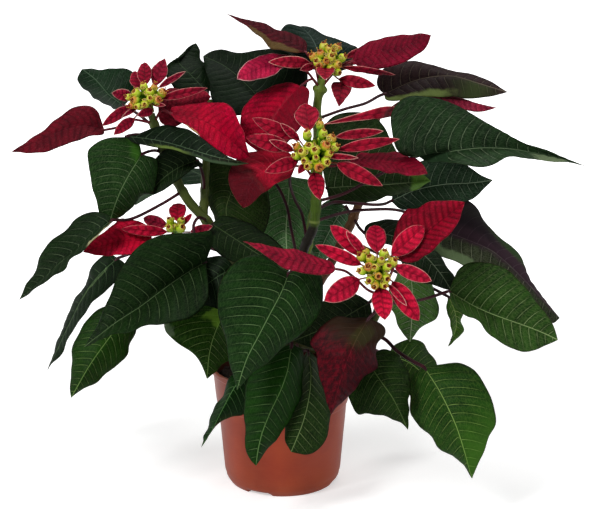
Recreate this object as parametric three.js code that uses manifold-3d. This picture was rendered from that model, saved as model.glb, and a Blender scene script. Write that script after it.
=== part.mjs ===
// A poinsettia (Euphorbia pulcherrima) in its thin plastic grower's pot.
// Millimetres, +Z up. Origin: centre of the pot's foot, on the surface it stands on. -Y is the front.
import * as THREE from "three";
import { mergeVertices } from "three/addons/utils/BufferGeometryUtils.js";
import Module from "manifold-3d";

// ---- driving dimensions ----
const POT_RIM_R = 60.3; // outer radius of the rolled rim (a 12 cm pot)
const POT_HEIGHT = 102.4; // foot to the top of the rim
const POT_FOOT_R = 44.5; // outer radius of the foot ring
const POT_FOOT_INNER_R = 41.2;
const POT_BODY_TOP_R = 54.9; // where the wall meets the collar
const POT_COLLAR_Z = 70.5; // lower edge of the collar
const POT_WALL = 1.4; // wall thickness
const POT_FLOOR_Z = 3.0; // underside of the floor, above the foot ring
const FOOT_GAPS_DEG = [-25.5, 78.5, 168, 258]; // centres of the gaps in the foot ring, from the front towards +X
const FOOT_GAP_WIDTH_DEG = 27;
const DRAIN_HOLES = 6;
const DRAIN_HOLE_R = 3.5;
const SOIL_TOP_Z = 91; // soil level at the pot's wall
const SOIL_CROWN = 2.2; // the soil rises this much towards the stem
const STEM_HOLE_R = 7.4; // hole in the soil around the stem
const STEM_BOTTOM_Z = 60.5;
const GAP = 0.35; // clearance between pieces that touch
const STEM_SIDES = 8;
const BLADE_THICK = 0.8; // leaf and bract blades
const MIDRIB_THICK = 1.7; // over the midrib
const MARGIN_THICK = 0.6;
const SMALL_THICK = 1.0; // small bracts
const CUP_R = 3.5; // a cyathium's cup
const CUP_SIDES = 5; // sides of a cyathium
const HEAD_ROOT = 2.6; // mm, how far from a hub's centre its stalks begin
const CUP_LEN = 7.5;
const CUP_STALK_R = 1.5;

const V = (p) => new THREE.Vector3(p[0], p[1], p[2]);
// Stems: points along the axis and the radius at each.
const STEMS = {
  main_stem: { p: [[0, 0, 60.5], [0, 0, 84.7], [0.3, 0, 108.9], [2.4, 0, 133], [8.2, 5.6, 155.8], [14.8, 11.9, 178.2], [20.8, 15.6, 201.4], [26.1, 16.9, 224.9], [29.4, 17.2, 248.9], [30.3, 16.7, 273.1], [29.8, 15.7, 297.3], [29.2, 13.7, 321.4], [33.2, 11.9, 345.1]], r: [6.6, 6.51, 6.27, 5.59, 5.15, 4.7, 4.4, 4.23, 4.06, 3.96, 3.87, 3.67, 3.34] },
  branch_left: { p: [[-5.6, -4.4, 138.9], [-18, -8.2, 161.5], [-31.8, -10.3, 183.6], [-45.9, -12.2, 205.5], [-59.9, -9.8, 227.3], [-77.1, -5.5, 246.2], [-89.5, -2.6, 268.8], [-99.6, -0.7, 292.8], [-107.1, 1.3, 317.7]], r: [4.55, 4.4, 4.26, 4.16, 4.05, 3.88, 3.66, 3.41, 3.11] },
  branch_left_fork: { p: [[-64.9, -8.6, 233], [-64.9, 5, 244.3], [-64.1, 10, 264.5], [-62.5, 16, 284.5], [-60.9, 23, 306.9], [-59.2, 28, 324.6]], r: [3.6, 3.5, 3.3, 3.2, 3, 2.6] },
  branch_center: { p: [[5.2, -8.5, 143.9], [9, -14.5, 167.2], [13.3, -21.2, 190.2], [18.7, -29.4, 212.4], [26.2, -39.9, 233], [27.8, -49.6, 255.2], [26.9, -51.7, 279.3]], r: [4.39, 4.28, 4.17, 4.01, 3.86, 3.9, 3.69] },
  branch_front: { p: [[6.6, -8, 124.6], [24.3, -26.2, 124.9], [41.4, -44, 130], [56.9, -60.4, 141.6], [69, -75.8, 157.6], [76.5, -89.7, 177.2], [77, -100.4, 200.2]], r: [4, 3.88, 3.76, 3.65, 3.52, 3.36, 3.1] },
  branch_right: { p: [[12.4, 8, 140], [26.6, 15.2, 161.3], [40, 22.1, 183.2], [52.5, 28.6, 205.8], [63.2, 32.8, 229.7], [69.9, 33.8, 255.4], [75, 33.8, 281.4], [79.6, 33, 307.6]], r: [4.15, 4.04, 3.93, 3.81, 3.53, 3.31, 3.06, 2.8] },
};

// Leaves and large bracts: petiole from the stem to the blade, then the midrib M and the left and right margins L and R, base to tip.
const BLADES = {
  bract_left_outer: {
    kind: "bract", rp: 1.2,
    petiole: [[-109.5, -0.5, 311], [-121.5, -3.5, 313.6], [-132.6, -4.9, 308.4], [-144.8, -6, 305.5]],
    M: [[-144.8, -6, 305.5], [-151.6, -8.4, 308.2], [-161.5, -12.4, 310.8], [-173.5, -18.6, 309.2], [-185.6, -27, 305.5], [-197, -36.3, 301.2], [-207.3, -43.1, 298], [-214.9, -48, 295.6]],
    L: [[-144.8, -6, 305.5], [-147.8, -17.3, 303], [-157, -27.5, 303.3], [-168.4, -36, 301.2], [-180.8, -42.8, 296.4], [-194.2, -47.8, 294.8], [-206, -49, 295.2], [-214.9, -48, 295.6]],
    R: [[-144.8, -6, 305.5], [-147.8, -1.4, 313.5], [-155, -0.6, 323.4], [-170.3, -4.3, 323.6], [-184.5, -12.5, 315.1], [-196.6, -24.6, 305.4], [-207.7, -36.8, 299.8], [-214.9, -48, 295.6]],
  },
  bract_left_inner: {
    kind: "bract", rp: 1.2,
    petiole: [[-102.1, -0.9, 315.5], [-97.9, -2.9, 321.4], [-91.1, -5, 319.4]],
    M: [[-91.1, -5, 319.4], [-84.3, -7, 318.7], [-74.7, -8.2, 317.4], [-63.1, -12.2, 314.3], [-51.4, -20, 308.4], [-40, -35.2, 302.7], [-31, -47.6, 297.3], [-24.8, -46.7, 291.3]],
    L: [[-91.1, -5, 319.4], [-86.4, 2, 324.3], [-73.7, 5.1, 325.1], [-57.6, -0.2, 327.7], [-40.4, -15.7, 326.1], [-31.7, -52.9, 316.9], [-27.1, -65.9, 305.5], [-24.8, -46.7, 291.3]],
    R: [[-91.1, -5, 319.4], [-85.9, -15.7, 315.9], [-77, -18.3, 311.4], [-67.2, -23.4, 304.3], [-56, -28.7, 296.7], [-44, -38.1, 291], [-32.9, -46.6, 288.8], [-24.8, -46.7, 291.3]],
  },
  bract_left_back: {
    kind: "bract", head: "A", rp: 1.2,
    petiole: [[-109.1, 2, 326.5], [-105.3, 2.5, 325.1], [-101.4, 3, 323.8]],
    M: [[-101.4, 3, 323.8], [-97.5, 3.7, 324.2], [-91.9, 4.8, 324.7], [-85, 6.7, 325.4], [-77.4, 9, 326.7], [-69.6, 9.9, 328.3], [-63, 9, 329.6], [-58.2, 9.1, 330.2]],
    L: [[-101.4, 3, 323.8], [-100, 9.5, 327.3], [-97.3, 14.1, 333.1], [-90, 16.8, 336.4], [-80.2, 17.7, 335.4], [-70.3, 15.6, 335], [-62, 11.6, 334.6], [-58.2, 9.1, 330.2]],
    R: [[-101.4, 3, 323.8], [-101.6, 5.4, 317.4], [-99.6, 6.2, 309.2], [-90.1, 7, 305.7], [-79.4, 9.2, 310.3], [-69.8, 10.2, 317.2], [-62.6, 9.3, 324.3], [-58.2, 9.1, 330.2]],
  },
  bract_top_left: {
    kind: "bract", rp: 1.2,
    petiole: [[27.8, 13.2, 341.5], [20.1, 14.6, 351.2], [12.5, 14.2, 360.9]],
    M: [[12.5, 14.2, 360.9], [7.9, 13.2, 360.3], [1.2, 12, 359.3], [-6.9, 9.2, 357.7], [-15.7, 5, 355.6], [-24.2, 1.3, 352.4], [-31.1, -1.8, 349.4], [-36.2, -4, 347.2]],
    L: [[12.5, 14.2, 360.9], [9.2, 6.7, 358.4], [2.9, 0.6, 356.4], [-4, -3.8, 351.9], [-12.8, -6.5, 348.4], [-22.3, -6.6, 346.5], [-30.4, -5.6, 346], [-36.2, -4, 347.2]],
    R: [[12.5, 14.2, 360.9], [7.7, 20.1, 362.6], [0, 23.2, 363.7], [-9.6, 21.7, 364.3], [-20, 15.8, 362.7], [-29.1, 8, 358.5], [-34.8, 0.8, 352.8], [-36.2, -4, 347.2]],
  },
  bract_top_right: {
    kind: "bract", rp: 1.2,
    petiole: [[38.1, 10.7, 344.4], [46.4, 8.4, 354.1], [57.4, 5, 359.8]],
    M: [[57.4, 5, 359.8], [63, 4.6, 361.8], [71.2, 3.8, 364.8], [81.3, 2.6, 368.3], [92.8, 0.2, 372.4], [104.2, -1.6, 376.7], [113.8, -3, 380.3], [120.8, -4, 383]],
    L: [[57.4, 5, 359.8], [59.3, 11.1, 365.4], [65.7, 16.1, 371.6], [76.7, 18, 376.2], [89.7, 15.7, 379.4], [102.7, 9.9, 381.7], [113.3, 2.9, 383.5], [120.8, -4, 383]],
    R: [[57.4, 5, 359.8], [63.1, 0, 356.6], [72.7, -4.5, 355.2], [84.8, -7.2, 356.7], [97.8, -11.4, 361.4], [109.9, -9.2, 367.7], [118.1, -6, 375.2], [120.8, -4, 383]],
  },
  bract_top_rear: {
    kind: "bract", rp: 1.2,
    petiole: [[29.1, 12, 348], [26, 12.1, 358.2], [19.9, 14, 366.7]],
    M: [[19.9, 14, 366.7], [14.3, 16, 369.7], [6.1, 18.9, 374], [-4.2, 22.2, 378.9], [-16, 25.8, 384.1], [-28.1, 28.1, 389.2], [-38.4, 29.2, 393.3], [-46, 30, 396.3]],
    L: [[19.9, 14, 366.7], [13.1, 7.8, 366.8], [3.4, 5.2, 368.4], [-8.5, 6.4, 370.6], [-18, 10.8, 379.6], [-29, 16.7, 387.1], [-38.7, 23.2, 392.5], [-46, 30, 396.3]],
    R: [[19.9, 14, 366.7], [20.6, 23.5, 372.4], [13.4, 32.5, 378.2], [1, 38.9, 380.7], [-12.7, 41.6, 385.2], [-26.3, 40, 389.9], [-37.9, 35.4, 392.8], [-46, 30, 396.3]],
  },
  bract_top_drooping: {
    kind: "bract", rp: 1.2,
    petiole: [[28.6, 9.3, 341.5], [22.9, 5.3, 345.3], [15.8, 4, 340.2]],
    M: [[15.8, 4, 340.2], [11.3, 2.8, 336.3], [4.9, 1.1, 330.8], [-1.6, -2, 322.9], [-7.3, -6.5, 313.3], [-12.4, -11.8, 303.8], [-16.2, -16.5, 295.8], [-19.1, -20, 290]],
    L: [[15.8, 4, 340.2], [22.2, -7.3, 339], [22.1, -15.6, 329.3], [18.5, -20.2, 317], [10.4, -21.3, 304.3], [0.3, -20.4, 292.5], [-10.4, -19.6, 286.6], [-19.1, -20, 290]],
    R: [[15.8, 4, 340.2], [7.5, 14.3, 341.5], [-5, 19, 339], [-19.1, 14.5, 332.9], [-31.5, 3.2, 322.6], [-33.6, -8.5, 307.5], [-27.7, -16.1, 295.8], [-19.1, -20, 290]],
  },
  bract_center_left: {
    kind: "bract", rp: 1.2,
    petiole: [[21.8, -52.1, 280.5], [17.4, -51.7, 284.2], [11.8, -50, 284.7]],
    M: [[11.8, -50, 284.7], [6.4, -50.8, 284.5], [-1.4, -50.8, 284], [-10.7, -46.4, 280.5], [-20, -49.4, 275.7], [-25.4, -58.1, 267.8], [-28, -62.3, 259.8], [-30.2, -63.9, 253.6]],
    L: [[11.8, -50, 284.7], [9.8, -61.1, 282.4], [5.4, -68.8, 278.5], [-2.5, -70.2, 275.1], [-10.7, -71.5, 269.9], [-18.2, -72.1, 263.5], [-24.6, -68.7, 257.4], [-30.2, -63.9, 253.6]],
    R: [[11.8, -50, 284.7], [8.6, -42, 291.7], [-3.2, -36.3, 294.8], [-19.5, -30.8, 293.1], [-36.2, -38, 288], [-42.2, -50.5, 273.9], [-36.8, -60.7, 261.9], [-30.2, -63.9, 253.6]],
  },
  bract_center_right: {
    kind: "bract", head: "C", rp: 1.2,
    petiole: [[26.5, -52, 288.3], [39.7, -54.9, 285.7], [53, -56, 289.2]],
    M: [[53, -56, 289.2], [58.7, -57.3, 289.5], [67, -58.9, 289.9], [77.2, -59.9, 289.6], [88.9, -56.8, 287.8], [100.2, -58.9, 285.7], [108.9, -68.1, 284.4], [115.4, -71.3, 282.7]],
    L: [[53, -56, 289.2], [58.6, -50.3, 291.6], [67.3, -46.3, 294.6], [79.1, -41.9, 294.5], [93.1, -24.5, 290.3], [105.6, -28.5, 287.4], [112.3, -60, 287.4], [115.4, -71.3, 282.7]],
    R: [[53, -56, 289.2], [57.9, -64.7, 288.2], [65.8, -71.4, 287.5], [75.8, -74.8, 286.4], [87.2, -73.1, 283.6], [98.7, -72.1, 282], [108.2, -73.5, 282.5], [115.4, -71.3, 282.7]],
  },
  bract_right_long: {
    kind: "bract", rp: 1.2,
    petiole: [[72.8, -98.2, 193.6], [61.6, -102.7, 202.9], [52.5, -110, 212.8], [42.6, -120, 218.7]],
    M: [[42.6, -120, 218.7], [36.3, -122.8, 220.8], [27.1, -126.7, 223.9], [15.7, -131.7, 227.3], [3, -136.8, 231.8], [-9.4, -140.8, 238.1], [-19.9, -143.5, 243.4], [-27.7, -145, 247.2]],
    L: [[42.6, -120, 218.7], [37, -129.2, 216.9], [26.6, -138, 219], [14.1, -145.1, 222.9], [0.9, -149.5, 228.9], [-10.8, -150.4, 237], [-20.1, -148.5, 243.7], [-27.7, -145, 247.2]],
    R: [[42.6, -120, 218.7], [39, -115.9, 223.6], [29.5, -115, 226.4], [18.1, -118.1, 232], [4.6, -124.3, 236], [-8.8, -131.6, 240.3], [-19.7, -138.6, 244.3], [-27.7, -145, 247.2]],
  },
  bract_right_large: {
    kind: "bract", rp: 1.2,
    petiole: [[79.8, -94.8, 195.9], [87, -93.2, 209.3], [89.6, -99.7, 223.7]],
    M: [[89.6, -99.7, 223.7], [94.6, -97.5, 226.9], [101.8, -94.3, 231.6], [110.3, -90.9, 237.6], [119.9, -88.6, 244.9], [129.6, -87.6, 252.6], [137.6, -86.8, 258.9], [143.5, -86, 263.6]],
    L: [[89.6, -99.7, 223.7], [87.2, -89.6, 228.5], [88.9, -82.4, 238.2], [94.4, -78.4, 250.5], [107.1, -77.5, 257.2], [121.5, -79.7, 262.7], [134.3, -82.9, 264.1], [143.5, -86, 263.6]],
    R: [[89.6, -99.7, 223.7], [94.9, -106.9, 221.1], [104.4, -110.4, 222.3], [115.2, -109.4, 228.6], [125.7, -106.1, 237.7], [135.3, -100.2, 247.3], [140.5, -93.1, 256.6], [143.5, -86, 263.6]],
  },
  bract_small_left: {
    kind: "bract", head: "E", rp: 1.2,
    petiole: [[-87.1, -18, 222.6], [-95.8, -24.5, 218.9], [-105.9, -30, 218.8]],
    M: [[-105.9, -30, 218.8], [-110.9, -31.8, 219.2], [-118.1, -34.4, 219.7], [-126.9, -37.9, 220], [-136.6, -42.5, 219.6], [-146, -47.3, 218.2], [-153.8, -51.2, 216.4], [-159.5, -54, 215]],
    L: [[-105.9, -30, 218.8], [-106.5, -39.9, 215.6], [-111.1, -48.2, 212.2], [-120.7, -54.1, 212.6], [-131.7, -57.6, 213.1], [-143, -58.4, 213.2], [-152.5, -56.8, 213.6], [-159.5, -54, 215]],
    R: [[-105.9, -30, 218.8], [-106.8, -25.4, 224.9], [-113.6, -24.1, 231.5], [-125.2, -26.2, 235.9], [-136.7, -31.2, 232.3], [-147.1, -38.3, 225.5], [-155.5, -46.4, 220.2], [-159.5, -54, 215]],
  },
  bract_right_top: {
    kind: "bract", rp: 1.2,
    petiole: [[79.4, 33, 306.4], [91.2, 38.7, 315.4], [104.6, 42.3, 322.7], [120.1, 41, 325.8]],
    M: [[120.1, 41, 325.8], [125.6, 40, 325.4], [133.6, 38.6, 324.9], [143.3, 36.5, 324.2], [153.9, 33.1, 322.9], [164.1, 28.5, 321.3], [172.6, 24.8, 320.1], [178.8, 22, 319.3]],
    L: [[120.1, 41, 325.8], [125.8, 44.2, 326.6], [134, 45.9, 327.5], [143.8, 45.1, 325.8], [154.3, 41, 322.9], [164.3, 34.5, 320], [172.6, 27.9, 318.6], [178.8, 22, 319.3]],
    R: [[120.1, 41, 325.8], [124.7, 35.9, 323.6], [132.4, 31.8, 322.5], [142, 29.6, 320.3], [152.5, 28.3, 316.3], [163.6, 26.6, 314.6], [172.6, 24.5, 316.5], [178.8, 22, 319.3]],
  },
  leaf_top_left: {
    kind: "leaf", rp: 1.5,
    petiole: [[-109.5, 3.2, 310.2], [-119.9, 8.9, 317], [-130.7, 16, 321.6]],
    M: [[-130.7, 16, 321.6], [-134.1, 18.4, 323.5], [-139.1, 21.9, 326.2], [-144.9, 26.2, 330.1], [-150.6, 30.8, 335.7], [-156.7, 34.7, 341.5], [-162.7, 36.7, 345.9], [-167.2, 38, 349]],
    L: [[-130.7, 16, 321.6], [-137, 29.6, 317.2], [-145.6, 40.8, 315.9], [-154.3, 47.4, 319.8], [-162.5, 48.6, 326.4], [-170.1, 45.3, 333.7], [-170.7, 40.6, 342.9], [-167.2, 38, 349]],
    R: [[-130.7, 16, 321.6], [-126.8, 25.1, 325.2], [-121.7, 29.8, 332.8], [-121.2, 32, 344.4], [-133.2, 36.7, 349.4], [-147.6, 41.5, 348.9], [-159.2, 41.5, 348.8], [-167.2, 38, 349]],
  },
  leaf_top_curled: {
    kind: "leaf", rp: 1.5,
    petiole: [[-61.8, 31, 322.5], [-62.8, 33.1, 326.2], [-61.8, 32, 330.6]],
    M: [[-61.8, 32, 330.6], [-66.2, 34.5, 334.5], [-72.4, 38.2, 340.1], [-80.2, 42.3, 347], [-87.5, 50.2, 353.5], [-83.9, 60.4, 359.1], [-78, 68.2, 363], [-73.8, 74, 365.9]],
    L: [[-61.8, 32, 330.6], [-66.7, 25.6, 325.7], [-77.3, 22.8, 326.9], [-88.8, 24, 334.2], [-96.6, 32.3, 346.4], [-89.1, 46.6, 355.4], [-81, 60.8, 362.6], [-73.8, 74, 365.9]],
    R: [[-61.8, 32, 330.6], [-58, 42.5, 330.8], [-53.4, 49.9, 333.6], [-58.3, 52.6, 340.1], [-63.8, 57.4, 347.3], [-69.3, 65.7, 354.2], [-70.9, 71.4, 361.1], [-73.8, 74, 365.9]],
  },
  leaf_top_middle: {
    kind: "leaf", rp: 1.5,
    petiole: [[-56.5, 25.5, 314.8], [-41.7, 26, 313.1], [-26.9, 27.5, 313.7], [-13.4, 30, 319.2]],
    M: [[-13.4, 30, 319.2], [-17.6, 33, 323.3], [-23.5, 37.1, 329.4], [-31.1, 41.5, 336.6], [-40.3, 46, 344.3], [-50.5, 52.5, 350.4], [-60.1, 57, 354.1], [-67.2, 60, 356.8]],
    L: [[-13.4, 30, 319.2], [-20.5, 16.3, 318.8], [-31.2, 10.5, 316.2], [-45.1, 13.1, 316.9], [-57.4, 20.9, 324.8], [-60.8, 33.6, 338.2], [-65.3, 47.5, 348.9], [-67.2, 60, 356.8]],
    R: [[-13.4, 30, 319.2], [-0.1, 37.5, 320], [17.5, 40.6, 326.9], [19.9, 42.5, 349.8], [-1.5, 50, 363.9], [-28.8, 58.2, 361.5], [-51.6, 61.1, 362], [-67.2, 60, 356.8]],
  },
  leaf_top_rear: {
    kind: "leaf", rp: 1.5,
    petiole: [[31.5, 17.5, 339.2], [31.2, 21.8, 344.8], [29.9, 26.2, 350]],
    M: [[29.9, 26.2, 350], [30.1, 31.5, 352.4], [30.4, 39.1, 355.9], [30, 46.7, 360.7], [28, 55.4, 366.9], [24.2, 63.6, 372.9], [19, 69.7, 377.3], [15, 74, 380.4]],
    L: [[29.9, 26.2, 350], [23.5, 43.4, 347.6], [14.3, 55.4, 347.6], [5, 59, 354.3], [-2.4, 60.7, 365.1], [-1.9, 64.6, 377.4], [7, 69.7, 382.3], [15, 74, 380.4]],
    R: [[29.9, 26.2, 350], [39, 38.9, 346.5], [52, 47.2, 346.6], [63.4, 51.8, 356.4], [56.5, 59.7, 368.3], [39.6, 69.5, 372.3], [26, 74.4, 378.7], [15, 74, 380.4]],
  },
  leaf_left_folded: {
    kind: "leaf", rp: 1.5,
    petiole: [[-102.2, -5.1, 292], [-114.4, -10.5, 299.4], [-126, -20, 303.2]],
    M: [[-126, -20, 303.2], [-116.9, -19.5, 302.1], [-103.7, -19.9, 300.2], [-87.3, -25, 297.4], [-69, -37.9, 294.6], [-51.2, -45.6, 290.9], [-36.3, -51.3, 289.1], [-25.5, -54.2, 287.6]],
    L: [[-126, -20, 303.2], [-117.2, -9.8, 303.1], [-103.9, -7.3, 307.7], [-86.3, -12.2, 309.8], [-67.6, -28.2, 305.4], [-51.2, -37.5, 295.8], [-37.1, -44.9, 288.8], [-25.5, -54.2, 287.6]],
    R: [[-126, -20, 303.2], [-118.1, -28.2, 298.9], [-104.5, -34.4, 297.2], [-87.7, -41.4, 295.7], [-69.3, -50, 292.8], [-51.7, -57, 288], [-36.5, -57.6, 286.9], [-25.5, -54.2, 287.6]],
  },
  leaf_left_upper: {
    kind: "leaf", rp: 1.5,
    petiole: [[-102.2, -3.4, 287.6], [-107.3, -10.7, 289], [-113.6, -17.1, 287.8]],
    M: [[-113.6, -17.1, 287.8], [-116.1, -22.5, 284.2], [-120, -27.2, 278.3], [-124.6, -33.4, 271], [-129.5, -38.5, 261.8], [-133.9, -41.1, 251.2], [-137.7, -37, 240.5], [-139.7, -38.8, 233.6]],
    L: [[-113.6, -17.1, 287.8], [-106.6, -14.5, 284.9], [-101, -13, 276.1], [-102.2, -15.8, 262.9], [-112.3, -21.1, 253.7], [-123.3, -27.3, 244.7], [-133, -30.6, 237.3], [-139.7, -38.8, 233.6]],
    R: [[-113.6, -17.1, 287.8], [-116.4, -14.2, 298], [-130.5, -18.4, 302.1], [-148.2, -29.5, 300.2], [-154.9, -37.2, 283.6], [-152, -40.7, 262.5], [-147.4, -36, 243.8], [-139.7, -38.8, 233.6]],
  },
  leaf_left_inner: {
    kind: "leaf", rp: 1.5,
    petiole: [[-64.8, 3.3, 256.7], [-65.1, -5.5, 267.8], [-68.6, -9, 281.1]],
    M: [[-68.6, -9, 281.1], [-72.8, -10, 279.8], [-78.9, -11.2, 277.8], [-86.2, -11.5, 274.2], [-94.1, -8.3, 268.4], [-100.8, -10.5, 262.7], [-105.9, -13, 257.6], [-109.7, -14.5, 253.8]],
    L: [[-68.6, -9, 281.1], [-64.3, -12.1, 278.3], [-69.1, -16.4, 276.2], [-77.1, -19.2, 272.2], [-85.7, -17.6, 265], [-95.1, -16.9, 259.1], [-103, -16.2, 254.2], [-109.7, -14.5, 253.8]],
    R: [[-68.6, -9, 281.1], [-72.4, -10, 287.1], [-79.7, -11.1, 293.7], [-91.7, -11.4, 292.1], [-103.1, -7.9, 282.9], [-110.1, -10.6, 271.3], [-113.8, -13.3, 260.7], [-109.7, -14.5, 253.8]],
  },
  leaf_left_outer: {
    kind: "leaf", rp: 1.5,
    petiole: [[-86, -7.1, 251.9], [-96, -15.2, 247], [-106.8, -22.3, 242.3], [-118.2, -28.8, 237.9], [-128, -38.2, 237.5], [-136, -49.1, 240.3]],
    M: [[-136, -49.1, 240.3], [-142.4, -53.5, 236.3], [-151.9, -54.5, 228.5], [-162.6, -61.7, 219.5], [-175.6, -70.3, 210.6], [-188.2, -76.8, 199.3], [-199.4, -80.2, 189.8], [-207.9, -82, 182.9]],
    L: [[-136, -49.1, 240.3], [-139.7, -64.7, 236.7], [-148, -77.1, 231], [-157.7, -88.3, 222.3], [-169.8, -94.8, 211.7], [-184, -94.8, 200.9], [-197.2, -89.5, 191], [-207.9, -82, 182.9]],
    R: [[-136, -49.1, 240.3], [-144.3, -45.2, 245.3], [-159.8, -37.5, 242.5], [-173.9, -41.1, 231.7], [-188, -50.7, 219.8], [-196.8, -62, 204.5], [-203.5, -72.5, 191.7], [-207.9, -82, 182.9]],
  },
  leaf_left_narrow: {
    kind: "leaf", rp: 1.5,
    petiole: [[-49.9, -8.8, 203.3], [-66.6, -0.2, 206.1], [-84.5, 6, 206.4], [-103.1, 8.9, 203.6], [-121.2, 11.5, 198.7], [-138.9, 14, 192]],
    M: [[-138.9, 14, 192], [-147.3, 16.2, 184.4], [-158.5, 20.1, 172.7], [-170, 25.2, 156.6], [-180.5, 29.6, 136.6], [-190.5, 31.8, 115.9], [-198.9, 31.5, 98.6], [-205.1, 30, 86.1]],
    L: [[-138.9, 14, 192], [-131.1, 10.7, 185.1], [-140.7, 6.9, 173.1], [-155, 6, 159], [-171, 10, 140.8], [-184, 16.9, 118.5], [-194.7, 23.9, 99.1], [-205.1, 30, 86.1]],
    R: [[-138.9, 14, 192], [-150.4, 26.1, 191.8], [-164.4, 38.2, 177.7], [-174.3, 47.4, 156.1], [-186.6, 50.7, 134.4], [-195, 47.4, 113], [-201.3, 39.5, 96.7], [-205.1, 30, 86.1]],
  },
  leaf_left_lower: {
    kind: "leaf", rp: 1.5,
    petiole: [[-16.2, -8.7, 146.5], [-37.8, -17.7, 156.1], [-60.3, -27.4, 162.6], [-83, -37.8, 166.7], [-105.5, -49.3, 168], [-127.3, -60, 161.4]],
    M: [[-127.3, -60, 161.4], [-131, -64.2, 157.1], [-136.4, -70.1, 150.8], [-143.1, -76.8, 142.6], [-150.8, -83.4, 132.7], [-158, -88, 121.6], [-163.8, -90.3, 111.6], [-168, -92, 104.3]],
    L: [[-127.3, -60, 161.4], [-120.5, -54.8, 155.5], [-119.9, -54, 143.6], [-126.1, -57.7, 130.3], [-136.6, -65.2, 119.9], [-149.4, -74.1, 112.1], [-160.8, -82.9, 107.7], [-168, -92, 104.3]],
    R: [[-127.3, -60, 161.4], [-133.3, -57.6, 168.3], [-145.7, -58.9, 169.4], [-158.3, -62.9, 159.7], [-166.2, -69.1, 144], [-169.2, -76.4, 127.3], [-169.4, -84, 113.5], [-168, -92, 104.3]],
  },
  leaf_left_front: {
    kind: "leaf", rp: 1.5,
    petiole: [[-63.9, -13.8, 232.5], [-68.8, -27.6, 236.3], [-71.1, -41.2, 230.3], [-67.5, -50.3, 218.8], [-60.5, -58.1, 207.7]],
    M: [[-60.5, -58.1, 207.7], [-68.9, -64.1, 204.5], [-80.9, -72.5, 198.7], [-95.4, -82.2, 190.1], [-111.7, -92.4, 179.7], [-129.4, -100.5, 170], [-143.9, -103.9, 159.5], [-154.4, -106, 151.5]],
    L: [[-60.5, -58.1, 207.7], [-58.1, -77.9, 200.2], [-57.3, -95.6, 186.7], [-72.7, -110.1, 176.6], [-95.7, -120.4, 173.6], [-119, -122.9, 168.4], [-139.2, -115.9, 160.7], [-154.4, -106, 151.5]],
    R: [[-60.5, -58.1, 207.7], [-54.3, -64.2, 225.1], [-66.8, -72.6, 235.7], [-94.6, -81.3, 235.6], [-120, -88, 219], [-134, -92.8, 190.5], [-145.6, -97.5, 166.8], [-154.4, -106, 151.5]],
  },
  leaf_middle_lower: {
    kind: "leaf", rp: 1.5,
    petiole: [[-18.2, -14.5, 165.1], [-20.8, -25.3, 175.2], [-24.3, -36.1, 185], [-30, -46.7, 193.9], [-36.5, -57.2, 202.5]],
    M: [[-36.5, -57.2, 202.5], [-41.6, -59.8, 201.1], [-48.9, -62.9, 198.2], [-57.6, -64.9, 192.4], [-66.9, -69.2, 186.1], [-75.9, -73, 179.2], [-83.4, -74.8, 172.7], [-88.8, -76, 167.9]],
    L: [[-36.5, -57.2, 202.5], [-36.8, -66, 197.4], [-37.3, -72.7, 188.4], [-41.8, -75.8, 176.9], [-54.3, -80.8, 176.5], [-68.1, -83.6, 175.8], [-80.1, -81.1, 172.7], [-88.8, -76, 167.9]],
    R: [[-36.5, -57.2, 202.5], [-41.7, -59.3, 208.7], [-51.3, -55.6, 212.6], [-64.3, -50.8, 207], [-74.9, -54.9, 196.9], [-81.8, -61.9, 184.9], [-87.2, -69, 175.2], [-88.8, -76, 167.9]],
  },
  leaf_middle_upper: {
    kind: "leaf", rp: 1.5,
    petiole: [[-53.4, -17.4, 219.3], [-55.3, -21.5, 224.4], [-57.1, -23.3, 230.7]],
    M: [[-57.1, -23.3, 230.7], [-51.5, -26, 227.7], [-43.3, -33.9, 224.6], [-33.6, -39.1, 219.4], [-22.6, -44.2, 213.1], [-11.3, -49.6, 207.3], [-1.7, -52.3, 202.1], [5.3, -54, 198.3]],
    L: [[-57.1, -23.3, 230.7], [-51.6, -18.9, 235.9], [-40.3, -16.8, 235.2], [-26.8, -19, 229.6], [-12.2, -27.2, 223.4], [0.3, -38.8, 215.2], [8, -48.1, 206.1], [5.3, -54, 198.3]],
    R: [[-57.1, -23.3, 230.7], [-60.8, -33.6, 225.5], [-56.8, -45.7, 217.3], [-44.9, -53, 209.3], [-29.6, -56.8, 202.9], [-13.5, -61, 198.4], [0.1, -57.2, 194], [5.3, -54, 198.3]],
  },
  leaf_front_large: {
    kind: "leaf", rp: 1.8,
    petiole: [[17.8, -32.8, 205.4], [20.8, -47.5, 206.3], [21, -62.5, 208.2], [18.4, -77.1, 211.1], [13.6, -91.3, 212.4], [5.7, -104, 210.3]],
    M: [[5.7, -104, 210.3], [3.6, -111.5, 205.2], [-1, -120.9, 196.8], [-8.2, -130.3, 185.3], [-16.6, -138.1, 170.6], [-25.1, -142.6, 154.7], [-30.1, -143.7, 140.1], [-33.3, -144, 129.1]],
    L: [[5.7, -104, 210.3], [17.6, -102, 215.9], [32.6, -105.2, 207.6], [30.8, -110.8, 185], [15.4, -117.1, 164.7], [-5.5, -124.9, 149.9], [-22.2, -133.8, 137.8], [-33.3, -144, 129.1]],
    R: [[5.7, -104, 210.3], [-4.9, -105.1, 219.5], [-22.8, -114.2, 227.7], [-42, -124.2, 217.2], [-47.9, -128.7, 191.7], [-42.6, -130.7, 164.7], [-37.5, -135.4, 143.1], [-33.3, -144, 129.1]],
  },
  leaf_left_shaded: {
    kind: "leaf", rp: 1.5,
    petiole: [[-19.1, -13.2, 156.3], [-26.3, -18.5, 163.6], [-34.4, -25.8, 166.8], [-42.6, -34, 167.3]],
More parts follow.
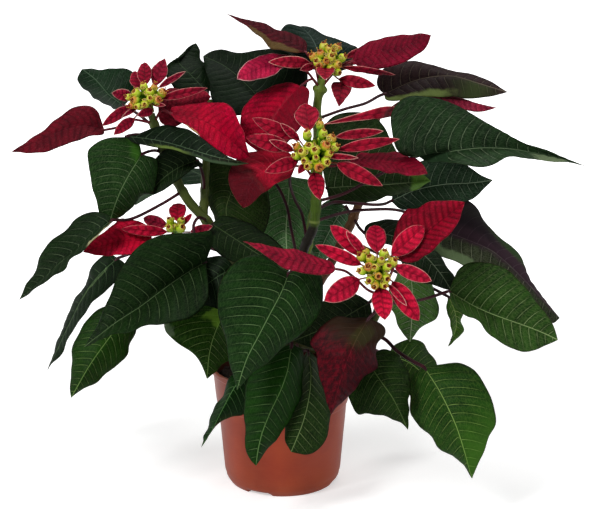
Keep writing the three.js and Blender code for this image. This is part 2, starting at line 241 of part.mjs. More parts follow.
    M: [[-42.6, -34, 167.3], [-45, -38.2, 163.4], [-48.5, -44.3, 157.8], [-52.5, -51.1, 150.1], [-56.5, -57.3, 140.1], [-59, -61.8, 128.8], [-59.9, -64.3, 118.8], [-60.6, -66, 111.4]],
    L: [[-42.6, -34, 167.3], [-39.5, -25.2, 158.5], [-35.3, -23.1, 148.6], [-34.8, -28.1, 137.4], [-38.1, -37.2, 126.4], [-46.7, -47.3, 118.9], [-54.7, -56.7, 114], [-60.6, -66, 111.4]],
    R: [[-42.6, -34, 167.3], [-53.6, -30.5, 168.6], [-69.2, -35.7, 170.2], [-86.6, -46.5, 165.2], [-94.7, -55.1, 149.3], [-78.2, -59, 136.2], [-65.9, -61.6, 123], [-60.6, -66, 111.4]],
  },
  leaf_pot_left: {
    kind: "leaf", rp: 1.5,
    petiole: [[4.1, -12.8, 125.4], [-2.4, -25.3, 127.7], [-8.7, -37.9, 129.4], [-14.2, -51.1, 129.7], [-20.2, -63.6, 127.3], [-28.6, -72, 119.5]],
    M: [[-28.6, -72, 119.5], [-32.4, -75.2, 115.3], [-37.8, -79.7, 109.1], [-43.5, -84.1, 100], [-49.4, -88, 89.1], [-55.1, -90.8, 77.8], [-60.6, -91.7, 68.5], [-64.7, -92, 61.8]],
    L: [[-28.6, -72, 119.5], [-25.5, -68.8, 111.2], [-22.4, -69.1, 100.4], [-27.2, -71, 88], [-39.9, -73.9, 81.2], [-52.9, -78.9, 75.9], [-60.1, -85.2, 67.4], [-64.7, -92, 61.8]],
    R: [[-28.6, -72, 119.5], [-35.5, -65.9, 115.5], [-43.9, -63.7, 109.7], [-48, -65.4, 98.1], [-55, -70.7, 87.5], [-59.8, -78.2, 76.7], [-62.6, -85.3, 67.7], [-64.7, -92, 61.8]],
  },
  leaf_pot_front: {
    kind: "leaf", rp: 1.8,
    petiole: [[5.9, -13.8, 128], [4.1, -27.9, 136.7], [2.8, -42.5, 144.6], [2.9, -58.2, 150.1], [4.4, -74.5, 152.8], [8.7, -90, 148.9]],
    M: [[8.7, -90, 148.9], [7.2, -95.7, 141.6], [5.1, -104, 131.1], [-0.1, -111.8, 117.4], [-8.2, -117.2, 101.4], [-15, -120.5, 84.4], [-18.3, -121.2, 69.2], [-19.7, -121, 57.8]],
    L: [[8.7, -90, 148.9], [17.4, -83.9, 141.5], [18.1, -83.5, 126.2], [15.7, -88.3, 108.8], [9.5, -96.5, 91.1], [-2.1, -105.8, 76.7], [-12.8, -113.7, 65.9], [-19.7, -121, 57.8]],
    R: [[8.7, -90, 148.9], [-1.6, -86.7, 144.6], [-15, -90.1, 137.6], [-26.2, -96.4, 123.8], [-28.9, -102.2, 103.5], [-29.3, -108.8, 83.2], [-27.1, -115.4, 66.9], [-19.7, -121, 57.8]],
  },
  leaf_pot_right: {
    kind: "leaf", rp: 1.5,
    petiole: [[12.7, -22.2, 126], [12.9, -36.2, 128.6], [13.7, -50.2, 131.5], [15.5, -64, 134.8], [21.4, -76, 139.4]],
    M: [[21.4, -76, 139.4], [22.5, -78.9, 132.4], [23.8, -83.1, 122.3], [23.1, -88.8, 110], [20.4, -94.6, 96.1], [16, -98.9, 82.1], [11.4, -100.3, 70.4], [7.8, -101, 61.8]],
    L: [[21.4, -76, 139.4], [28.4, -68.2, 129.5], [33.3, -66.1, 114.4], [38.3, -72.5, 98.6], [39.6, -84.5, 82], [33, -95.1, 66], [19.6, -99.7, 58.7], [7.8, -101, 61.8]],
    R: [[21.4, -76, 139.4], [17.3, -67.9, 129.9], [14.9, -64.6, 117.2], [12.2, -68.2, 104], [6.4, -77.4, 91.8], [3, -88.3, 79.8], [3.6, -96.3, 69], [7.8, -101, 61.8]],
  },
  leaf_maroon: {
    kind: "leaf", rp: 1.5,
    petiole: [[76.2, -97.2, 183.2], [74, -104.3, 180.3], [68.8, -108, 175.9]],
    M: [[68.8, -108, 175.9], [64.9, -112.1, 170.8], [59.6, -117.7, 163.3], [54, -123, 152.4], [48.8, -127.4, 139], [44.6, -129.9, 124.8], [41.4, -130.2, 112.7], [39.1, -130, 103.7]],
    L: [[68.8, -108, 175.9], [77.3, -100.9, 169.7], [81.3, -98.4, 157], [75.4, -100.3, 143.3], [69.1, -105.9, 129.6], [56.8, -113.6, 118.2], [46.1, -121.5, 109.7], [39.1, -130, 103.7]],
    R: [[68.8, -108, 175.9], [58.4, -102, 174.8], [43.1, -103.3, 174.9], [28.1, -108.7, 165.1], [28.3, -114.1, 150.1], [29.9, -118.9, 130.5], [35.8, -123.9, 114.8], [39.1, -130, 103.7]],
  },
  leaf_behind_maroon: {
    kind: "leaf", rp: 1.5,
    petiole: [[76.6, -87.8, 182.8], [75.5, -79.3, 184.3], [70.8, -75.8, 179.4]],
    M: [[70.8, -75.8, 179.4], [64.8, -85.1, 178.6], [56.9, -82.2, 172.7], [47.4, -73.7, 164.3], [36.8, -65.9, 156], [25.7, -61.4, 149.3], [16.2, -58.2, 144.3], [9.3, -56, 140.6]],
    L: [[70.8, -75.8, 179.4], [71.8, -90.6, 175.7], [69.8, -84.9, 162.4], [61.7, -74.5, 147.5], [47.6, -66, 137.5], [31.5, -61.4, 134.9], [18.4, -58.2, 137.1], [9.3, -56, 140.6]],
    R: [[70.8, -75.8, 179.4], [64.3, -76.3, 183.6], [54.4, -75.1, 187.6], [41.8, -70.7, 182.8], [28.5, -65.3, 173.9], [17.3, -61.3, 162.2], [9.5, -58.2, 150.8], [9.3, -56, 140.6]],
  },
  leaf_right_lower: {
    kind: "leaf", rp: 1.5,
    petiole: [[55, -62.7, 136.5], [59.4, -74.1, 135.9], [66.1, -84, 136.9]],
    M: [[66.1, -84, 136.9], [69.5, -86.8, 132.4], [74.3, -90.8, 125.9], [80.5, -95.2, 117.7], [87.8, -99.2, 108.3], [93.8, -101.1, 97.5], [98, -101.6, 87.9], [101.1, -102, 80.9]],
    L: [[66.1, -84, 136.9], [74.2, -76.6, 137.4], [86, -74.6, 138.9], [97.8, -76.7, 130.6], [103.5, -81.1, 115.9], [101.9, -86.6, 100.4], [102.9, -93.7, 88.4], [101.1, -102, 80.9]],
    R: [[66.1, -84, 136.9], [59.6, -77.3, 128.8], [53.9, -77.7, 117.3], [54.4, -84.5, 103.1], [62.2, -91.2, 89.4], [79.7, -93.3, 90.6], [93.3, -95.7, 86.1], [101.1, -102, 80.9]],
  },
  leaf_right_bottom: {
    kind: "leaf", rp: 1.8,
    petiole: [[20.7, -18, 129.7], [39, -28.6, 139.3], [58.7, -39.5, 144.6], [79.2, -49.9, 143], [95.8, -61.9, 132.5], [115.3, -70, 123]],
    M: [[115.3, -70, 123], [119.5, -76.2, 117.9], [125.6, -84.8, 109.9], [132.6, -93.5, 98.1], [139.8, -101.4, 83.3], [145.3, -106.8, 66.8], [149.3, -108.3, 52.2], [152.5, -108, 41.5]],
    L: [[115.3, -70, 123], [127.8, -66.8, 124.2], [145.1, -72.8, 127.1], [161.1, -84.9, 116.8], [170.1, -96, 96.8], [166.2, -101.9, 74.1], [157.8, -104.6, 55.3], [152.5, -108, 41.5]],
    R: [[115.3, -70, 123], [107.1, -64.7, 115], [103.8, -65.8, 100.2], [106.3, -71.8, 82.9], [119, -80.5, 69.1], [133, -90, 56.9], [146, -99, 49.1], [152.5, -108, 41.5]],
  },
  leaf_right_round: {
    kind: "leaf", rp: 1.5,
    petiole: [[13.4, 7.1, 131.7], [30.2, 11.2, 127.8], [46.6, 15.7, 122.5], [62.2, 20.6, 115.7], [77.2, 26, 107.9], [91.5, 32, 99.1]],
    M: [[91.5, 32, 99.1], [97.1, 35.8, 96.5], [105.3, 41.2, 92.6], [114.5, 47, 85.6], [123.6, 52.4, 75.6], [131.1, 56.2, 63.7], [136.2, 58.4, 52.9], [140, 60, 45]],
    L: [[91.5, 32, 99.1], [95.8, 44.9, 103.1], [107.1, 56, 105.8], [122.7, 63.8, 101.9], [133.7, 68.2, 85.7], [140.8, 68.1, 68.6], [142.6, 64.4, 54.6], [140, 60, 45]],
    R: [[91.5, 32, 99.1], [94, 46.2, 87.8], [97.5, 57.2, 74.4], [104.2, 62, 62.1], [113.1, 61.8, 51.4], [123.1, 59.8, 42.6], [133.6, 59, 39.9], [140, 60, 45]],
  },
  leaf_right_hanging: {
    kind: "leaf", rp: 1.5,
    petiole: [[56.6, 26.3, 204.7], [69.6, 19.3, 200.1], [81.8, 10.6, 196.6], [90.5, -2.1, 197], [97.2, -16, 198.7], [103.5, -30, 200.2]],
    M: [[103.5, -30, 200.2], [104.4, -34.1, 195.7], [105.6, -40.1, 189.2], [106.4, -46, 180], [106.2, -50.5, 168.5], [105.8, -52.6, 156.3], [105.2, -52.3, 146], [104.8, -52, 138.5]],
    L: [[103.5, -30, 200.2], [110.4, -24.9, 194.4], [118.7, -26.4, 187], [125, -34.3, 176.7], [129.1, -43.2, 163.9], [120, -47.5, 154], [110.6, -48.9, 145.4], [104.8, -52, 138.5]],
    R: [[103.5, -30, 200.2], [99.2, -25.2, 193.8], [93.4, -26.2, 186], [88.3, -31.6, 176], [88.9, -38.2, 164.2], [94.3, -43.7, 152.9], [99.8, -47.6, 143.9], [104.8, -52, 138.5]],
  },
  leaf_right_middle: {
    kind: "leaf", rp: 1.5,
    petiole: [[80.8, -89.5, 182.5], [91.9, -78.3, 179.2], [104.8, -68.8, 177.9], [119.5, -63, 179.6], [134.7, -62.7, 184.8]],
    M: [[134.7, -62.7, 184.8], [141.9, -64.2, 180.6], [152.7, -64.9, 174.1], [166, -70, 169], [181.7, -75.7, 164.4], [197.8, -80.3, 159.8], [211.1, -82.9, 154.8], [220.6, -84, 150.3]],
    L: [[134.7, -62.7, 184.8], [138.8, -62, 196.1], [150, -62.9, 208.3], [170.1, -69, 208.8], [189, -73.7, 196.7], [204.2, -77.4, 179], [215.8, -81, 163.6], [220.6, -84, 150.3]],
    R: [[134.7, -62.7, 184.8], [136.1, -76.2, 178.8], [145.2, -88.7, 172.1], [159.1, -96.5, 164.8], [174.5, -96.3, 151.8], [193.3, -91.2, 142.6], [209.4, -86.4, 145.8], [220.6, -84, 150.3]],
  },
  leaf_right_purple: {
    kind: "leaf", rp: 1.5,
    petiole: [[31.5, -40.2, 238.5], [52.1, -31.4, 242.4], [73.7, -24, 243], [94.2, -14.3, 240.4], [113.2, -4.5, 232.5], [130.4, 4.4, 220.5]],
    M: [[130.4, 4.4, 220.5], [141, 1.9, 216.4], [156.7, -1.2, 210.9], [175.1, -8.9, 203.9], [192.9, -12.8, 189.1], [209.3, -14.1, 172.3], [222.7, -14.1, 158], [232.4, -14, 147.5]],
    L: [[130.4, 4.4, 220.5], [135.2, 4, 234.9], [152.9, 3.5, 244.7], [170.2, 0.9, 226.1], [191.9, 0.6, 204.9], [207.1, -2, 179.5], [220.9, -7.3, 159.8], [232.4, -14, 147.5]],
    R: [[130.4, 4.4, 220.5], [125.4, 0.5, 208.8], [135.5, -6.6, 197.4], [155.6, -17.5, 189.8], [176.6, -22.4, 175.3], [199.2, -20.5, 159.7], [218.5, -16.5, 146.1], [232.4, -14, 147.5]],
  },
  leaf_right_upper: {
    kind: "leaf", rp: 1.5,
    petiole: [[32.5, -48.4, 256.5], [50.1, -43.8, 260.7], [66.5, -38.8, 268.1], [82.4, -33.1, 275.9], [95.4, -20.8, 280.6], [111, -18, 286.3]],
    M: [[111, -18, 286.3], [122.8, -21.8, 288.8], [139.4, -31.1, 293.1], [161.7, -25, 294.3], [187.1, -22.8, 293], [211.7, -24.5, 288.7], [232, -25.6, 283.6], [246.7, -26, 279.7]],
    L: [[111, -18, 286.3], [91.3, -47.1, 298.3], [87.7, -40.7, 325.9], [116.7, -34.7, 337.9], [155.7, -24.8, 322], [190.8, -24.9, 300.2], [223.1, -25.6, 288.6], [246.7, -26, 279.7]],
    R: [[111, -18, 286.3], [121.4, -29.9, 283.4], [137.8, -46.9, 286.1], [159.2, -50.2, 284.8], [182.8, -48.9, 290.8], [208, -44.5, 288.4], [229.9, -36.1, 284.2], [246.7, -26, 279.7]],
  },
  leaf_right_dark: {
    kind: "leaf", rp: 1.5,
    petiole: [[31.8, -44.9, 249.8], [47.4, -38.3, 252.8], [64.7, -37.4, 250.9], [77.9, -28, 248], [84.8, -12.3, 245.1], [90.7, 4, 243.7]],
    M: [[90.7, 4, 243.7], [97.7, 6.7, 246.4], [107.9, 10.3, 250.3], [121.4, 10.6, 254.1], [136.8, 7.6, 257.2], [152.5, 5.2, 258.5], [165.5, 3.5, 260.1], [174.9, 1.9, 262]],
    L: [[90.7, 4, 243.7], [93.4, 12.4, 251.5], [100.4, 16.8, 263.1], [113.7, 14, 274.4], [132.1, 8.6, 279.3], [150.7, 5.5, 275.4], [164.1, 3.6, 266.5], [174.9, 1.9, 262]],
    R: [[90.7, 4, 243.7], [96.8, 0.6, 238.4], [108.8, -0.4, 236.8], [123.2, -1.6, 241.2], [140, -2.7, 243.2], [156.9, -0.5, 245.7], [167.7, 2.2, 254.4], [174.9, 1.9, 262]],
  },
  leaf_top_right: {
    kind: "leaf", rp: 1.5,
    petiole: [[33.5, 16.3, 312.3], [46.7, 21.6, 316.2], [60, 27.3, 319.2], [73, 33.5, 322.4], [85.5, 39, 327.8]],
    M: [[85.5, 39, 327.8], [94.4, 41.3, 331.4], [107.2, 44.7, 336.7], [124, 46.1, 341], [143.5, 44, 342.3], [162.1, 40.7, 337.3], [177.7, 37.9, 333], [189.2, 36, 330]],
    L: [[85.5, 39, 327.8], [79.4, 42.2, 337.3], [89.4, 49.3, 350], [111, 56.8, 353.4], [134.8, 58.2, 346.5], [158.8, 52.5, 343], [176.9, 44.1, 336.1], [189.2, 36, 330]],
    R: [[85.5, 39, 327.8], [91.2, 33.7, 322.8], [105.1, 31.5, 324.6], [122.3, 31.3, 326.7], [141.8, 31.5, 326.7], [161.3, 32.4, 325.1], [177.5, 34.1, 327.1], [189.2, 36, 330]],
  },
  leaf_middle_rear: {
    kind: "leaf", rp: 1.5,
    petiole: [[12.7, -19, 200.2], [8.7, -9.3, 217.8], [5.4, 2.9, 233.8], [-1.3, 13.4, 249.8], [-15.5, 19.9, 262.4], [-35.3, 21, 266.5]],
    M: [[-35.3, 21, 266.5], [-37.4, 19.9, 261.4], [-40.5, 18.3, 254.1], [-43.9, 14.8, 245.5], [-46.8, 9.6, 236.1], [-45.7, 5.4, 225.9], [-43.4, 2.3, 217.4], [-41.8, 0, 211.2]],
    L: [[-35.3, 21, 266.5], [-26.5, 22.9, 262.4], [-14.9, 20.7, 255.7], [-10.3, 15.4, 240.4], [-12.1, 9.6, 222.4], [-20.6, 5.4, 206], [-33.5, 2.3, 202.4], [-41.8, 0, 211.2]],
    R: [[-35.3, 21, 266.5], [-42.8, 22.6, 271.7], [-54.7, 21.4, 276.2], [-64.3, 19.9, 264.3], [-62.8, 18.5, 245.8], [-58.3, 14.4, 228.3], [-51.2, 7.1, 216.1], [-41.8, 0, 211.2]],
  },
  leaf_center_rear: {
    kind: "leaf", rp: 1.5,
    petiole: [[20, -28.6, 221.9], [17.8, -18.7, 233.1], [14.4, -6.2, 240.4], [10.4, 7.7, 244.8], [7.3, 21.1, 250.8], [6.5, 34, 258.5]],
    M: [[6.5, 34, 258.5], [6, 34.9, 251.6], [5.3, 36.2, 241.6], [4.4, 35, 229.4], [3.3, 29.3, 216.7], [3.4, 22, 205], [4.2, 16.1, 195.8], [4.9, 9, 189.8]],
    L: [[6.5, 34, 258.5], [15.1, 42.8, 254.8], [27.2, 48.9, 249.8], [28.4, 49.9, 234.5], [23.3, 44, 218.5], [19, 33, 203.6], [13.4, 23.5, 192.6], [4.9, 9, 189.8]],
    R: [[6.5, 34, 258.5], [-3.1, 41.3, 256.5], [-16.6, 45.4, 253.3], [-22.4, 44.5, 237.5], [-21.5, 38, 219.4], [-15.3, 27.6, 203.3], [-5.5, 17.3, 193], [4.9, 9, 189.8]],
  },
  leaf_center_right: {
    kind: "leaf", rp: 1.5,
    petiole: [[57.5, 36.1, 225.5], [56, 36.2, 228.8], [54.2, 36, 232]],
    M: [[54.2, 36, 232], [51.5, 37.4, 227.8], [47.5, 39.3, 221.7], [43, 40.9, 213.8], [38.4, 41.9, 204.5], [34.2, 42.2, 195], [31.1, 42.1, 186.9], [28.8, 42, 181]],
    L: [[54.2, 36, 232], [58.2, 44.2, 225.7], [60.3, 50.8, 216.4], [56.1, 54.1, 206.2], [50, 53.9, 196.3], [42.4, 50.8, 188.2], [35.1, 46.3, 183], [28.8, 42, 181]],
    R: [[54.2, 36, 232], [48.2, 41.7, 233.5], [39, 45.7, 235], [30.8, 48.3, 225.9], [26.2, 49.5, 212.7], [24.9, 48.4, 199.1], [26.3, 45.3, 188.3], [28.8, 42, 181]],
  },
  leaf_center_behind: {
    kind: "leaf", rp: 1.5,
    petiole: [[62.9, 30.2, 239.1], [53.9, 20.2, 244.2], [45.5, 9.6, 249.6], [36.5, 0, 255.7]],
    M: [[36.5, 0, 255.7], [44.4, 0.1, 256.1], [55.7, 0.1, 256.8], [69.6, -0.2, 257.7], [85.2, -1.2, 258.7], [100.7, -2.7, 260.2], [113.5, -4.6, 261.7], [122.9, -6, 262.9]],
    L: [[36.5, 0, 255.7], [33.7, 3.1, 270.6], [31.9, 2.5, 293.2], [43.9, 0.4, 316.6], [73.8, -1.2, 316.9], [91.5, -2.7, 292.9], [107.7, -4.6, 273.9], [122.9, -6, 262.9]],
    R: [[36.5, 0, 255.7], [38.5, -15, 250.2], [48.3, -26, 247], [63.8, -31.2, 249.8], [81.2, -30.3, 252.7], [98.3, -24.4, 256.7], [112.7, -15.7, 259.7], [122.9, -6, 262.9]],
  },
  leaf_right_inner: {
    kind: "leaf", rp: 1.5,
    petiole: [[62.2, 27.6, 220.9], [65.2, 19, 216.9], [68.8, 10, 214.8]],
    M: [[68.8, 10, 214.8], [74.3, 1.6, 216.7], [82.4, -10.6, 219.5], [93.1, -25.4, 220.4], [106, -40.7, 217.1], [119.5, -52.1, 207.5], [130.3, -54.2, 194.4], [137.1, -54.3, 183.3]],
    L: [[68.8, 10, 214.8], [73.2, 8.8, 223.7], [87.5, 1.8, 228.9], [104.4, -10.7, 228.5], [118.2, -27.3, 218.1], [130.3, -43.2, 206.2], [139.8, -50.8, 194.3], [137.1, -54.3, 183.3]],
    R: [[68.8, 10, 214.8], [71.8, -6.8, 211.4], [83.1, -23.9, 213.6], [95.1, -36.9, 210.7], [101.2, -46.4, 197.5], [113.9, -53.7, 189.2], [127.1, -56.2, 186.4], [137.1, -54.3, 183.3]],
  },
  leaf_right_small: {
    kind: "leaf", rp: 1.5,
    petiole: [[52.8, 24.1, 198.7], [69, 10.7, 194], [85.2, -2.7, 189.4], [101.7, -15.7, 184.6], [119.1, -27.4, 179.6], [137.2, -36, 172.1]],
    M: [[137.2, -36, 172.1], [138.8, -37.3, 168.7], [141.1, -39.1, 163.7], [142.8, -40.7, 157.1], [143.2, -41.8, 149.2], [141.4, -42.2, 141.6], [138.7, -42.1, 135.5], [136.8, -42, 131]],
    L: [[137.2, -36, 172.1], [142.2, -33.4, 170.3], [147.2, -32.3, 165], [149.4, -32.7, 156.5], [149.3, -34.6, 147.6], [147.3, -37.2, 139.4], [141.5, -39.7, 134.3], [136.8, -42, 131]],
    R: [[137.2, -36, 172.1], [135.4, -41.3, 170], [134.2, -46, 165.8], [135.8, -49, 159.8], [137.8, -49.9, 152.4], [139.3, -48.4, 144], [138.4, -45.4, 136.6], [136.8, -42, 131]],
  },
  leaf_rear_left: {
    kind: "leaf", rp: 1.5,
    petiole: [[-61.2, 21.8, 288.4], [-58.2, 34.8, 279.2], [-57, 47.3, 269], [-58.2, 58.8, 257.6], [-60, 70, 246]],
    M: [[-60, 70, 246], [-67.7, 80, 247.6], [-78.9, 94.5, 250.1], [-93, 112.1, 248.7], [-108.7, 130.7, 241.4], [-122.6, 147.8, 228.6], [-131.6, 159.5, 213.4], [-138, 168, 202]],
    L: [[-61.8, 68.7, 245.5], [-83.7, 68.4, 243.1], [-104.5, 74.6, 242.6], [-119.9, 88, 240.5], [-132.1, 107.3, 234.4], [-139.1, 130.4, 224.2], [-139, 151.6, 211.7], [-138, 168, 202]],
    R: [[-58.3, 71.4, 245.5], [-52.5, 92.6, 243.1], [-53.5, 114.7, 242.6], [-64.1, 133.8, 240.5], [-81.3, 149.5, 234.4], [-101.9, 159.9, 224.2], [-121.9, 164.6, 211.7], [-138, 168, 202]],
  },
  leaf_rear_middle: {
    kind: "leaf", rp: 1.5,
    petiole: [[18.2, 18.7, 182.5], [23.2, 30.3, 186.3], [22.8, 42.7, 189.9], [17.6, 54.4, 193], [12, 66, 196]],
    M: [[12, 66, 196], [14.4, 77.1, 197.2], [17.9, 93.2, 198.9], [21.6, 112.8, 195.4], [24.8, 132.9, 184.9], [26.8, 149.8, 169.6], [27.5, 160.3, 153.7], [28, 168, 142]],
    L: [[9.8, 66.5, 195.5], [-5.8, 82, 192.4], [-15.7, 99.6, 191], [-16.4, 116.5, 187], [-10.3, 133.3, 178.3], [1.5, 147.9, 165.8], [16.1, 158.9, 152.3], [28, 168, 142]],
    R: [[14.2, 65.6, 195.5], [34.8, 73.3, 192.4], [51.3, 86.1, 191], [58.5, 103.5, 187], [58.6, 123.5, 178.3], [51.2, 143, 165.8], [38.7, 157.4, 152.3], [28, 168, 142]],
  },
  leaf_rear_right: {
    kind: "leaf", rp: 1.5,
    petiole: [[61, 37.6, 224.5], [64.1, 52.1, 232.2], [70.2, 67.4, 234.2], [78, 82, 232]],
    M: [[78, 82, 232], [85.3, 91.6, 234.3], [95.7, 105.5, 237.8], [109.3, 122.3, 236.4], [124.3, 139.3, 227.2], [137.3, 154.3, 213], [145.9, 164.6, 197.5], [152, 172, 186]],
    L: [[76.3, 83.4, 231.5], [70, 104.2, 229.8], [70.4, 125.8, 230.3], [80.5, 144.1, 228.3], [97.1, 158.3, 220.5], [116.9, 166.9, 208.9], [136.4, 170, 195.9], [152, 172, 186]],
    R: [[79.8, 80.8, 231.5], [101.6, 80.4, 229.8], [121.5, 85.8, 230.3], [135.6, 97.5, 228.3], [146.7, 114.7, 220.5], [153, 136.1, 208.9], [152.9, 156.3, 195.9], [152, 172, 186]],
  },
  leaf_rear_lower: {
    kind: "leaf", rp: 1.5,
    petiole: [[-12.8, -1, 150.4], [-18.6, 12.4, 156.4], [-24.5, 25.9, 161.9], [-31, 40, 163.8], [-37.6, 53.4, 158.9], [-44, 66, 152]],
    M: [[-44, 66, 152], [-49.4, 75.7, 152], [-57.1, 89.7, 152.3], [-66.5, 106.4, 148], [-76.2, 122.5, 136.4], [-84.2, 135.6, 120.5], [-88.8, 143, 104.2], [-92, 148, 92]],
    L: [[-45.8, 65, 151.5], [-65.8, 66.7, 147.7], [-83.5, 74, 145.2], [-94.5, 86.5, 140.7], [-100.6, 102.4, 130.7], [-101.2, 120.3, 117.4], [-96.3, 135.8, 103.1], [-92, 148, 92]],
    R: [[-42.2, 67, 151.5], [-33, 84.8, 147.7], [-29.9, 104.1, 145.2], [-35.5, 121, 140.7], [-47.1, 134.8, 130.7], [-62.9, 143.9, 117.4], [-79.1, 146.6, 103.1], [-92, 148, 92]],
  },
};
const YOUNG_LEAVES = new Set(["leaf_left_lower", "leaf_pot_front", "leaf_right_bottom", "leaf_right_hanging", "leaf_right_small"]);

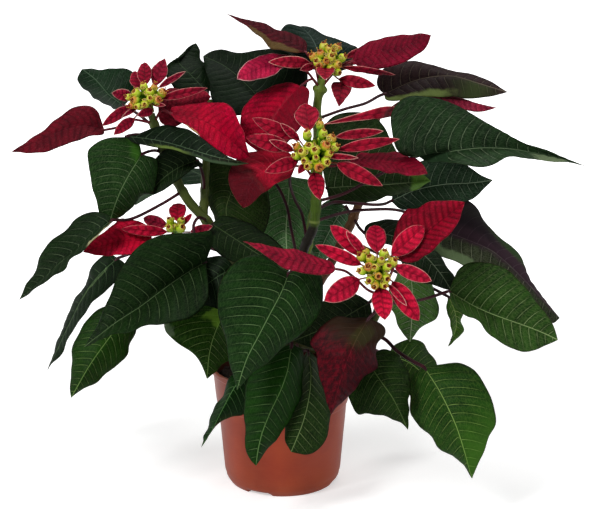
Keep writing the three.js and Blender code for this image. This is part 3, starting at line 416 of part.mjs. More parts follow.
// Small bracts of the flower heads: midrib and margins, base to tip.
const SMALL = [
  { name: "A1", head: "A", M: [[-111.8, 4, 340.2], [-112, 5.3, 342.1], [-112.2, 7.3, 344.8], [-112.4, 9.9, 347.9], [-112.7, 13.2, 351], [-112.9, 16.8, 353.7], [-113.1, 20.1, 355.8], [-113.3, 22.5, 357.2]], L: [[-112.4, 3.9, 340.2], [-114.7, 5.1, 342.1], [-117.1, 6.8, 344.9], [-118.5, 9.3, 348], [-118.5, 12.6, 351.1], [-117.5, 16.4, 353.8], [-115.6, 19.9, 355.8], [-113.3, 22.5, 357.2]], R: [[-111.2, 4, 340.3], [-109.2, 5.2, 342.5], [-107.3, 7, 345.5], [-106.4, 9.5, 348.8], [-106.9, 12.7, 351.9], [-108.5, 16.5, 354.4], [-110.7, 19.9, 356.1], [-113.3, 22.5, 357.2]] },
  { name: "A2", head: "A", M: [[-104.8, 8, 338.7], [-104, 9.2, 341], [-102.9, 11, 344.2], [-101.5, 13.4, 348], [-100, 16.6, 351.9], [-98.6, 20.2, 355.4], [-97.5, 23.6, 358.1], [-96.7, 26.1, 360]], L: [[-105.5, 8, 339], [-106.4, 9.1, 341.9], [-107.4, 10.9, 346], [-107.8, 13.5, 350.4], [-106, 16.6, 354.2], [-102.7, 20.2, 357], [-99.4, 23.5, 358.8], [-96.7, 26.1, 360]], R: [[-104.1, 7.9, 338.6], [-101.5, 8.7, 340.4], [-98.1, 10.1, 343.1], [-95, 12.3, 346.5], [-93.8, 15.5, 350.4], [-94.5, 19.5, 354.4], [-95.6, 23.2, 357.6], [-96.7, 26.1, 360]] },
  { name: "A3", head: "A", M: [[-115.3, 6, 336.6], [-116.2, 7.6, 338.1], [-117.4, 9.9, 340.2], [-118.7, 12.9, 342.6], [-120.2, 16.6, 344.9], [-121.4, 20.5, 346.8], [-122.4, 24, 348.2], [-123.1, 26.6, 349.1]], L: [[-115.9, 5.9, 336.4], [-118.3, 7.2, 337.4], [-121.4, 9.2, 338.9], [-124.3, 11.9, 340.8], [-125.5, 15.6, 343.2], [-125, 19.9, 345.7], [-124.1, 23.7, 347.6], [-123.1, 26.6, 349.1]], R: [[-114.8, 6, 336.9], [-114.2, 7.7, 339.2], [-113.6, 10, 342.3], [-113.5, 13.1, 345.5], [-115.2, 16.8, 347.7], [-118.1, 20.7, 348.7], [-120.8, 24.1, 349], [-123.1, 26.6, 349.1]] },
  { name: "A4", head: "A", M: [[-121.5, 0, 331.8], [-122.9, -0.7, 332.2], [-125, -1.6, 332.8], [-127.6, -2.6, 333.5], [-130.7, -3.4, 334.2], [-133.8, -3.8, 334.9], [-136.5, -4, 335.4], [-138.5, -4, 335.7]], L: [[-121.5, -0.2, 331.3], [-123.2, -1.5, 330.1], [-125.5, -3.1, 329], [-128.3, -4.4, 328.8], [-131.3, -5.2, 329.7], [-134.3, -5.2, 331.4], [-136.8, -4.7, 333.4], [-138.5, -4, 335.7]], R: [[-121.4, 0.1, 332.3], [-122.4, -0.4, 334.4], [-124.2, -1.1, 336.8], [-126.6, -1.9, 338.4], [-129.7, -2.7, 339], [-133.1, -3.3, 338.6], [-136.1, -3.7, 337.4], [-138.5, -4, 335.7]] },
  { name: "A5", head: "A", M: [[-123, -3, 324.9], [-124.9, -4.5, 323.8], [-127.8, -6.6, 322.2], [-131.3, -8.9, 320.1], [-135.4, -11, 317.5], [-139.6, -12.5, 314.7], [-143.2, -13.4, 312.2], [-145.9, -14, 310.3]], L: [[-122.7, -3.1, 324.5], [-123.7, -5.1, 322.3], [-125.5, -7.7, 319.5], [-128.6, -10.3, 316.8], [-132.8, -12.3, 314.3], [-137.6, -13.5, 312.2], [-142.1, -14, 310.8], [-145.9, -14, 310.3]], R: [[-123.2, -3, 325.2], [-126.1, -4.3, 325.4], [-129.8, -6.3, 325.1], [-133.8, -8.5, 323.7], [-137.8, -10.6, 321], [-141.5, -12.2, 317.4], [-144.3, -13.2, 313.7], [-145.9, -14, 310.3]] },
  { name: "A6", head: "A", M: [[-117.1, -5, 324.4], [-118.2, -6.1, 323.9], [-119.7, -7.6, 323.1], [-121.7, -9.4, 322.1], [-124.1, -11.1, 320.7], [-126.6, -12.4, 319.3], [-128.7, -13.4, 317.9], [-130.3, -14, 316.9]], L: [[-117, -5.1, 324.2], [-117.6, -6.4, 323.2], [-118.7, -8.1, 321.9], [-120.5, -10, 320.6], [-122.9, -11.6, 319.3], [-125.6, -12.9, 318.2], [-128.2, -13.6, 317.3], [-130.3, -14, 316.9]], R: [[-117.2, -5, 324.5], [-118.7, -6, 324.6], [-120.6, -7.5, 324.5], [-122.8, -9.2, 323.7], [-125.1, -10.8, 322.4], [-127.4, -12.3, 320.5], [-129.1, -13.3, 318.6], [-130.3, -14, 316.9]] },
  { name: "A7", head: "A", M: [[-119.7, -10, 316.2], [-121, -11.6, 315.4], [-122.8, -13.9, 314.2], [-125.2, -16.6, 312.7], [-128.1, -19.2, 310.7], [-131.1, -21.3, 308.4], [-133.7, -22.9, 306.3], [-135.6, -24, 304.8]], L: [[-119.4, -10.1, 315.9], [-119.5, -12.2, 314], [-120.1, -15, 311.8], [-121.9, -17.9, 309.7], [-124.9, -20.4, 307.8], [-128.6, -22.3, 306.1], [-132.3, -23.5, 305.1], [-135.6, -24, 304.8]], R: [[-120, -10, 316.5], [-122.3, -11.4, 317], [-125.2, -13.6, 317.2], [-128.2, -16.1, 316.2], [-130.9, -18.7, 314.1], [-133.3, -21, 311.1], [-134.9, -22.7, 307.8], [-135.6, -24, 304.8]] },
  { name: "A8", head: "A", M: [[-104.8, -6, 322.1], [-105.7, -7.3, 322], [-107, -9.2, 321.8], [-108.8, -11.3, 321.5], [-110.9, -13.5, 321], [-113.2, -15.5, 320.4], [-115.3, -17, 319.8], [-116.8, -18, 319.3]], L: [[-104.6, -6.1, 321.7], [-104.8, -7.9, 320.5], [-105.4, -10.2, 319.1], [-106.8, -12.6, 318.2], [-108.9, -14.7, 317.9], [-111.7, -16.4, 317.9], [-114.5, -17.5, 318.4], [-116.8, -18, 319.3]], R: [[-105, -5.9, 322.4], [-106.4, -7, 323.7], [-108.2, -8.7, 324.9], [-110.2, -10.7, 325.2], [-112.3, -13, 324.6], [-114.3, -15, 323.2], [-115.9, -16.7, 321.3], [-116.8, -18, 319.3]] },
  { name: "A9", head: "A", M: [[-105.5, -6, 327], [-104.6, -6.8, 327.1], [-103.2, -7.8, 327.1], [-101.4, -9, 327.2], [-99.3, -10.1, 327.2], [-97.1, -11, 327.1], [-95.1, -11.6, 326.9], [-93.7, -12, 326.8]], L: [[-105.5, -6, 327.2], [-104.5, -6.6, 328], [-103, -7.6, 328.8], [-101.2, -8.7, 329.2], [-99.1, -9.9, 329.1], [-96.9, -10.8, 328.5], [-95.1, -11.5, 327.8], [-93.7, -12, 326.8]], R: [[-105.6, -6.1, 326.8], [-104.8, -7.1, 326.2], [-103.5, -8.4, 325.6], [-101.8, -9.7, 325.3], [-99.7, -10.8, 325.4], [-97.4, -11.6, 325.7], [-95.3, -11.9, 326.2], [-93.7, -12, 326.8]] },
  { name: "A10", head: "A", M: [[-101.4, 6, 338.2], [-99.3, 6.2, 339.5], [-96.2, 6.6, 341.4], [-92.5, 7.4, 343.7], [-88.4, 8.7, 346], [-84.4, 10.6, 348.1], [-81.1, 12.5, 349.8], [-78.7, 14, 351]], L: [[-101.5, 6, 338.5], [-99.9, 6.4, 340.6], [-97.4, 6.9, 343.4], [-94, 7.7, 346.1], [-89.8, 9, 348.3], [-85.5, 10.8, 350], [-81.7, 12.6, 350.8], [-78.7, 14, 351]], R: [[-101.2, 5.9, 338], [-98.5, 5.8, 338.5], [-94.9, 5.9, 339.6], [-91, 6.5, 341.5], [-86.9, 7.8, 343.9], [-83.2, 9.9, 346.5], [-80.5, 12.1, 348.9], [-78.7, 14, 351]] },
  { name: "A11", head: "A", M: [[-99.4, 0, 330.1], [-95.9, -0.6, 331.1], [-90.8, -1.3, 332.5], [-84.5, -1.8, 334.1], [-77.5, -1.6, 335.7], [-70.4, -0.5, 337.1], [-64.5, 0.9, 338.1], [-60.2, 2, 338.9]], L: [[-99.5, 0.1, 330.5], [-96.3, -0.4, 332.8], [-91.5, -0.9, 335.5], [-85.4, -1.3, 337.8], [-78.3, -1.1, 339.3], [-71, -0.1, 339.9], [-64.9, 1.1, 339.7], [-60.2, 2, 338.9]], R: [[-99.3, -0.1, 329.8], [-95.5, -1.2, 329.5], [-90.1, -2.4, 329.6], [-83.7, -3.2, 330.6], [-76.7, -2.9, 332.3], [-69.8, -1.5, 334.5], [-64.2, 0.3, 336.7], [-60.2, 2, 338.9]] },
  { name: "B1", head: "B", M: [[24, 8, 358.5], [21, 6.6, 358.9], [16.7, 4.6, 359.4], [11.2, 1.9, 360], [5, -0.4, 360.5], [-1.5, -0.9, 360.6], [-7, -0.2, 360.5], [-11, -0.1, 360.5]], L: [[24, 7.8, 358], [21.1, 5.8, 356.7], [16.8, 3.1, 355.5], [11.4, 0.2, 355.2], [5.1, -2.6, 356], [-1.4, -2.8, 357.2], [-6.9, -1.1, 358.6], [-11, -0.1, 360.5]], R: [[24, 8.1, 359], [21.1, 6.9, 361.1], [16.8, 5.2, 363.5], [11.4, 3.1, 364.9], [5.1, 1.1, 365.2], [-1.4, 0.2, 364.3], [-6.9, 0.2, 362.6], [-11, -0.1, 360.5]] },
  { name: "B2", head: "B", M: [[26.4, 4, 356.6], [25.5, 3.1, 356.6], [24.2, 1.7, 356.4], [22.5, 0.2, 356.2], [20.5, -1.2, 355.8], [18.3, -2.5, 355.4], [16.4, -3.4, 354.9], [15, -4, 354.6]], L: [[26.5, 3.9, 356.3], [26.1, 2.6, 355.3], [25.2, 0.9, 354.1], [23.8, -0.8, 353.4], [21.7, -2.3, 353.2], [19.3, -3.3, 353.3], [16.9, -3.8, 353.8], [15, -4, 354.6]], R: [[26.3, 4, 356.9], [25.1, 3.3, 358], [23.5, 2.1, 358.9], [21.6, 0.7, 359.3], [19.6, -0.8, 358.8], [17.7, -2.1, 357.7], [16.1, -3.2, 356.2], [15, -4, 354.6]] },
  { name: "B3", head: "B", M: [[35.4, 2, 355.3], [35.4, -0.9, 355.5], [35.3, -5.1, 355.6], [35.3, -10.1, 355.4], [35.2, -15.8, 354.7], [35.1, -21.3, 353.2], [35, -25.8, 351.6], [35, -29.1, 350.3]], L: [[36.1, 2, 355.4], [38.8, -1, 355.8], [41.6, -5.2, 356.1], [42.9, -10.4, 356.1], [42.6, -16, 355.3], [40.8, -21.4, 353.7], [38.2, -25.9, 351.9], [35, -29.1, 350.3]], R: [[34.6, 2, 355.4], [31.9, -0.9, 356], [29.1, -5.1, 356.5], [27.7, -10.2, 356.6], [27.9, -15.8, 355.8], [29.4, -21.3, 354.1], [31.9, -25.8, 352.1], [35, -29.1, 350.3]] },
  { name: "B4", head: "B", M: [[51.1, 12, 362], [53.7, 12.1, 363], [57.6, 15.4, 364.1], [62.4, 17.1, 365.6], [67.6, 16.4, 367.7], [72.8, 15.8, 369.6], [77.1, 15.7, 371.1], [80.2, 16.3, 372.1]], L: [[50.9, 12, 362.4], [53.1, 12.4, 364.6], [56.6, 16.7, 366.7], [61.2, 19.3, 368.8], [66.5, 18.7, 370.7], [71.9, 17.5, 372], [76.6, 16.5, 372.4], [80.2, 16.3, 372.1]], R: [[51.2, 11.9, 361.7], [54.3, 11.5, 361.6], [58.7, 13.6, 361.6], [63.6, 14.4, 362.6], [68.8, 13.8, 364.8], [73.7, 14, 367.4], [77.6, 14.8, 369.9], [80.2, 16.3, 372.1]] },
  { name: "B5", head: "B", M: [[49.4, 9, 357.5], [51.7, 8.6, 358], [55.1, 9.6, 358.4], [59.3, 10, 359], [63.9, 8.7, 359.9], [68.6, 7.8, 360.6], [72.6, 7.7, 361.2], [75.5, 8, 361.5]], L: [[49.3, 9, 357.8], [51.5, 8.7, 359], [54.8, 9.2, 360.3], [59, 10.9, 361.1], [63.6, 9.4, 361.9], [68.4, 7.9, 362.3], [72.4, 7.8, 362.1], [75.5, 8, 361.5]], R: [[49.4, 8.9, 357.3], [51.8, 8.1, 357.1], [55.3, 8, 356.8], [59.5, 8.3, 357.1], [64.2, 7.3, 358], [68.8, 6.8, 359.2], [72.7, 7.3, 360.3], [75.5, 8, 361.5]] },
  { name: "B6", head: "B", M: [[48.5, 5, 355.7], [52.4, 3.3, 355.4], [58, -1.5, 355.5], [64.8, -7.4, 355.4], [72.7, -10.8, 354.8], [80.8, -11.4, 353.6], [87.9, -4.3, 351.4], [93, -2.7, 350.3]], L: [[48.5, 5, 355.9], [52.6, 3.4, 356.7], [58.3, -1.3, 357.7], [65.2, -7.5, 358.3], [73, -11.7, 357.6], [81, -12.4, 355.9], [88.1, -4.4, 352.6], [93, -2.7, 350.3]], R: [[48.4, 4.9, 355.4], [52.2, 2.9, 354.2], [57.6, -0.8, 353.1], [64.5, -5, 352.3], [72.4, -7.3, 351.6], [80.6, -7.7, 351], [87.8, -3.7, 350.1], [93, -2.7, 350.3]] },
  { name: "B7", head: "B", M: [[46.1, 4, 346], [48.7, 2.4, 345.8], [52.4, -0.4, 345.6], [57.1, -2.8, 345.2], [62.6, -3.9, 344.3], [68.3, -5, 343.4], [73.2, -5.6, 342.5], [76.7, -6, 341.8]], L: [[46.2, 4.1, 346.5], [49.1, 2.8, 348.1], [53.2, 0.6, 349.7], [58.1, -1.6, 350.2], [63.6, -3.1, 349.3], [69, -4.4, 347.2], [73.5, -5.3, 344.6], [76.7, -6, 341.8]], R: [[45.9, 3.8, 345.5], [48.1, 1.3, 343.6], [51.3, -4.3, 342.1], [55.8, -7.6, 340.9], [61.4, -6.4, 339.8], [67.4, -6.5, 339.8], [72.6, -6.4, 340.5], [76.7, -6, 341.8]] },
  { name: "B8", head: "B", M: [[49.3, 1, 344], [49.1, -1.7, 343.1], [48.8, -2.8, 341.4], [48.4, -10.6, 339.9], [47.8, -17, 337.4], [47.2, -22.5, 334.2], [46.7, -26.7, 331.1], [46.2, -29.7, 328.6]], L: [[51.8, 0.8, 343.9], [54.9, -2.2, 343], [56.9, -3.3, 341.2], [56.8, -11.2, 339.7], [55, -17.6, 337.3], [51.9, -22.9, 334.1], [48.9, -26.9, 331], [46.2, -29.7, 328.6]], R: [[46.8, 0.9, 344.6], [43.3, -2, 344.5], [41, -4.8, 343.5], [40.1, -11.3, 342], [40.8, -17.3, 339.1], [42.6, -22.6, 335.3], [44.5, -26.7, 331.6], [46.2, -29.7, 328.6]] },
  { name: "C1", head: "C", M: [[22.1, -54, 312.9], [21.8, -51, 315.1], [21.3, -46.7, 318.2], [20.7, -41.1, 321.7], [20.1, -34.5, 324.9], [19.6, -27.6, 327.2], [19.3, -21.6, 328.8], [19, -17.1, 329.7]], L: [[21.1, -54.1, 312.9], [18, -51.3, 315.1], [14.1, -47.2, 318.2], [10.8, -41.9, 321.6], [10.7, -35.3, 324.8], [13.3, -28.1, 327.2], [16.3, -21.8, 328.7], [19, -17.1, 329.7]], R: [[23.1, -54, 313.1], [25.5, -51.1, 316], [28.3, -46.8, 319.8], [30.4, -41.3, 323.9], [29.4, -34.7, 327], [25.9, -27.7, 328.7], [22.2, -21.7, 329.4], [19, -17.1, 329.7]] },
  { name: "C2", head: "C", M: [[11, -54, 307.3], [8, -54.4, 308.9], [3.6, -54.8, 311.2], [-1.9, -54.9, 314], [-8, -54.3, 316.9], [-14.1, -52.9, 319.7], [-19.2, -51.3, 321.8], [-22.9, -50, 323.4]], L: [[10.8, -54.2, 306.8], [6.8, -55.3, 306.7], [1.5, -56.4, 307.2], [-4.4, -56.9, 309.1], [-10.4, -56.2, 312.2], [-16, -54.4, 316], [-20.3, -52.1, 319.8], [-22.9, -50, 323.4]], R: [[11.3, -53.9, 307.8], [9.2, -54.1, 311.3], [5.7, -54.2, 315.5], [0.7, -54.2, 319.3], [-5.5, -53.6, 322], [-12.2, -52.4, 323.6], [-18.1, -51, 324], [-22.9, -50, 323.4]] },
  { name: "C3", head: "C", M: [[15, -57, 306.3], [13.6, -57.3, 307.6], [11.6, -57.7, 309.5], [9.1, -58, 311.9], [6.3, -57.9, 314.5], [3.4, -57.3, 317], [1, -56.6, 319], [-0.7, -56, 320.5]], L: [[14.8, -57.1, 306], [12.6, -57.8, 306.5], [9.9, -58.5, 307.6], [7, -59, 309.6], [4.2, -58.9, 312.2], [1.8, -58.1, 315.2], [0.1, -57, 318], [-0.7, -56, 320.5]], R: [[15.2, -57, 306.5], [14.6, -57.2, 308.7], [13.5, -57.5, 311.6], [11.4, -57.7, 314.3], [8.5, -57.6, 316.8], [5.1, -57.1, 318.8], [2, -56.5, 320], [-0.7, -56, 320.5]] },
  { name: "C4", head: "C", M: [[7.1, -60, 301.2], [4.2, -61.4, 302.3], [-0.2, -63.3, 303.8], [-5.6, -65.3, 305.6], [-11.9, -66.6, 307.4], [-18.4, -67.2, 309.1], [-24, -66, 310.2], [-28.3, -59.6, 310]], L: [[7, -60.2, 300.6], [3.6, -62.5, 299.5], [-1.2, -65.3, 298.8], [-6.8, -67.7, 299.5], [-13.1, -69.1, 301.6], [-19.3, -69.2, 304.6], [-24.5, -68, 307.9], [-28.3, -59.6, 310]], R: [[7.3, -59.9, 301.9], [4.9, -61, 305.2], [1.2, -62.6, 309], [-3.9, -64.4, 312], [-10.3, -65.7, 313.6], [-17.2, -65.3, 313.7], [-23.4, -60.3, 311.8], [-28.3, -59.6, 310]] },
  { name: "C5", head: "C", M: [[10.3, -63, 299.4], [8.7, -63.9, 300.3], [6.3, -65, 301.7], [3.3, -66.3, 303.3], [-0.2, -67.3, 305.1], [-3.8, -67.8, 306.8], [-6.9, -68, 308.2], [-9.3, -68.1, 309.2]], L: [[10.1, -63.1, 299.1], [8.1, -64.4, 298.9], [5.2, -66.1, 299], [2, -67.6, 300.1], [-1.4, -68.5, 301.9], [-4.8, -68.7, 304.4], [-7.5, -68.5, 306.8], [-9.3, -68.1, 309.2]], R: [[10.4, -63, 299.8], [9.4, -63.7, 301.9], [7.6, -64.7, 304.4], [4.8, -65.8, 306.6], [1.3, -66.8, 308.3], [-2.7, -67.5, 309.3], [-6.3, -67.8, 309.6], [-9.3, -68.1, 309.2]] },
  { name: "C6", head: "C", M: [[14.2, -64, 292.4], [12, -65.6, 292], [8.7, -67.8, 291.3], [4.6, -70.3, 290.4], [-0.2, -72.6, 289.2], [-5.3, -74.3, 287.7], [-9.6, -75.3, 286.3], [-12.7, -76, 285.3]], L: [[14.4, -64.2, 291.9], [12.9, -66.5, 289.7], [10.5, -69.4, 287.3], [6.7, -72.2, 285.5], [1.8, -74.4, 284.5], [-3.7, -75.7, 284.1], [-8.7, -76.1, 284.3], [-12.7, -76, 285.3]], R: [[14, -63.9, 292.9], [11.2, -65.3, 294.4], [7.3, -67.2, 295.7], [2.8, -69.6, 295.7], [-1.9, -71.9, 294.3], [-6.6, -73.7, 291.7], [-10.3, -75, 288.5], [-12.7, -76, 285.3]] },
  { name: "C7", head: "C", M: [[18.9, -68, 290], [18.5, -69, 289.7], [17.9, -70.5, 289.1], [17.1, -72.2, 288.4], [16.2, -74, 287.3], [15.1, -75.7, 286.1], [14.1, -76.9, 285], [13.4, -77.8, 284.1]], L: [[19.2, -68.1, 289.9], [19.8, -69.3, 289], [20.1, -71.1, 288], [19.8, -72.9, 287], [18.8, -74.7, 286], [17.1, -76.2, 285.1], [15.3, -77.2, 284.4], [13.4, -77.8, 284.1]], R: [[18.7, -68, 290.2], [17.4, -68.9, 290.5], [15.9, -70.3, 290.7], [14.7, -72, 290.3], [13.8, -73.8, 289.2], [13.3, -75.5, 287.5], [13.1, -76.8, 285.8], [13.4, -77.8, 284.1]] },
  { name: "C8", head: "C", M: [[26, -68, 283.6], [26.4, -70.2, 282.4], [26.9, -73.2, 280.5], [27.5, -76.8, 278.1], [28.4, -80.5, 274.9], [29.2, -83.7, 271.3], [30, -86.2, 268.1], [30.6, -88, 265.6]], L: [[26.7, -68, 283.8], [29.3, -70.3, 283.2], [32.1, -73.4, 282], [33.9, -77, 279.9], [34.5, -80.7, 276.7], [34, -83.9, 272.7], [32.6, -86.3, 268.8], [30.6, -88, 265.6]], R: [[25.3, -68.1, 283.5], [23.4, -70.6, 282.1], [21.5, -73.9, 280], [21, -77.7, 277.4], [22, -81.3, 274.2], [24.3, -84.4, 270.8], [27.3, -86.6, 267.8], [30.6, -88, 265.6]] },
  { name: "C9", head: "C", M: [[42.6, -56, 309.3], [46.1, -56.6, 309.9], [51.2, -57.2, 310.7], [57.4, -57.7, 311.6], [64.3, -57.5, 312.4], [71.3, -56.4, 313.1], [77.1, -55.1, 313.4], [81.3, -54, 313.7]], L: [[42.6, -55.9, 309.7], [45.9, -56.3, 311.7], [50.8, -56.8, 314], [56.9, -57.1, 315.6], [63.9, -56.9, 316.3], [70.9, -56, 316.1], [76.9, -54.9, 315.1], [81.3, -54, 313.7]], R: [[42.7, -56.2, 308.9], [46.4, -57.2, 308.1], [51.6, -58.5, 307.6], [57.9, -59.2, 307.8], [64.8, -58.9, 308.8], [71.7, -57.6, 310.2], [77.3, -55.7, 311.9], [81.3, -54, 313.7]] },
  { name: "C10", head: "C", M: [[44.2, -60, 299.6], [48.5, -61.1, 300.7], [54.9, -62.6, 302.2], [62.7, -63.9, 303.9], [71.5, -64.5, 305.6], [80.5, -64, 307], [88, -62.9, 308.1], [93.6, -62, 308.8]], L: [[44.1, -59.9, 300.1], [48.2, -60.8, 302.8], [54.2, -62.1, 305.9], [61.8, -63.3, 308.5], [70.8, -63.9, 310], [79.9, -63.5, 310.5], [87.7, -62.7, 310], [93.6, -62, 308.8]], R: [[44.2, -60.2, 299.2], [48.9, -61.9, 298.7], [55.5, -64, 298.7], [63.4, -65.6, 299.6], [72.3, -66.1, 301.4], [81.1, -65.2, 303.8], [88.3, -63.6, 306.3], [93.6, -62, 308.8]] },
  { name: "C11", head: "C", M: [[35.4, -66, 296], [37.6, -67.2, 296.2], [40.7, -68.9, 296.3], [44.7, -70.7, 296.5], [49.3, -72.2, 296.5], [54, -73.2, 296.4], [58.1, -73.7, 296.2], [61.1, -74, 296]], L: [[35.4, -66, 296.3], [37.6, -67, 297.3], [40.8, -68.6, 298.4], [44.8, -70.3, 299], [49.4, -71.8, 298.9], [54.1, -72.9, 298.3], [58.1, -73.6, 297.2], [61.1, -74, 296]], R: [[35.4, -66.1, 295.8], [37.5, -67.6, 295.1], [40.5, -69.6, 294.4], [44.4, -71.6, 294.1], [49, -73.1, 294.3], [53.8, -73.9, 294.6], [58, -74.1, 295.2], [61.1, -74, 296]] },
  { name: "C13", head: "C", M: [[43.3, -66, 290.4], [46.4, -68.2, 289.4], [50.8, -71.2, 287.8], [56.5, -74.6, 285.7], [63, -77.6, 283.1], [69.7, -79.8, 280.1], [75.5, -81.1, 277.4], [79.7, -82, 275.4]], L: [[43.6, -65.9, 291], [47.5, -67.9, 291.8], [52.9, -70.6, 292.3], [59, -73.9, 291.2], [65.4, -76.9, 288.3], [71.6, -79.3, 284.2], [76.5, -80.9, 279.7], [79.7, -82, 275.4]], R: [[43, -66.2, 289.9], [45.1, -69.1, 287.1], [48.5, -72.9, 283.8], [53.6, -76.6, 280.8], [60.2, -79.5, 278.3], [67.5, -81.3, 276.4], [74.3, -82, 275.4], [79.7, -82, 275.4]] },
  { name: "C14", head: "C", M: [[34.7, -52, 318.9], [40.3, -52.6, 320.2], [48.3, -53.4, 322.1], [58.1, -53.5, 324.1], [69.2, -51, 325.9], [80.4, -42.6, 326.4], [90.4, -25, 325], [97.1, -22.6, 325.8]], L: [[34.7, -51.9, 319.3], [40.1, -52.5, 321.2], [48, -53.1, 323.8], [57.6, -53.2, 326.7], [68.5, -50.8, 329.6], [79.5, -43.8, 331.3], [89.7, -26.1, 328.6], [97.1, -22.6, 325.8]], R: [[34.8, -52.1, 318.6], [40.5, -53, 319.3], [48.7, -54, 320.4], [58.7, -53.9, 321.6], [70, -50.5, 322.1], [81.8, -35.9, 320.7], [91.2, -23.2, 321.4], [97.1, -22.6, 325.8]] },
  { name: "D1", head: "D", M: [[65.4, -104, 224.8], [62.9, -104.3, 227.1], [59.5, -104.7, 230.4], [55.1, -104.8, 234.3], [50.3, -104.2, 238.6], [45.3, -102.8, 242.8], [41.2, -101.3, 246.1], [38.2, -100, 248.5]], L: [[64.9, -104.2, 224.3], [61.1, -105.2, 225.1], [56.1, -106.3, 226.8], [51, -106.7, 229.9], [46.1, -106.2, 234.2], [41.8, -104.5, 239], [39.1, -102.3, 243.9], [38.2, -100, 248.5]], R: [[65.8, -104, 225.3], [64.8, -104.1, 229.2], [62.9, -104.3, 234.2], [59.4, -104.3, 239.1], [54.5, -103.7, 243.4], [48.9, -102.5, 246.8], [43.3, -101, 248.5], [38.2, -100, 248.5]] },
  { name: "D2", head: "D", M: [[65.2, -107, 227.2], [64, -107.5, 228.9], [62.1, -108.3, 231.3], [59.8, -108.9, 234.3], [57.2, -109.2, 237.7], [54.4, -108.9, 241], [52.1, -108.4, 243.7], [50.4, -108, 245.7]], L: [[64.9, -107.1, 227], [62.8, -108, 227.9], [60, -109.1, 229.6], [57.2, -109.9, 232.2], [54.5, -110.2, 235.5], [52.2, -109.8, 239.2], [50.8, -108.9, 242.7], [50.4, -108, 245.7]], R: [[65.5, -107, 227.4], [65.2, -107.5, 229.9], [64.4, -108.1, 233.1], [62.6, -108.7, 236.6], [60, -109, 239.9], [56.8, -108.8, 242.9], [53.5, -108.4, 244.9], [50.4, -108, 245.7]] },
  { name: "D3", head: "D", M: [[62.9, -110, 219.2], [59.8, -111.5, 220.9], [55.4, -113.5, 223.4], [49.8, -115.6, 226.4], [43.3, -117.2, 229.6], [36.5, -117.9, 232.8], [30.7, -118.1, 235.3], [26.5, -118, 237.2]], L: [[62.7, -110.2, 218.7], [59, -112.3, 219], [53.9, -114.9, 219.8], [48, -117.4, 222], [41.5, -119, 225.2], [35, -119.4, 229.1], [29.9, -118.9, 233.1], [26.5, -118, 237.2]], R: [[63.1, -109.9, 219.7], [60.8, -111.2, 222.9], [57.1, -113, 227.1], [51.9, -115, 231], [45.4, -116.6, 234.2], [38.3, -117.4, 236.6], [31.8, -117.8, 237.6], [26.5, -118, 237.2]] },
  { name: "D5", head: "D", M: [[61.4, -112, 208.5], [59.1, -114.4, 207.8], [55.8, -117.7, 206.6], [51.6, -121.4, 205], [46.6, -125.1, 203], [41.3, -128.1, 200.5], [36.7, -130.3, 198.3], [33.3, -131.8, 196.6]], L: [[61.8, -112.3, 207.9], [61.1, -115.5, 204.9], [59.5, -119.8, 201.5], [56.2, -124, 198.6], [51.2, -127.7, 196.5], [45.1, -130.3, 195.2], [39, -131.6, 195.1], [33.3, -131.8, 196.6]], R: [[61, -111.9, 209.3], [57.4, -113.9, 211], [52.7, -116.9, 212.5], [47.8, -120.4, 212.3], [42.8, -124.1, 210.3], [38.1, -127.3, 206.6], [34.8, -129.8, 201.9], [33.3, -131.8, 196.6]] },
  { name: "D6", head: "D", M: [[76.7, -116, 203.2], [76.9, -118.5, 202], [77.2, -122.2, 200.1], [77.7, -126.4, 197.5], [78.2, -130.8, 194.1], [78.8, -134.8, 190.2], [79.3, -137.9, 186.7], [79.6, -140.1, 184]], L: [[77.5, -116, 203.4], [80.3, -118.7, 202.7], [83.4, -122.5, 201.4], [85.4, -126.8, 199.1], [85.9, -131.2, 195.7], [85.2, -135.1, 191.6], [83.1, -138.1, 187.5], [79.6, -140.1, 184]], R: [[75.9, -116.1, 203.2], [73.4, -118.9, 201.9], [70.9, -122.8, 199.9], [69.8, -127.2, 197.3], [70.3, -131.6, 193.9], [72.2, -135.5, 190.1], [75.4, -138.3, 186.6], [79.6, -140.1, 184]] },
  { name: "D7", head: "D", M: [[82.8, -116, 205.6], [84, -117.6, 204.7], [85.6, -119.9, 203.2], [87.7, -122.6, 201.3], [90.2, -125.2, 198.9], [92.9, -127.3, 196.3], [95.1, -128.9, 193.9], [96.8, -130, 192.1]], L: [[83, -116, 205.8], [84.8, -117.6, 205.5], [87.2, -119.8, 204.7], [89.6, -122.4, 203.1], [92.2, -125, 200.8], [94.5, -127.2, 197.8], [96.1, -128.8, 194.8], [96.8, -130, 192.1]], R: [[82.6, -116.1, 205.5], [83, -117.9, 204], [83.9, -120.5, 202.1], [85.6, -123.2, 199.9], [88.1, -125.8, 197.5], [91.1, -127.9, 195.1], [94.1, -129.2, 193.2], [96.8, -130, 192.1]] },
  { name: "D8", head: "D", M: [[86, -113, 207.2], [87.8, -115, 205], [90.3, -117.8, 201.8], [93.5, -120.9, 197.7], [97.1, -123.7, 192.7], [100.9, -125.8, 187.5], [104, -127.2, 182.9], [106.4, -128, 179.5]], L: [[86.7, -113, 207.7], [90.5, -114.9, 206.9], [95.3, -117.6, 205.3], [99.6, -120.7, 202], [103.3, -123.5, 197.1], [106, -125.6, 191.1], [107.1, -127, 185.1], [106.4, -128, 179.5]], R: [[85.4, -113.2, 206.8], [85, -115.8, 203.4], [85.2, -119.3, 198.9], [87.2, -122.8, 194], [90.8, -125.6, 189.1], [95.6, -127.4, 184.4], [100.9, -128.1, 181.1], [106.4, -128, 179.5]] },
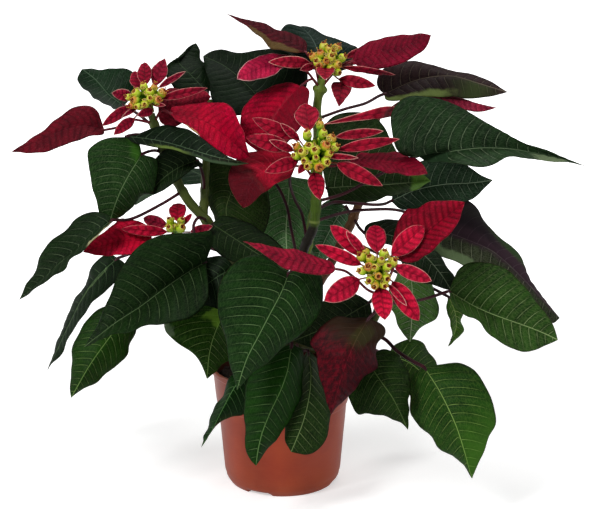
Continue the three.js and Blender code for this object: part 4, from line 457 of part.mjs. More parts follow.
  { name: "D9", head: "D", M: [[87.4, -114, 219.5], [89.9, -115.3, 218.8], [93.5, -117.1, 217.8], [98, -119, 216.4], [103.2, -120.5, 214.7], [108.5, -121.4, 212.7], [112.9, -121.8, 211], [116.2, -122, 209.7]], L: [[87.6, -113.9, 220], [90.7, -115, 221.1], [95.1, -116.5, 222], [100, -118.3, 221.6], [105.2, -119.8, 219.9], [110.1, -120.9, 217.1], [113.9, -121.5, 213.6], [116.2, -122, 209.7]], R: [[87.1, -114.2, 219], [88.9, -116.2, 216.6], [91.8, -118.6, 213.9], [95.8, -120.9, 211.6], [101, -122.5, 209.8], [106.7, -123.1, 208.7], [111.8, -122.8, 208.6], [116.2, -122, 209.7]] },
  { name: "D10", head: "D", M: [[85.3, -108, 225.9], [87.8, -107.1, 227.9], [91.5, -105.8, 230.9], [95.8, -104, 234.5], [100.6, -101.6, 238.2], [105.1, -97.8, 241.5], [108.9, -94.1, 243.9], [111.5, -91.7, 245.7]], L: [[84.7, -107.9, 226.5], [85.5, -106.8, 230.8], [87.3, -105.1, 236.1], [90.6, -103.1, 240.8], [95.3, -100.4, 244.5], [100.8, -96.8, 246.7], [106.3, -93.7, 247.1], [111.5, -91.7, 245.7]], R: [[85.9, -108.2, 225.3], [90.3, -108.2, 225.5], [96, -108.1, 226.6], [101.5, -107.3, 229.2], [106.2, -105, 233], [109.8, -100.8, 237.1], [111.7, -95.7, 241.2], [111.5, -91.7, 245.7]] },
  { name: "D12", head: "D", M: [[74.6, -104, 227.2], [74.6, -101.9, 229.1], [74.5, -98.8, 231.9], [74.4, -94.8, 234.9], [74.2, -90, 237.9], [74.2, -84.9, 240.2], [74.1, -80.5, 241.9], [74, -77.1, 243]], L: [[73.8, -104.1, 227.3], [71.1, -102.1, 229.4], [68.1, -99.2, 232.4], [66.5, -95.4, 235.5], [66.3, -90.6, 238.5], [67.6, -85.4, 240.7], [70.1, -80.7, 242.2], [74, -77.1, 243]], R: [[75.4, -104, 227.3], [78, -102.1, 229.6], [80.8, -99.1, 232.7], [82.2, -95.2, 236], [82.1, -90.5, 238.9], [80.7, -85.3, 241.1], [78, -80.7, 242.4], [74, -77.1, 243]] },
  { name: "E1", head: "E", M: [[-85.3, -18, 231.1], [-85.5, -15.8, 232.5], [-85.7, -12.6, 234.4], [-86, -8.5, 236.5], [-86.3, -3.7, 238.4], [-86.6, 1.3, 239.7], [-86.8, 5.5, 240.5], [-86.9, 8.7, 240.9]], L: [[-86, -18, 231.1], [-88.6, -16, 232.5], [-91.5, -13, 234.5], [-93.2, -9, 236.6], [-93.6, -4.2, 238.5], [-92.6, 0.9, 239.8], [-90.4, 5.3, 240.5], [-86.9, 8.7, 240.9]], R: [[-84.5, -18, 231.2], [-82.3, -15.8, 233.1], [-80.1, -12.7, 235.6], [-79, -8.6, 238], [-79.3, -3.8, 239.9], [-80.7, 1.2, 241], [-83.3, 5.5, 241.2], [-86.9, 8.7, 240.9]] },
  { name: "E2", head: "E", M: [[-93.4, -20, 228.2], [-95.5, -19.4, 228.7], [-98.5, -18.5, 229.4], [-102.1, -17.2, 230.3], [-106, -15.3, 231], [-109.7, -12.9, 231.6], [-112.7, -10.7, 232], [-114.8, -9, 232.3]], L: [[-93.6, -20.2, 227.7], [-96.3, -20.2, 226.7], [-99.9, -19.9, 225.8], [-103.9, -18.9, 225.7], [-107.8, -17, 226.5], [-111.2, -14.4, 227.8], [-113.6, -11.6, 229.7], [-114.8, -9, 232.3]], R: [[-93.3, -19.9, 228.7], [-94.9, -19.1, 230.9], [-97.4, -17.9, 233.4], [-100.8, -16.4, 235.3], [-104.7, -14.5, 236], [-108.6, -12.3, 235.8], [-112, -10.3, 234.5], [-114.8, -9, 232.3]] },
  { name: "E3", head: "E", M: [[-82.6, -22, 228.6], [-81.8, -22.1, 229.6], [-80.6, -22.2, 231], [-79.2, -22.1, 232.7], [-77.5, -21.8, 234.5], [-75.9, -21.2, 236.2], [-74.5, -20.5, 237.7], [-73.5, -20, 238.7]], L: [[-82.8, -22, 228.8], [-82.6, -22, 230.3], [-82, -22.1, 232.3], [-80.9, -22, 234.3], [-79.3, -21.7, 236.1], [-77.4, -21.1, 237.6], [-75.4, -20.5, 238.5], [-73.5, -20, 238.7]], R: [[-82.4, -22.1, 228.5], [-81, -22.4, 229], [-79.2, -22.7, 229.8], [-77.4, -22.8, 231.2], [-75.7, -22.5, 233], [-74.4, -21.8, 235], [-73.6, -20.9, 236.9], [-73.5, -20, 238.7]] },
  { name: "E4", head: "E", M: [[-75.1, -24, 224.1], [-73.6, -24.9, 224.7], [-71.2, -26.2, 225.7], [-68.3, -27.9, 226.9], [-64.8, -30.5, 228.4], [-60.8, -37.5, 231.1], [-57.7, -38.6, 232.1], [-55.5, -37.2, 232.4]], L: [[-75.2, -24, 224.4], [-74, -24.7, 226.2], [-72.1, -25.8, 228.4], [-69.3, -27.3, 230.2], [-65.8, -29.3, 231.6], [-61.9, -33.7, 233.1], [-58.3, -36.7, 233.4], [-55.5, -37.2, 232.4]], R: [[-75.1, -24.1, 223.7], [-73.2, -25.5, 223.3], [-70.7, -27.2, 223], [-67.6, -29.3, 223.6], [-64, -32.2, 225.2], [-60.1, -40.4, 228.8], [-57.3, -41, 230.9], [-55.5, -37.2, 232.4]] },
  { name: "E5", head: "E", M: [[-92.9, -28, 225.1], [-95.9, -29.8, 225.7], [-100.4, -32.3, 226.7], [-106.1, -34.9, 227.7], [-112.7, -37.2, 228.7], [-119.6, -38.7, 229.6], [-125.5, -39.5, 230.2], [-129.9, -40, 230.6]], L: [[-92.9, -28.2, 224.6], [-96, -30.5, 223.8], [-100.5, -33.6, 223.2], [-106.2, -36.6, 223.4], [-112.8, -38.9, 224.4], [-119.7, -40.1, 226], [-125.6, -40.4, 228], [-129.9, -40, 230.6]], R: [[-92.8, -27.9, 225.5], [-95.7, -29.5, 227.7], [-100.1, -31.7, 230.3], [-105.6, -34.3, 232.2], [-112.3, -36.5, 233.3], [-119.2, -38.2, 233.3], [-125.3, -39.2, 232.4], [-129.9, -40, 230.6]] },
];

// Flower heads: hub, stalk below it, and the rims of the cyathia.
const HEADS = {
  A: { name: "left", hub: [-109.1, 2, 326.5], hubR: 4.2, stalk: [[-107.3, 1.3, 318.7], [-109.1, 2, 326.5]], stalkR: [3.11, 3.11],
    cyathia: [[-119, -9.6, 330.9], [-112, -3.4, 340.6], [-103.9, -2.6, 339.6], [-97.5, -2.1, 335.4], [-106.7, -10.2, 331.8], [-101.2, -8.3, 330.7], [-121.5, -9.7, 326.8], [-110.7, -12.3, 328.1], [-118.3, -6.5, 336.1], [-123.7, -6.1, 332.4], [-116, -12.1, 326], [-107.3, -6.7, 337]] },
  B: { name: "top", hub: [35.5, 12, 353.8], hubR: 4.2, stalk: [[33.5, 11.9, 346], [35.5, 12, 353.8]], stalkR: [3.34, 3.34],
    cyathia: [[34.6, 9.1, 371.5], [32.1, 4, 366.5], [41, 3, 366.6], [44.4, 9, 370.7], [26.4, 5.8, 363.7], [29.6, 1.3, 360.3], [40.2, 0.4, 363.7], [49.2, 4.7, 363.1], [45.1, -0.3, 358.1], [40.2, -2.1, 355.9], [31.3, -0.5, 357.3], [45.1, -0.3, 352.4], [36.5, -1.1, 361.1], [38.6, 5.8, 369.5]] },
  C: { name: "center", hub: [26.5, -52, 288.3], hubR: 4.2, stalk: [[26.9, -51.7, 280.3], [26.5, -52, 288.3]], stalkR: [3.69, 3.69],
    cyathia: [[12.6, -65.4, 303.1], [11.9, -68.7, 296.6], [18.9, -72.7, 293.4], [21.3, -74.2, 289.7], [27.5, -73, 295.8], [35.3, -73, 292.7], [22.8, -68.4, 303.7], [20.5, -60.6, 311.7], [33.1, -60.1, 312.4], [30.8, -53, 318.3], [35.4, -67.1, 304.2], [39.4, -61.9, 308.8], [42.5, -65.1, 303], [17.3, -69.4, 299.9], [29.9, -74.7, 289], [26.7, -70.5, 300.9], [37.7, -70, 298.4]] },
  D: { name: "right", hub: [76.1, -102, 209], hubR: 4.2, stalk: [[76.9, -100.6, 201.2], [76.1, -102, 209]], stalkR: [3.1, 3.1],
    cyathia: [[66, -107.1, 228.8], [62.8, -109.8, 225.5], [69.6, -114.2, 225.1], [79.8, -109.6, 227.9], [72.5, -119.9, 219.5], [81.8, -117.6, 219.6], [86.7, -112.1, 222.1], [62.6, -117.8, 216.5], [68.7, -122.1, 210.6], [81, -121.1, 211.1], [72.5, -122.5, 206.7], [79.5, -121.6, 206.4], [74.8, -122.3, 213.8], [77.2, -115.7, 223.9], [67.9, -118.6, 219.9]] },
  E: { name: "small", hub: [-87.1, -18, 222.6], hubR: 3.4, stalk: [[-43.5, -11.2, 190.7], [-56.3, -11.9, 188.5], [-69.1, -13, 191.1], [-80, -14.2, 198.1], [-85.5, -15.3, 209.8], [-87.1, -18, 222.6]], stalkR: [2.6, 2.6, 2.6, 2.6, 2.6, 2.6],
    cyathia: [[-91.3, -24.4, 233.4], [-91.2, -27.6, 228.3], [-82.3, -24.4, 233.4], [-82.2, -27.6, 228.3]] },
};

// ---- helpers ----
const wasm = await Module();
wasm.setup();

function closedGeometry(rings, capStart = true, capEnd = true) {
  // rings of equal length, each a closed loop of points; joined by quads, with a fan at each end
  const n = rings[0].length;
  const pos = [];
  const idx = [];
  for (const r of rings) for (const p of r) pos.push(p.x, p.y, p.z);
  for (let i = 0; i + 1 < rings.length; i++)
    for (let j = 0; j < n; j++) {
      const a = i * n + j,
        b = i * n + ((j + 1) % n),
        c = a + n,
        d = b + n;
      // the lower half of a section takes the other diagonal, so a twisted blade keeps its thickness
      if (j < n / 2) idx.push(a, b, c, b, d, c);
      else idx.push(a, b, d, a, d, c);
    }
  const fan = (base, flip) => {
    for (let j = 1; j + 1 < n; j++)
      flip ? idx.push(base, base + j, base + j + 1) : idx.push(base, base + j + 1, base + j);
  };
  if (capStart) fan(0, false);
  if (capEnd) fan((rings.length - 1) * n, true);
  const g = new THREE.BufferGeometry();
  g.setAttribute("position", new THREE.Float32BufferAttribute(pos, 3));
  g.setIndex(idx);
  return outward(g);
}

function outward(g) {
  // faces out: turn the triangles round where the signed volume is negative
  const p = g.getAttribute("position"),
    ix = g.index.array;
  let vol = 0;
  const a = new THREE.Vector3(),
    b = new THREE.Vector3(),
    c = new THREE.Vector3();
  for (let i = 0; i < ix.length; i += 3) {
    a.fromBufferAttribute(p, ix[i]);
    b.fromBufferAttribute(p, ix[i + 1]);
    c.fromBufferAttribute(p, ix[i + 2]);
    vol += a.dot(b.cross(c));
  }
  if (vol < 0) for (let i = 0; i < ix.length; i += 3) [ix[i + 1], ix[i + 2]] = [ix[i + 2], ix[i + 1]];
  return g;
}

function toSolid(geometry) {
  let g = geometry.index ? geometry.toNonIndexed() : geometry.clone();
  for (const k of Object.keys(g.attributes)) if (k !== "position") g.deleteAttribute(k);
  g = outward(mergeVertices(g, 1e-3));
  return new wasm.Manifold(
    new wasm.Mesh({ numProp: 3, vertProperties: g.getAttribute("position").array, triVerts: new Uint32Array(g.index.array) }),
  );
}

function fromSolid(s) {
  const m = s.getMesh();
  const g = new THREE.BufferGeometry();
  const n = m.numProp,
    v = new Float32Array(m.numVert * 3);
  for (let i = 0; i < m.numVert; i++) v.set(m.vertProperties.subarray(i * n, i * n + 3), i * 3);
  g.setAttribute("position", new THREE.BufferAttribute(v, 3));
  g.setIndex(new THREE.BufferAttribute(m.triVerts, 1));
  return g;
}

function tangents(pts) {
  return pts.map((p, i) =>
    pts[Math.min(i + 1, pts.length - 1)].clone().sub(pts[Math.max(i - 1, 0)]).normalize(),
  );
}

// A tapering round stem along a smooth line, closed at both ends.
function stem(points, radii, step, sides = STEM_SIDES) {
  const curve = new THREE.CatmullRomCurve3(points.map(V), false, "centripetal");
  const n = Math.max(3, Math.round(curve.getLength() / step));
  const pts = curve.getSpacedPoints(n);
  const t = tangents(pts);
  // arc position of each given radius
  const at = [0];
  for (let i = 1; i < points.length; i++) at.push(at[i - 1] + V(points[i]).distanceTo(V(points[i - 1])));
  const total = at[at.length - 1];
  const radius = (u) => {
    const s = u * total;
    let i = 1;
    while (i < at.length - 1 && at[i] < s) i++;
    const f = (s - at[i - 1]) / (at[i] - at[i - 1]);
    return radii[i - 1] + (radii[i] - radii[i - 1]) * f;
  };
  let u = new THREE.Vector3(1, 0, 0);
  if (Math.abs(t[0].x) > 0.8) u.set(0, 1, 0);
  const rings = pts.map((p, i) => {
    u.addScaledVector(t[i], -u.dot(t[i])).normalize();
    const w = t[i].clone().cross(u);
    const r = radius(i / n);
    return Array.from({ length: sides }, (_, k) => {
      const a = (2 * Math.PI * k) / sides;
      return p.clone().addScaledVector(u, r * Math.cos(a)).addScaledVector(w, r * Math.sin(a));
    });
  });
  return closedGeometry(rings);
}

// A leaf or bract: its petiole runs on into the midrib, and the blade opens to the two margins.
// Sections of six points: left margin, midrib and right margin, above and below.
function blade(e) {
  const M = e.M.map(V),
    L = e.L.map(V),
    R = e.R.map(V);
  const t = tangents(M);
  const side = [],
    nrm = [];
  for (let i = 0; i < M.length; i++) {
    let s = L[i].clone().sub(R[i]);
    if (s.length() < 0.5) s = side.length ? side[side.length - 1].clone() : L[1].clone().sub(R[1]);
    s.addScaledVector(t[i], -s.dot(t[i])).normalize();
    side.push(s);
    nrm.push(t[i].clone().cross(s).normalize());
  }
  const rings = [];
  const pet = e.petiole.map(V);
  const tp = tangents([...pet, M[1]]);
  let n = nrm[0].clone();
  const back = [];
  for (let i = pet.length - 1; i >= 0; i--) {
    n = n.clone().addScaledVector(tp[i], -n.dot(tp[i])).normalize();
    const s = n.clone().cross(tp[i]).normalize(); // points to the left side
    const r = e.rp;
    back.push(
      [150, 90, 30, -30, -90, -150].map((deg) => {
        const a = (deg * Math.PI) / 180;
        return pet[i].clone().addScaledVector(s, -r * Math.cos(a)).addScaledVector(n, r * Math.sin(a));
      }),
    );
  }
  rings.push(...back.slice(1).reverse(), back[0]); // the last petiole section sits at the blade's base
  for (let i = 1; i < M.length; i++) {
    const last = i === M.length - 1;
    const hl = last ? M[i].clone().addScaledVector(side[i], 0.5) : L[i];
    const hr = last ? M[i].clone().addScaledVector(side[i], -0.5) : R[i];
    // each half of the blade has its own normal, because many blades are folded along the midrib
    const half = (v) => {
      const w = t[i].clone().cross(v);
      return w.length() < 0.8 ? nrm[i].clone() : w.normalize();
    };
    const nl = last ? nrm[i] : half(L[i].clone().sub(M[i])),
      nr = last ? nrm[i] : half(M[i].clone().sub(R[i]));
    const N = nl.clone().add(nr);
    if (N.length() < 0.2) N.copy(nrm[i]);
    N.normalize();
    const m = (last ? BLADE_THICK : MIDRIB_THICK - (MIDRIB_THICK - BLADE_THICK) * (i / M.length)) / 2 / Math.max(0.6, N.dot(nl)),
      q = MARGIN_THICK / 2;
    rings.push([
      hl.clone().addScaledVector(nl, q),
      M[i].clone().addScaledVector(N, m),
      hr.clone().addScaledVector(nr, q),
      hr.clone().addScaledVector(nr, -q),
      M[i].clone().addScaledVector(N, -m),
      hl.clone().addScaledVector(nl, -q),
    ]);
  }
  return closedGeometry(rings);
}

// A small bract of a flower head, on a short stalk from the hub. Sections of four points.
function smallBract(e, hub) {
  const M = e.M.map(V),
    L = e.L.map(V),
    R = e.R.map(V),
    h = V(hub);
  const t = tangents([h, ...M]).slice(1);
  const rings = [];
  const s0 = L[0].clone().sub(R[0]).normalize();
  const n0 = t[0].clone().cross(s0).normalize();
  const ring = (c, sl, sr, n, q) => [sl, c.clone().addScaledVector(n, q), sr, c.clone().addScaledVector(n, -q)];
  const h0 = h.clone().addScaledVector(M[1].clone().sub(h).normalize(), HEAD_ROOT);
  rings.push(ring(h0, h0.clone().addScaledVector(s0, 1.0), h0.clone().addScaledVector(s0, -1.0), n0, 0.8));
  M.forEach((c, i) => {
    if (![2, 4, 6, 7].includes(i)) return; // four sections are enough
    const last = i === M.length - 1;
    let s = last ? L[i - 1].clone().sub(R[i - 1]) : L[i].clone().sub(R[i]);
    s.addScaledVector(t[i], -s.dot(t[i])).normalize();
    const n = t[i].clone().cross(s).normalize();
    const l = last ? c.clone().addScaledVector(s, 0.4) : L[i];
    const r = last ? c.clone().addScaledVector(s, -0.4) : R[i];
    rings.push(ring(c, l, r, n, last ? 0.3 : SMALL_THICK / 2));
  });
  return closedGeometry(rings);
}

// A cyathium: a stalk that swells into a small cup.
function cyathium(hub, top) {
  const h = V(hub),
    p = V(top);
  const d = p.clone().sub(h).normalize();
  const u = new THREE.Vector3(1, 0, 0).addScaledVector(d, -d.x).normalize();
  const w = d.clone().cross(u);
  const ring = (c, r) =>
    Array.from({ length: CUP_SIDES }, (_, k) => {
      const a = (2 * Math.PI * k) / CUP_SIDES;
      return c.clone().addScaledVector(u, r * Math.cos(a)).addScaledVector(w, r * Math.sin(a));
    });
  const at = (s) => p.clone().addScaledVector(d, s);
  return closedGeometry([
    ring(h.clone().addScaledVector(d, HEAD_ROOT), CUP_STALK_R * 0.9),
    ring(at(-CUP_LEN * 0.25), CUP_R),
    ring(at(CUP_LEN * 0.25), CUP_R * 0.74),
  ]);
}

// ---- materials ----
const mat = (name, color, roughness, metalness = 0) => {
  const m = new THREE.MeshStandardMaterial({ color, roughness, metalness });
  m.name = name;
  return m;
};
const POT = mat("pot_plastic", 0xa5512f, 0.42);
const SOIL = mat("potting_soil", 0x1d140f, 0.95);
const STEM = mat("green_stem", 0x6f8a35, 0.55);
const LEAF = mat("leaf_green", 0x1f4420, 0.5);
const YOUNG = mat("leaf_bright", 0x2f6418, 0.5);
const MAROON = mat("leaf_maroon", 0x4a1a22, 0.5);
const BRACT = mat("bract_red", 0xa8102e, 0.55);
const HEAD = mat("flower_head", 0xb9183a, 0.55);

const plant = new THREE.Group();
plant.name = "poinsettia_in_pot";
const add = (name, geometry, material, group = plant) => {
  const m = new THREE.Mesh(geometry, material);
  m.name = name;
  group.add(m);
  return m;
};

// ---- pot ----
{
  const potGroup = new THREE.Group();
  plant.add(potGroup);
  const v2 = (x, y) => new THREE.Vector2(x, y);
  const profile = [
    v2(0, POT_FLOOR_Z),
    v2(POT_FOOT_INNER_R - 1, POT_FLOOR_Z),
    v2(POT_FOOT_INNER_R, 0),
    v2(POT_FOOT_R, 0),
    v2(48.7, 6),
    v2(49.6, 10),
    v2(POT_BODY_TOP_R, POT_COLLAR_Z - 1),
    v2(POT_BODY_TOP_R + 1.1, POT_COLLAR_Z + 0.8),
    v2(58.6, POT_HEIGHT - 6),
    v2(POT_RIM_R - 0.3, POT_HEIGHT - 5.2),
    v2(POT_RIM_R, POT_HEIGHT - 3),
    v2(POT_RIM_R - 0.9, POT_HEIGHT),
    v2(POT_RIM_R - 2.4, POT_HEIGHT - 0.4),
    v2(57.2, POT_HEIGHT - 6),
    v2(POT_BODY_TOP_R - 0.3, POT_COLLAR_Z + 0.8),
    v2(POT_BODY_TOP_R - POT_WALL, POT_COLLAR_Z - 1),
    v2(49.6 - POT_WALL, 10),
    v2(44.6, POT_FLOOR_Z + POT_WALL),
    v2(0, POT_FLOOR_Z + POT_WALL),
  ];
  let s = toSolid(new THREE.LatheGeometry(profile, 32).rotateX(Math.PI / 2));
  for (const deg of FOOT_GAPS_DEG) {
    // a wedge of the foot ring, as deep as the floor's underside
    const a0 = ((deg - FOOT_GAP_WIDTH_DEG / 2 - 90) * Math.PI) / 180,
      a1 = ((deg + FOOT_GAP_WIDTH_DEG / 2 - 90) * Math.PI) / 180;
    const shape = new THREE.Shape();
    const r0 = POT_FOOT_INNER_R - 4,
      r1 = POT_FOOT_R + 6;
    shape.moveTo(r0 * Math.cos(a0), r0 * Math.sin(a0));
    shape.lineTo(r1 * Math.cos(a0), r1 * Math.sin(a0));
    shape.lineTo(r1 * 1.03 * Math.cos((a0 + a1) / 2), r1 * 1.03 * Math.sin((a0 + a1) / 2));
    shape.lineTo(r1 * Math.cos(a1), r1 * Math.sin(a1));
    shape.lineTo(r0 * Math.cos(a1), r0 * Math.sin(a1));
    shape.closePath();
    const wedge = new THREE.ExtrudeGeometry(shape, { depth: POT_FLOOR_Z - 0.2 + 2, bevelEnabled: false }).translate(0, 0, -2);
    s = s.subtract(toSolid(wedge));
  }
  for (let i = 0; i < DRAIN_HOLES; i++) {
    const a = (2 * Math.PI * (i + 0.25)) / DRAIN_HOLES;
    const hole = new THREE.CylinderGeometry(DRAIN_HOLE_R, DRAIN_HOLE_R, 6, 8)
      .rotateX(Math.PI / 2)
      .translate(31 * Math.cos(a), 31 * Math.sin(a), POT_FLOOR_Z + 1);
    s = s.subtract(toSolid(hole));
  }
  add("pot", fromSolid(s), POT, potGroup);

  const soilProfile = [
    v2(0, POT_FLOOR_Z + POT_WALL + GAP),
    v2(44.2, POT_FLOOR_Z + POT_WALL + GAP),
    v2(49.6 - POT_WALL - 0.45, 10),
    v2(POT_BODY_TOP_R - POT_WALL - 0.45, POT_COLLAR_Z - 1),
    v2(POT_BODY_TOP_R - 0.3 - 0.5, POT_COLLAR_Z + 1),
    v2(56.1, SOIL_TOP_Z),
    v2(30, SOIL_TOP_Z + SOIL_CROWN * 0.7),
    v2(0, SOIL_TOP_Z + SOIL_CROWN),
  ];
  const bore = new THREE.CylinderGeometry(STEM_HOLE_R, STEM_HOLE_R, 60, 12)
    .rotateX(Math.PI / 2)
    .translate(0, 0, STEM_BOTTOM_Z - 0.5 + 30);
  const soil = toSolid(new THREE.LatheGeometry(soilProfile, 32).rotateX(Math.PI / 2)).subtract(toSolid(bore));
  add("soil", fromSolid(soil), SOIL, potGroup);
}

// ---- stems ----
const shoots = new THREE.Group();
plant.add(shoots);
const stemSolid = (k, step = 16) => toSolid(stem(STEMS[k].p, STEMS[k].r, step));
add("main_stem", fromSolid(stemSolid("main_stem", 18)), STEM, shoots);
add("branch_left", fromSolid(stemSolid("branch_left").add(stemSolid("branch_left_fork"))), STEM, shoots);
add("branch_center", fromSolid(stemSolid("branch_center")), STEM, shoots);
add("branch_front", fromSolid(stemSolid("branch_front")), STEM, shoots);
{
  // the right-hand branch carries a narrow red bract at its top
  const b = BLADES.bract_right_top;
  add("branch_right", fromSolid(stemSolid("branch_right").add(toSolid(blade(b)))), STEM, shoots);
}

// ---- leaves and large bracts ----
const foliage = new THREE.Group(),
  bracts = new THREE.Group();
plant.add(foliage, bracts);
for (const [name, e] of Object.entries(BLADES)) {
  if (e.head || name === "bract_right_top") continue;
  const leafy = e.kind === "leaf";
  const m = !leafy ? BRACT : name === "leaf_maroon" ? MAROON : YOUNG_LEAVES.has(name) ? YOUNG : LEAF;
  add(name, blade(e), m, leafy ? foliage : bracts);
}

// ---- flower heads: small bracts and cyathia around a hub on the shoot's tip ----
for (const [key, head] of Object.entries(HEADS)) {
  let s = toSolid(new THREE.IcosahedronGeometry(head.hubR, 0).translate(...head.hub));
  s = s.add(toSolid(stem(head.stalk, head.stalkR, 12)));
  for (const c of head.cyathia) s = s.add(toSolid(cyathium(head.hub, c)));
  for (const e of SMALL.filter((q) => q.head === key)) s = s.add(toSolid(smallBract(e, head.hub)));
  for (const [name, e] of Object.entries(BLADES)) if (e.head === key) s = s.add(toSolid(blade(e)));
  add("flower_head_" + head.name, fromSolid(s), HEAD, bracts);
}

export default plant;
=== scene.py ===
import bpy, math
import numpy as np
from mathutils import Vector, Matrix


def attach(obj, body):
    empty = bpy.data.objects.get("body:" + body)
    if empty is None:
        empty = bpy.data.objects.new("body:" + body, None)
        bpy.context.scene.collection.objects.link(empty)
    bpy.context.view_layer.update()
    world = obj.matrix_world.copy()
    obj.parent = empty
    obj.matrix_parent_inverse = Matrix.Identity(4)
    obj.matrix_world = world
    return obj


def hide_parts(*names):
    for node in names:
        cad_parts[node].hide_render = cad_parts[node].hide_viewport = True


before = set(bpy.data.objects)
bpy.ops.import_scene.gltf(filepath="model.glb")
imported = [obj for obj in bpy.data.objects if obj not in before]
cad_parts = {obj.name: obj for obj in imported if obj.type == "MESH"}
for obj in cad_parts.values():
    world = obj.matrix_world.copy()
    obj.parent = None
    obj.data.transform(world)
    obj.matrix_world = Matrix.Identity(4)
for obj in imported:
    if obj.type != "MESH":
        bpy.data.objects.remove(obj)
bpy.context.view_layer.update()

# A poinsettia in its pot. Lengths in the tables are millimetres in the CAD frame; meshes are in metres.
MM = 0.001

# stations along a blade, base to tip
TS = (0, 0.045, 0.09, 0.15, 0.22, 0.3, 0.38, 0.47, 0.56, 0.65, 0.74, 0.82, 0.89, 0.95, 1)
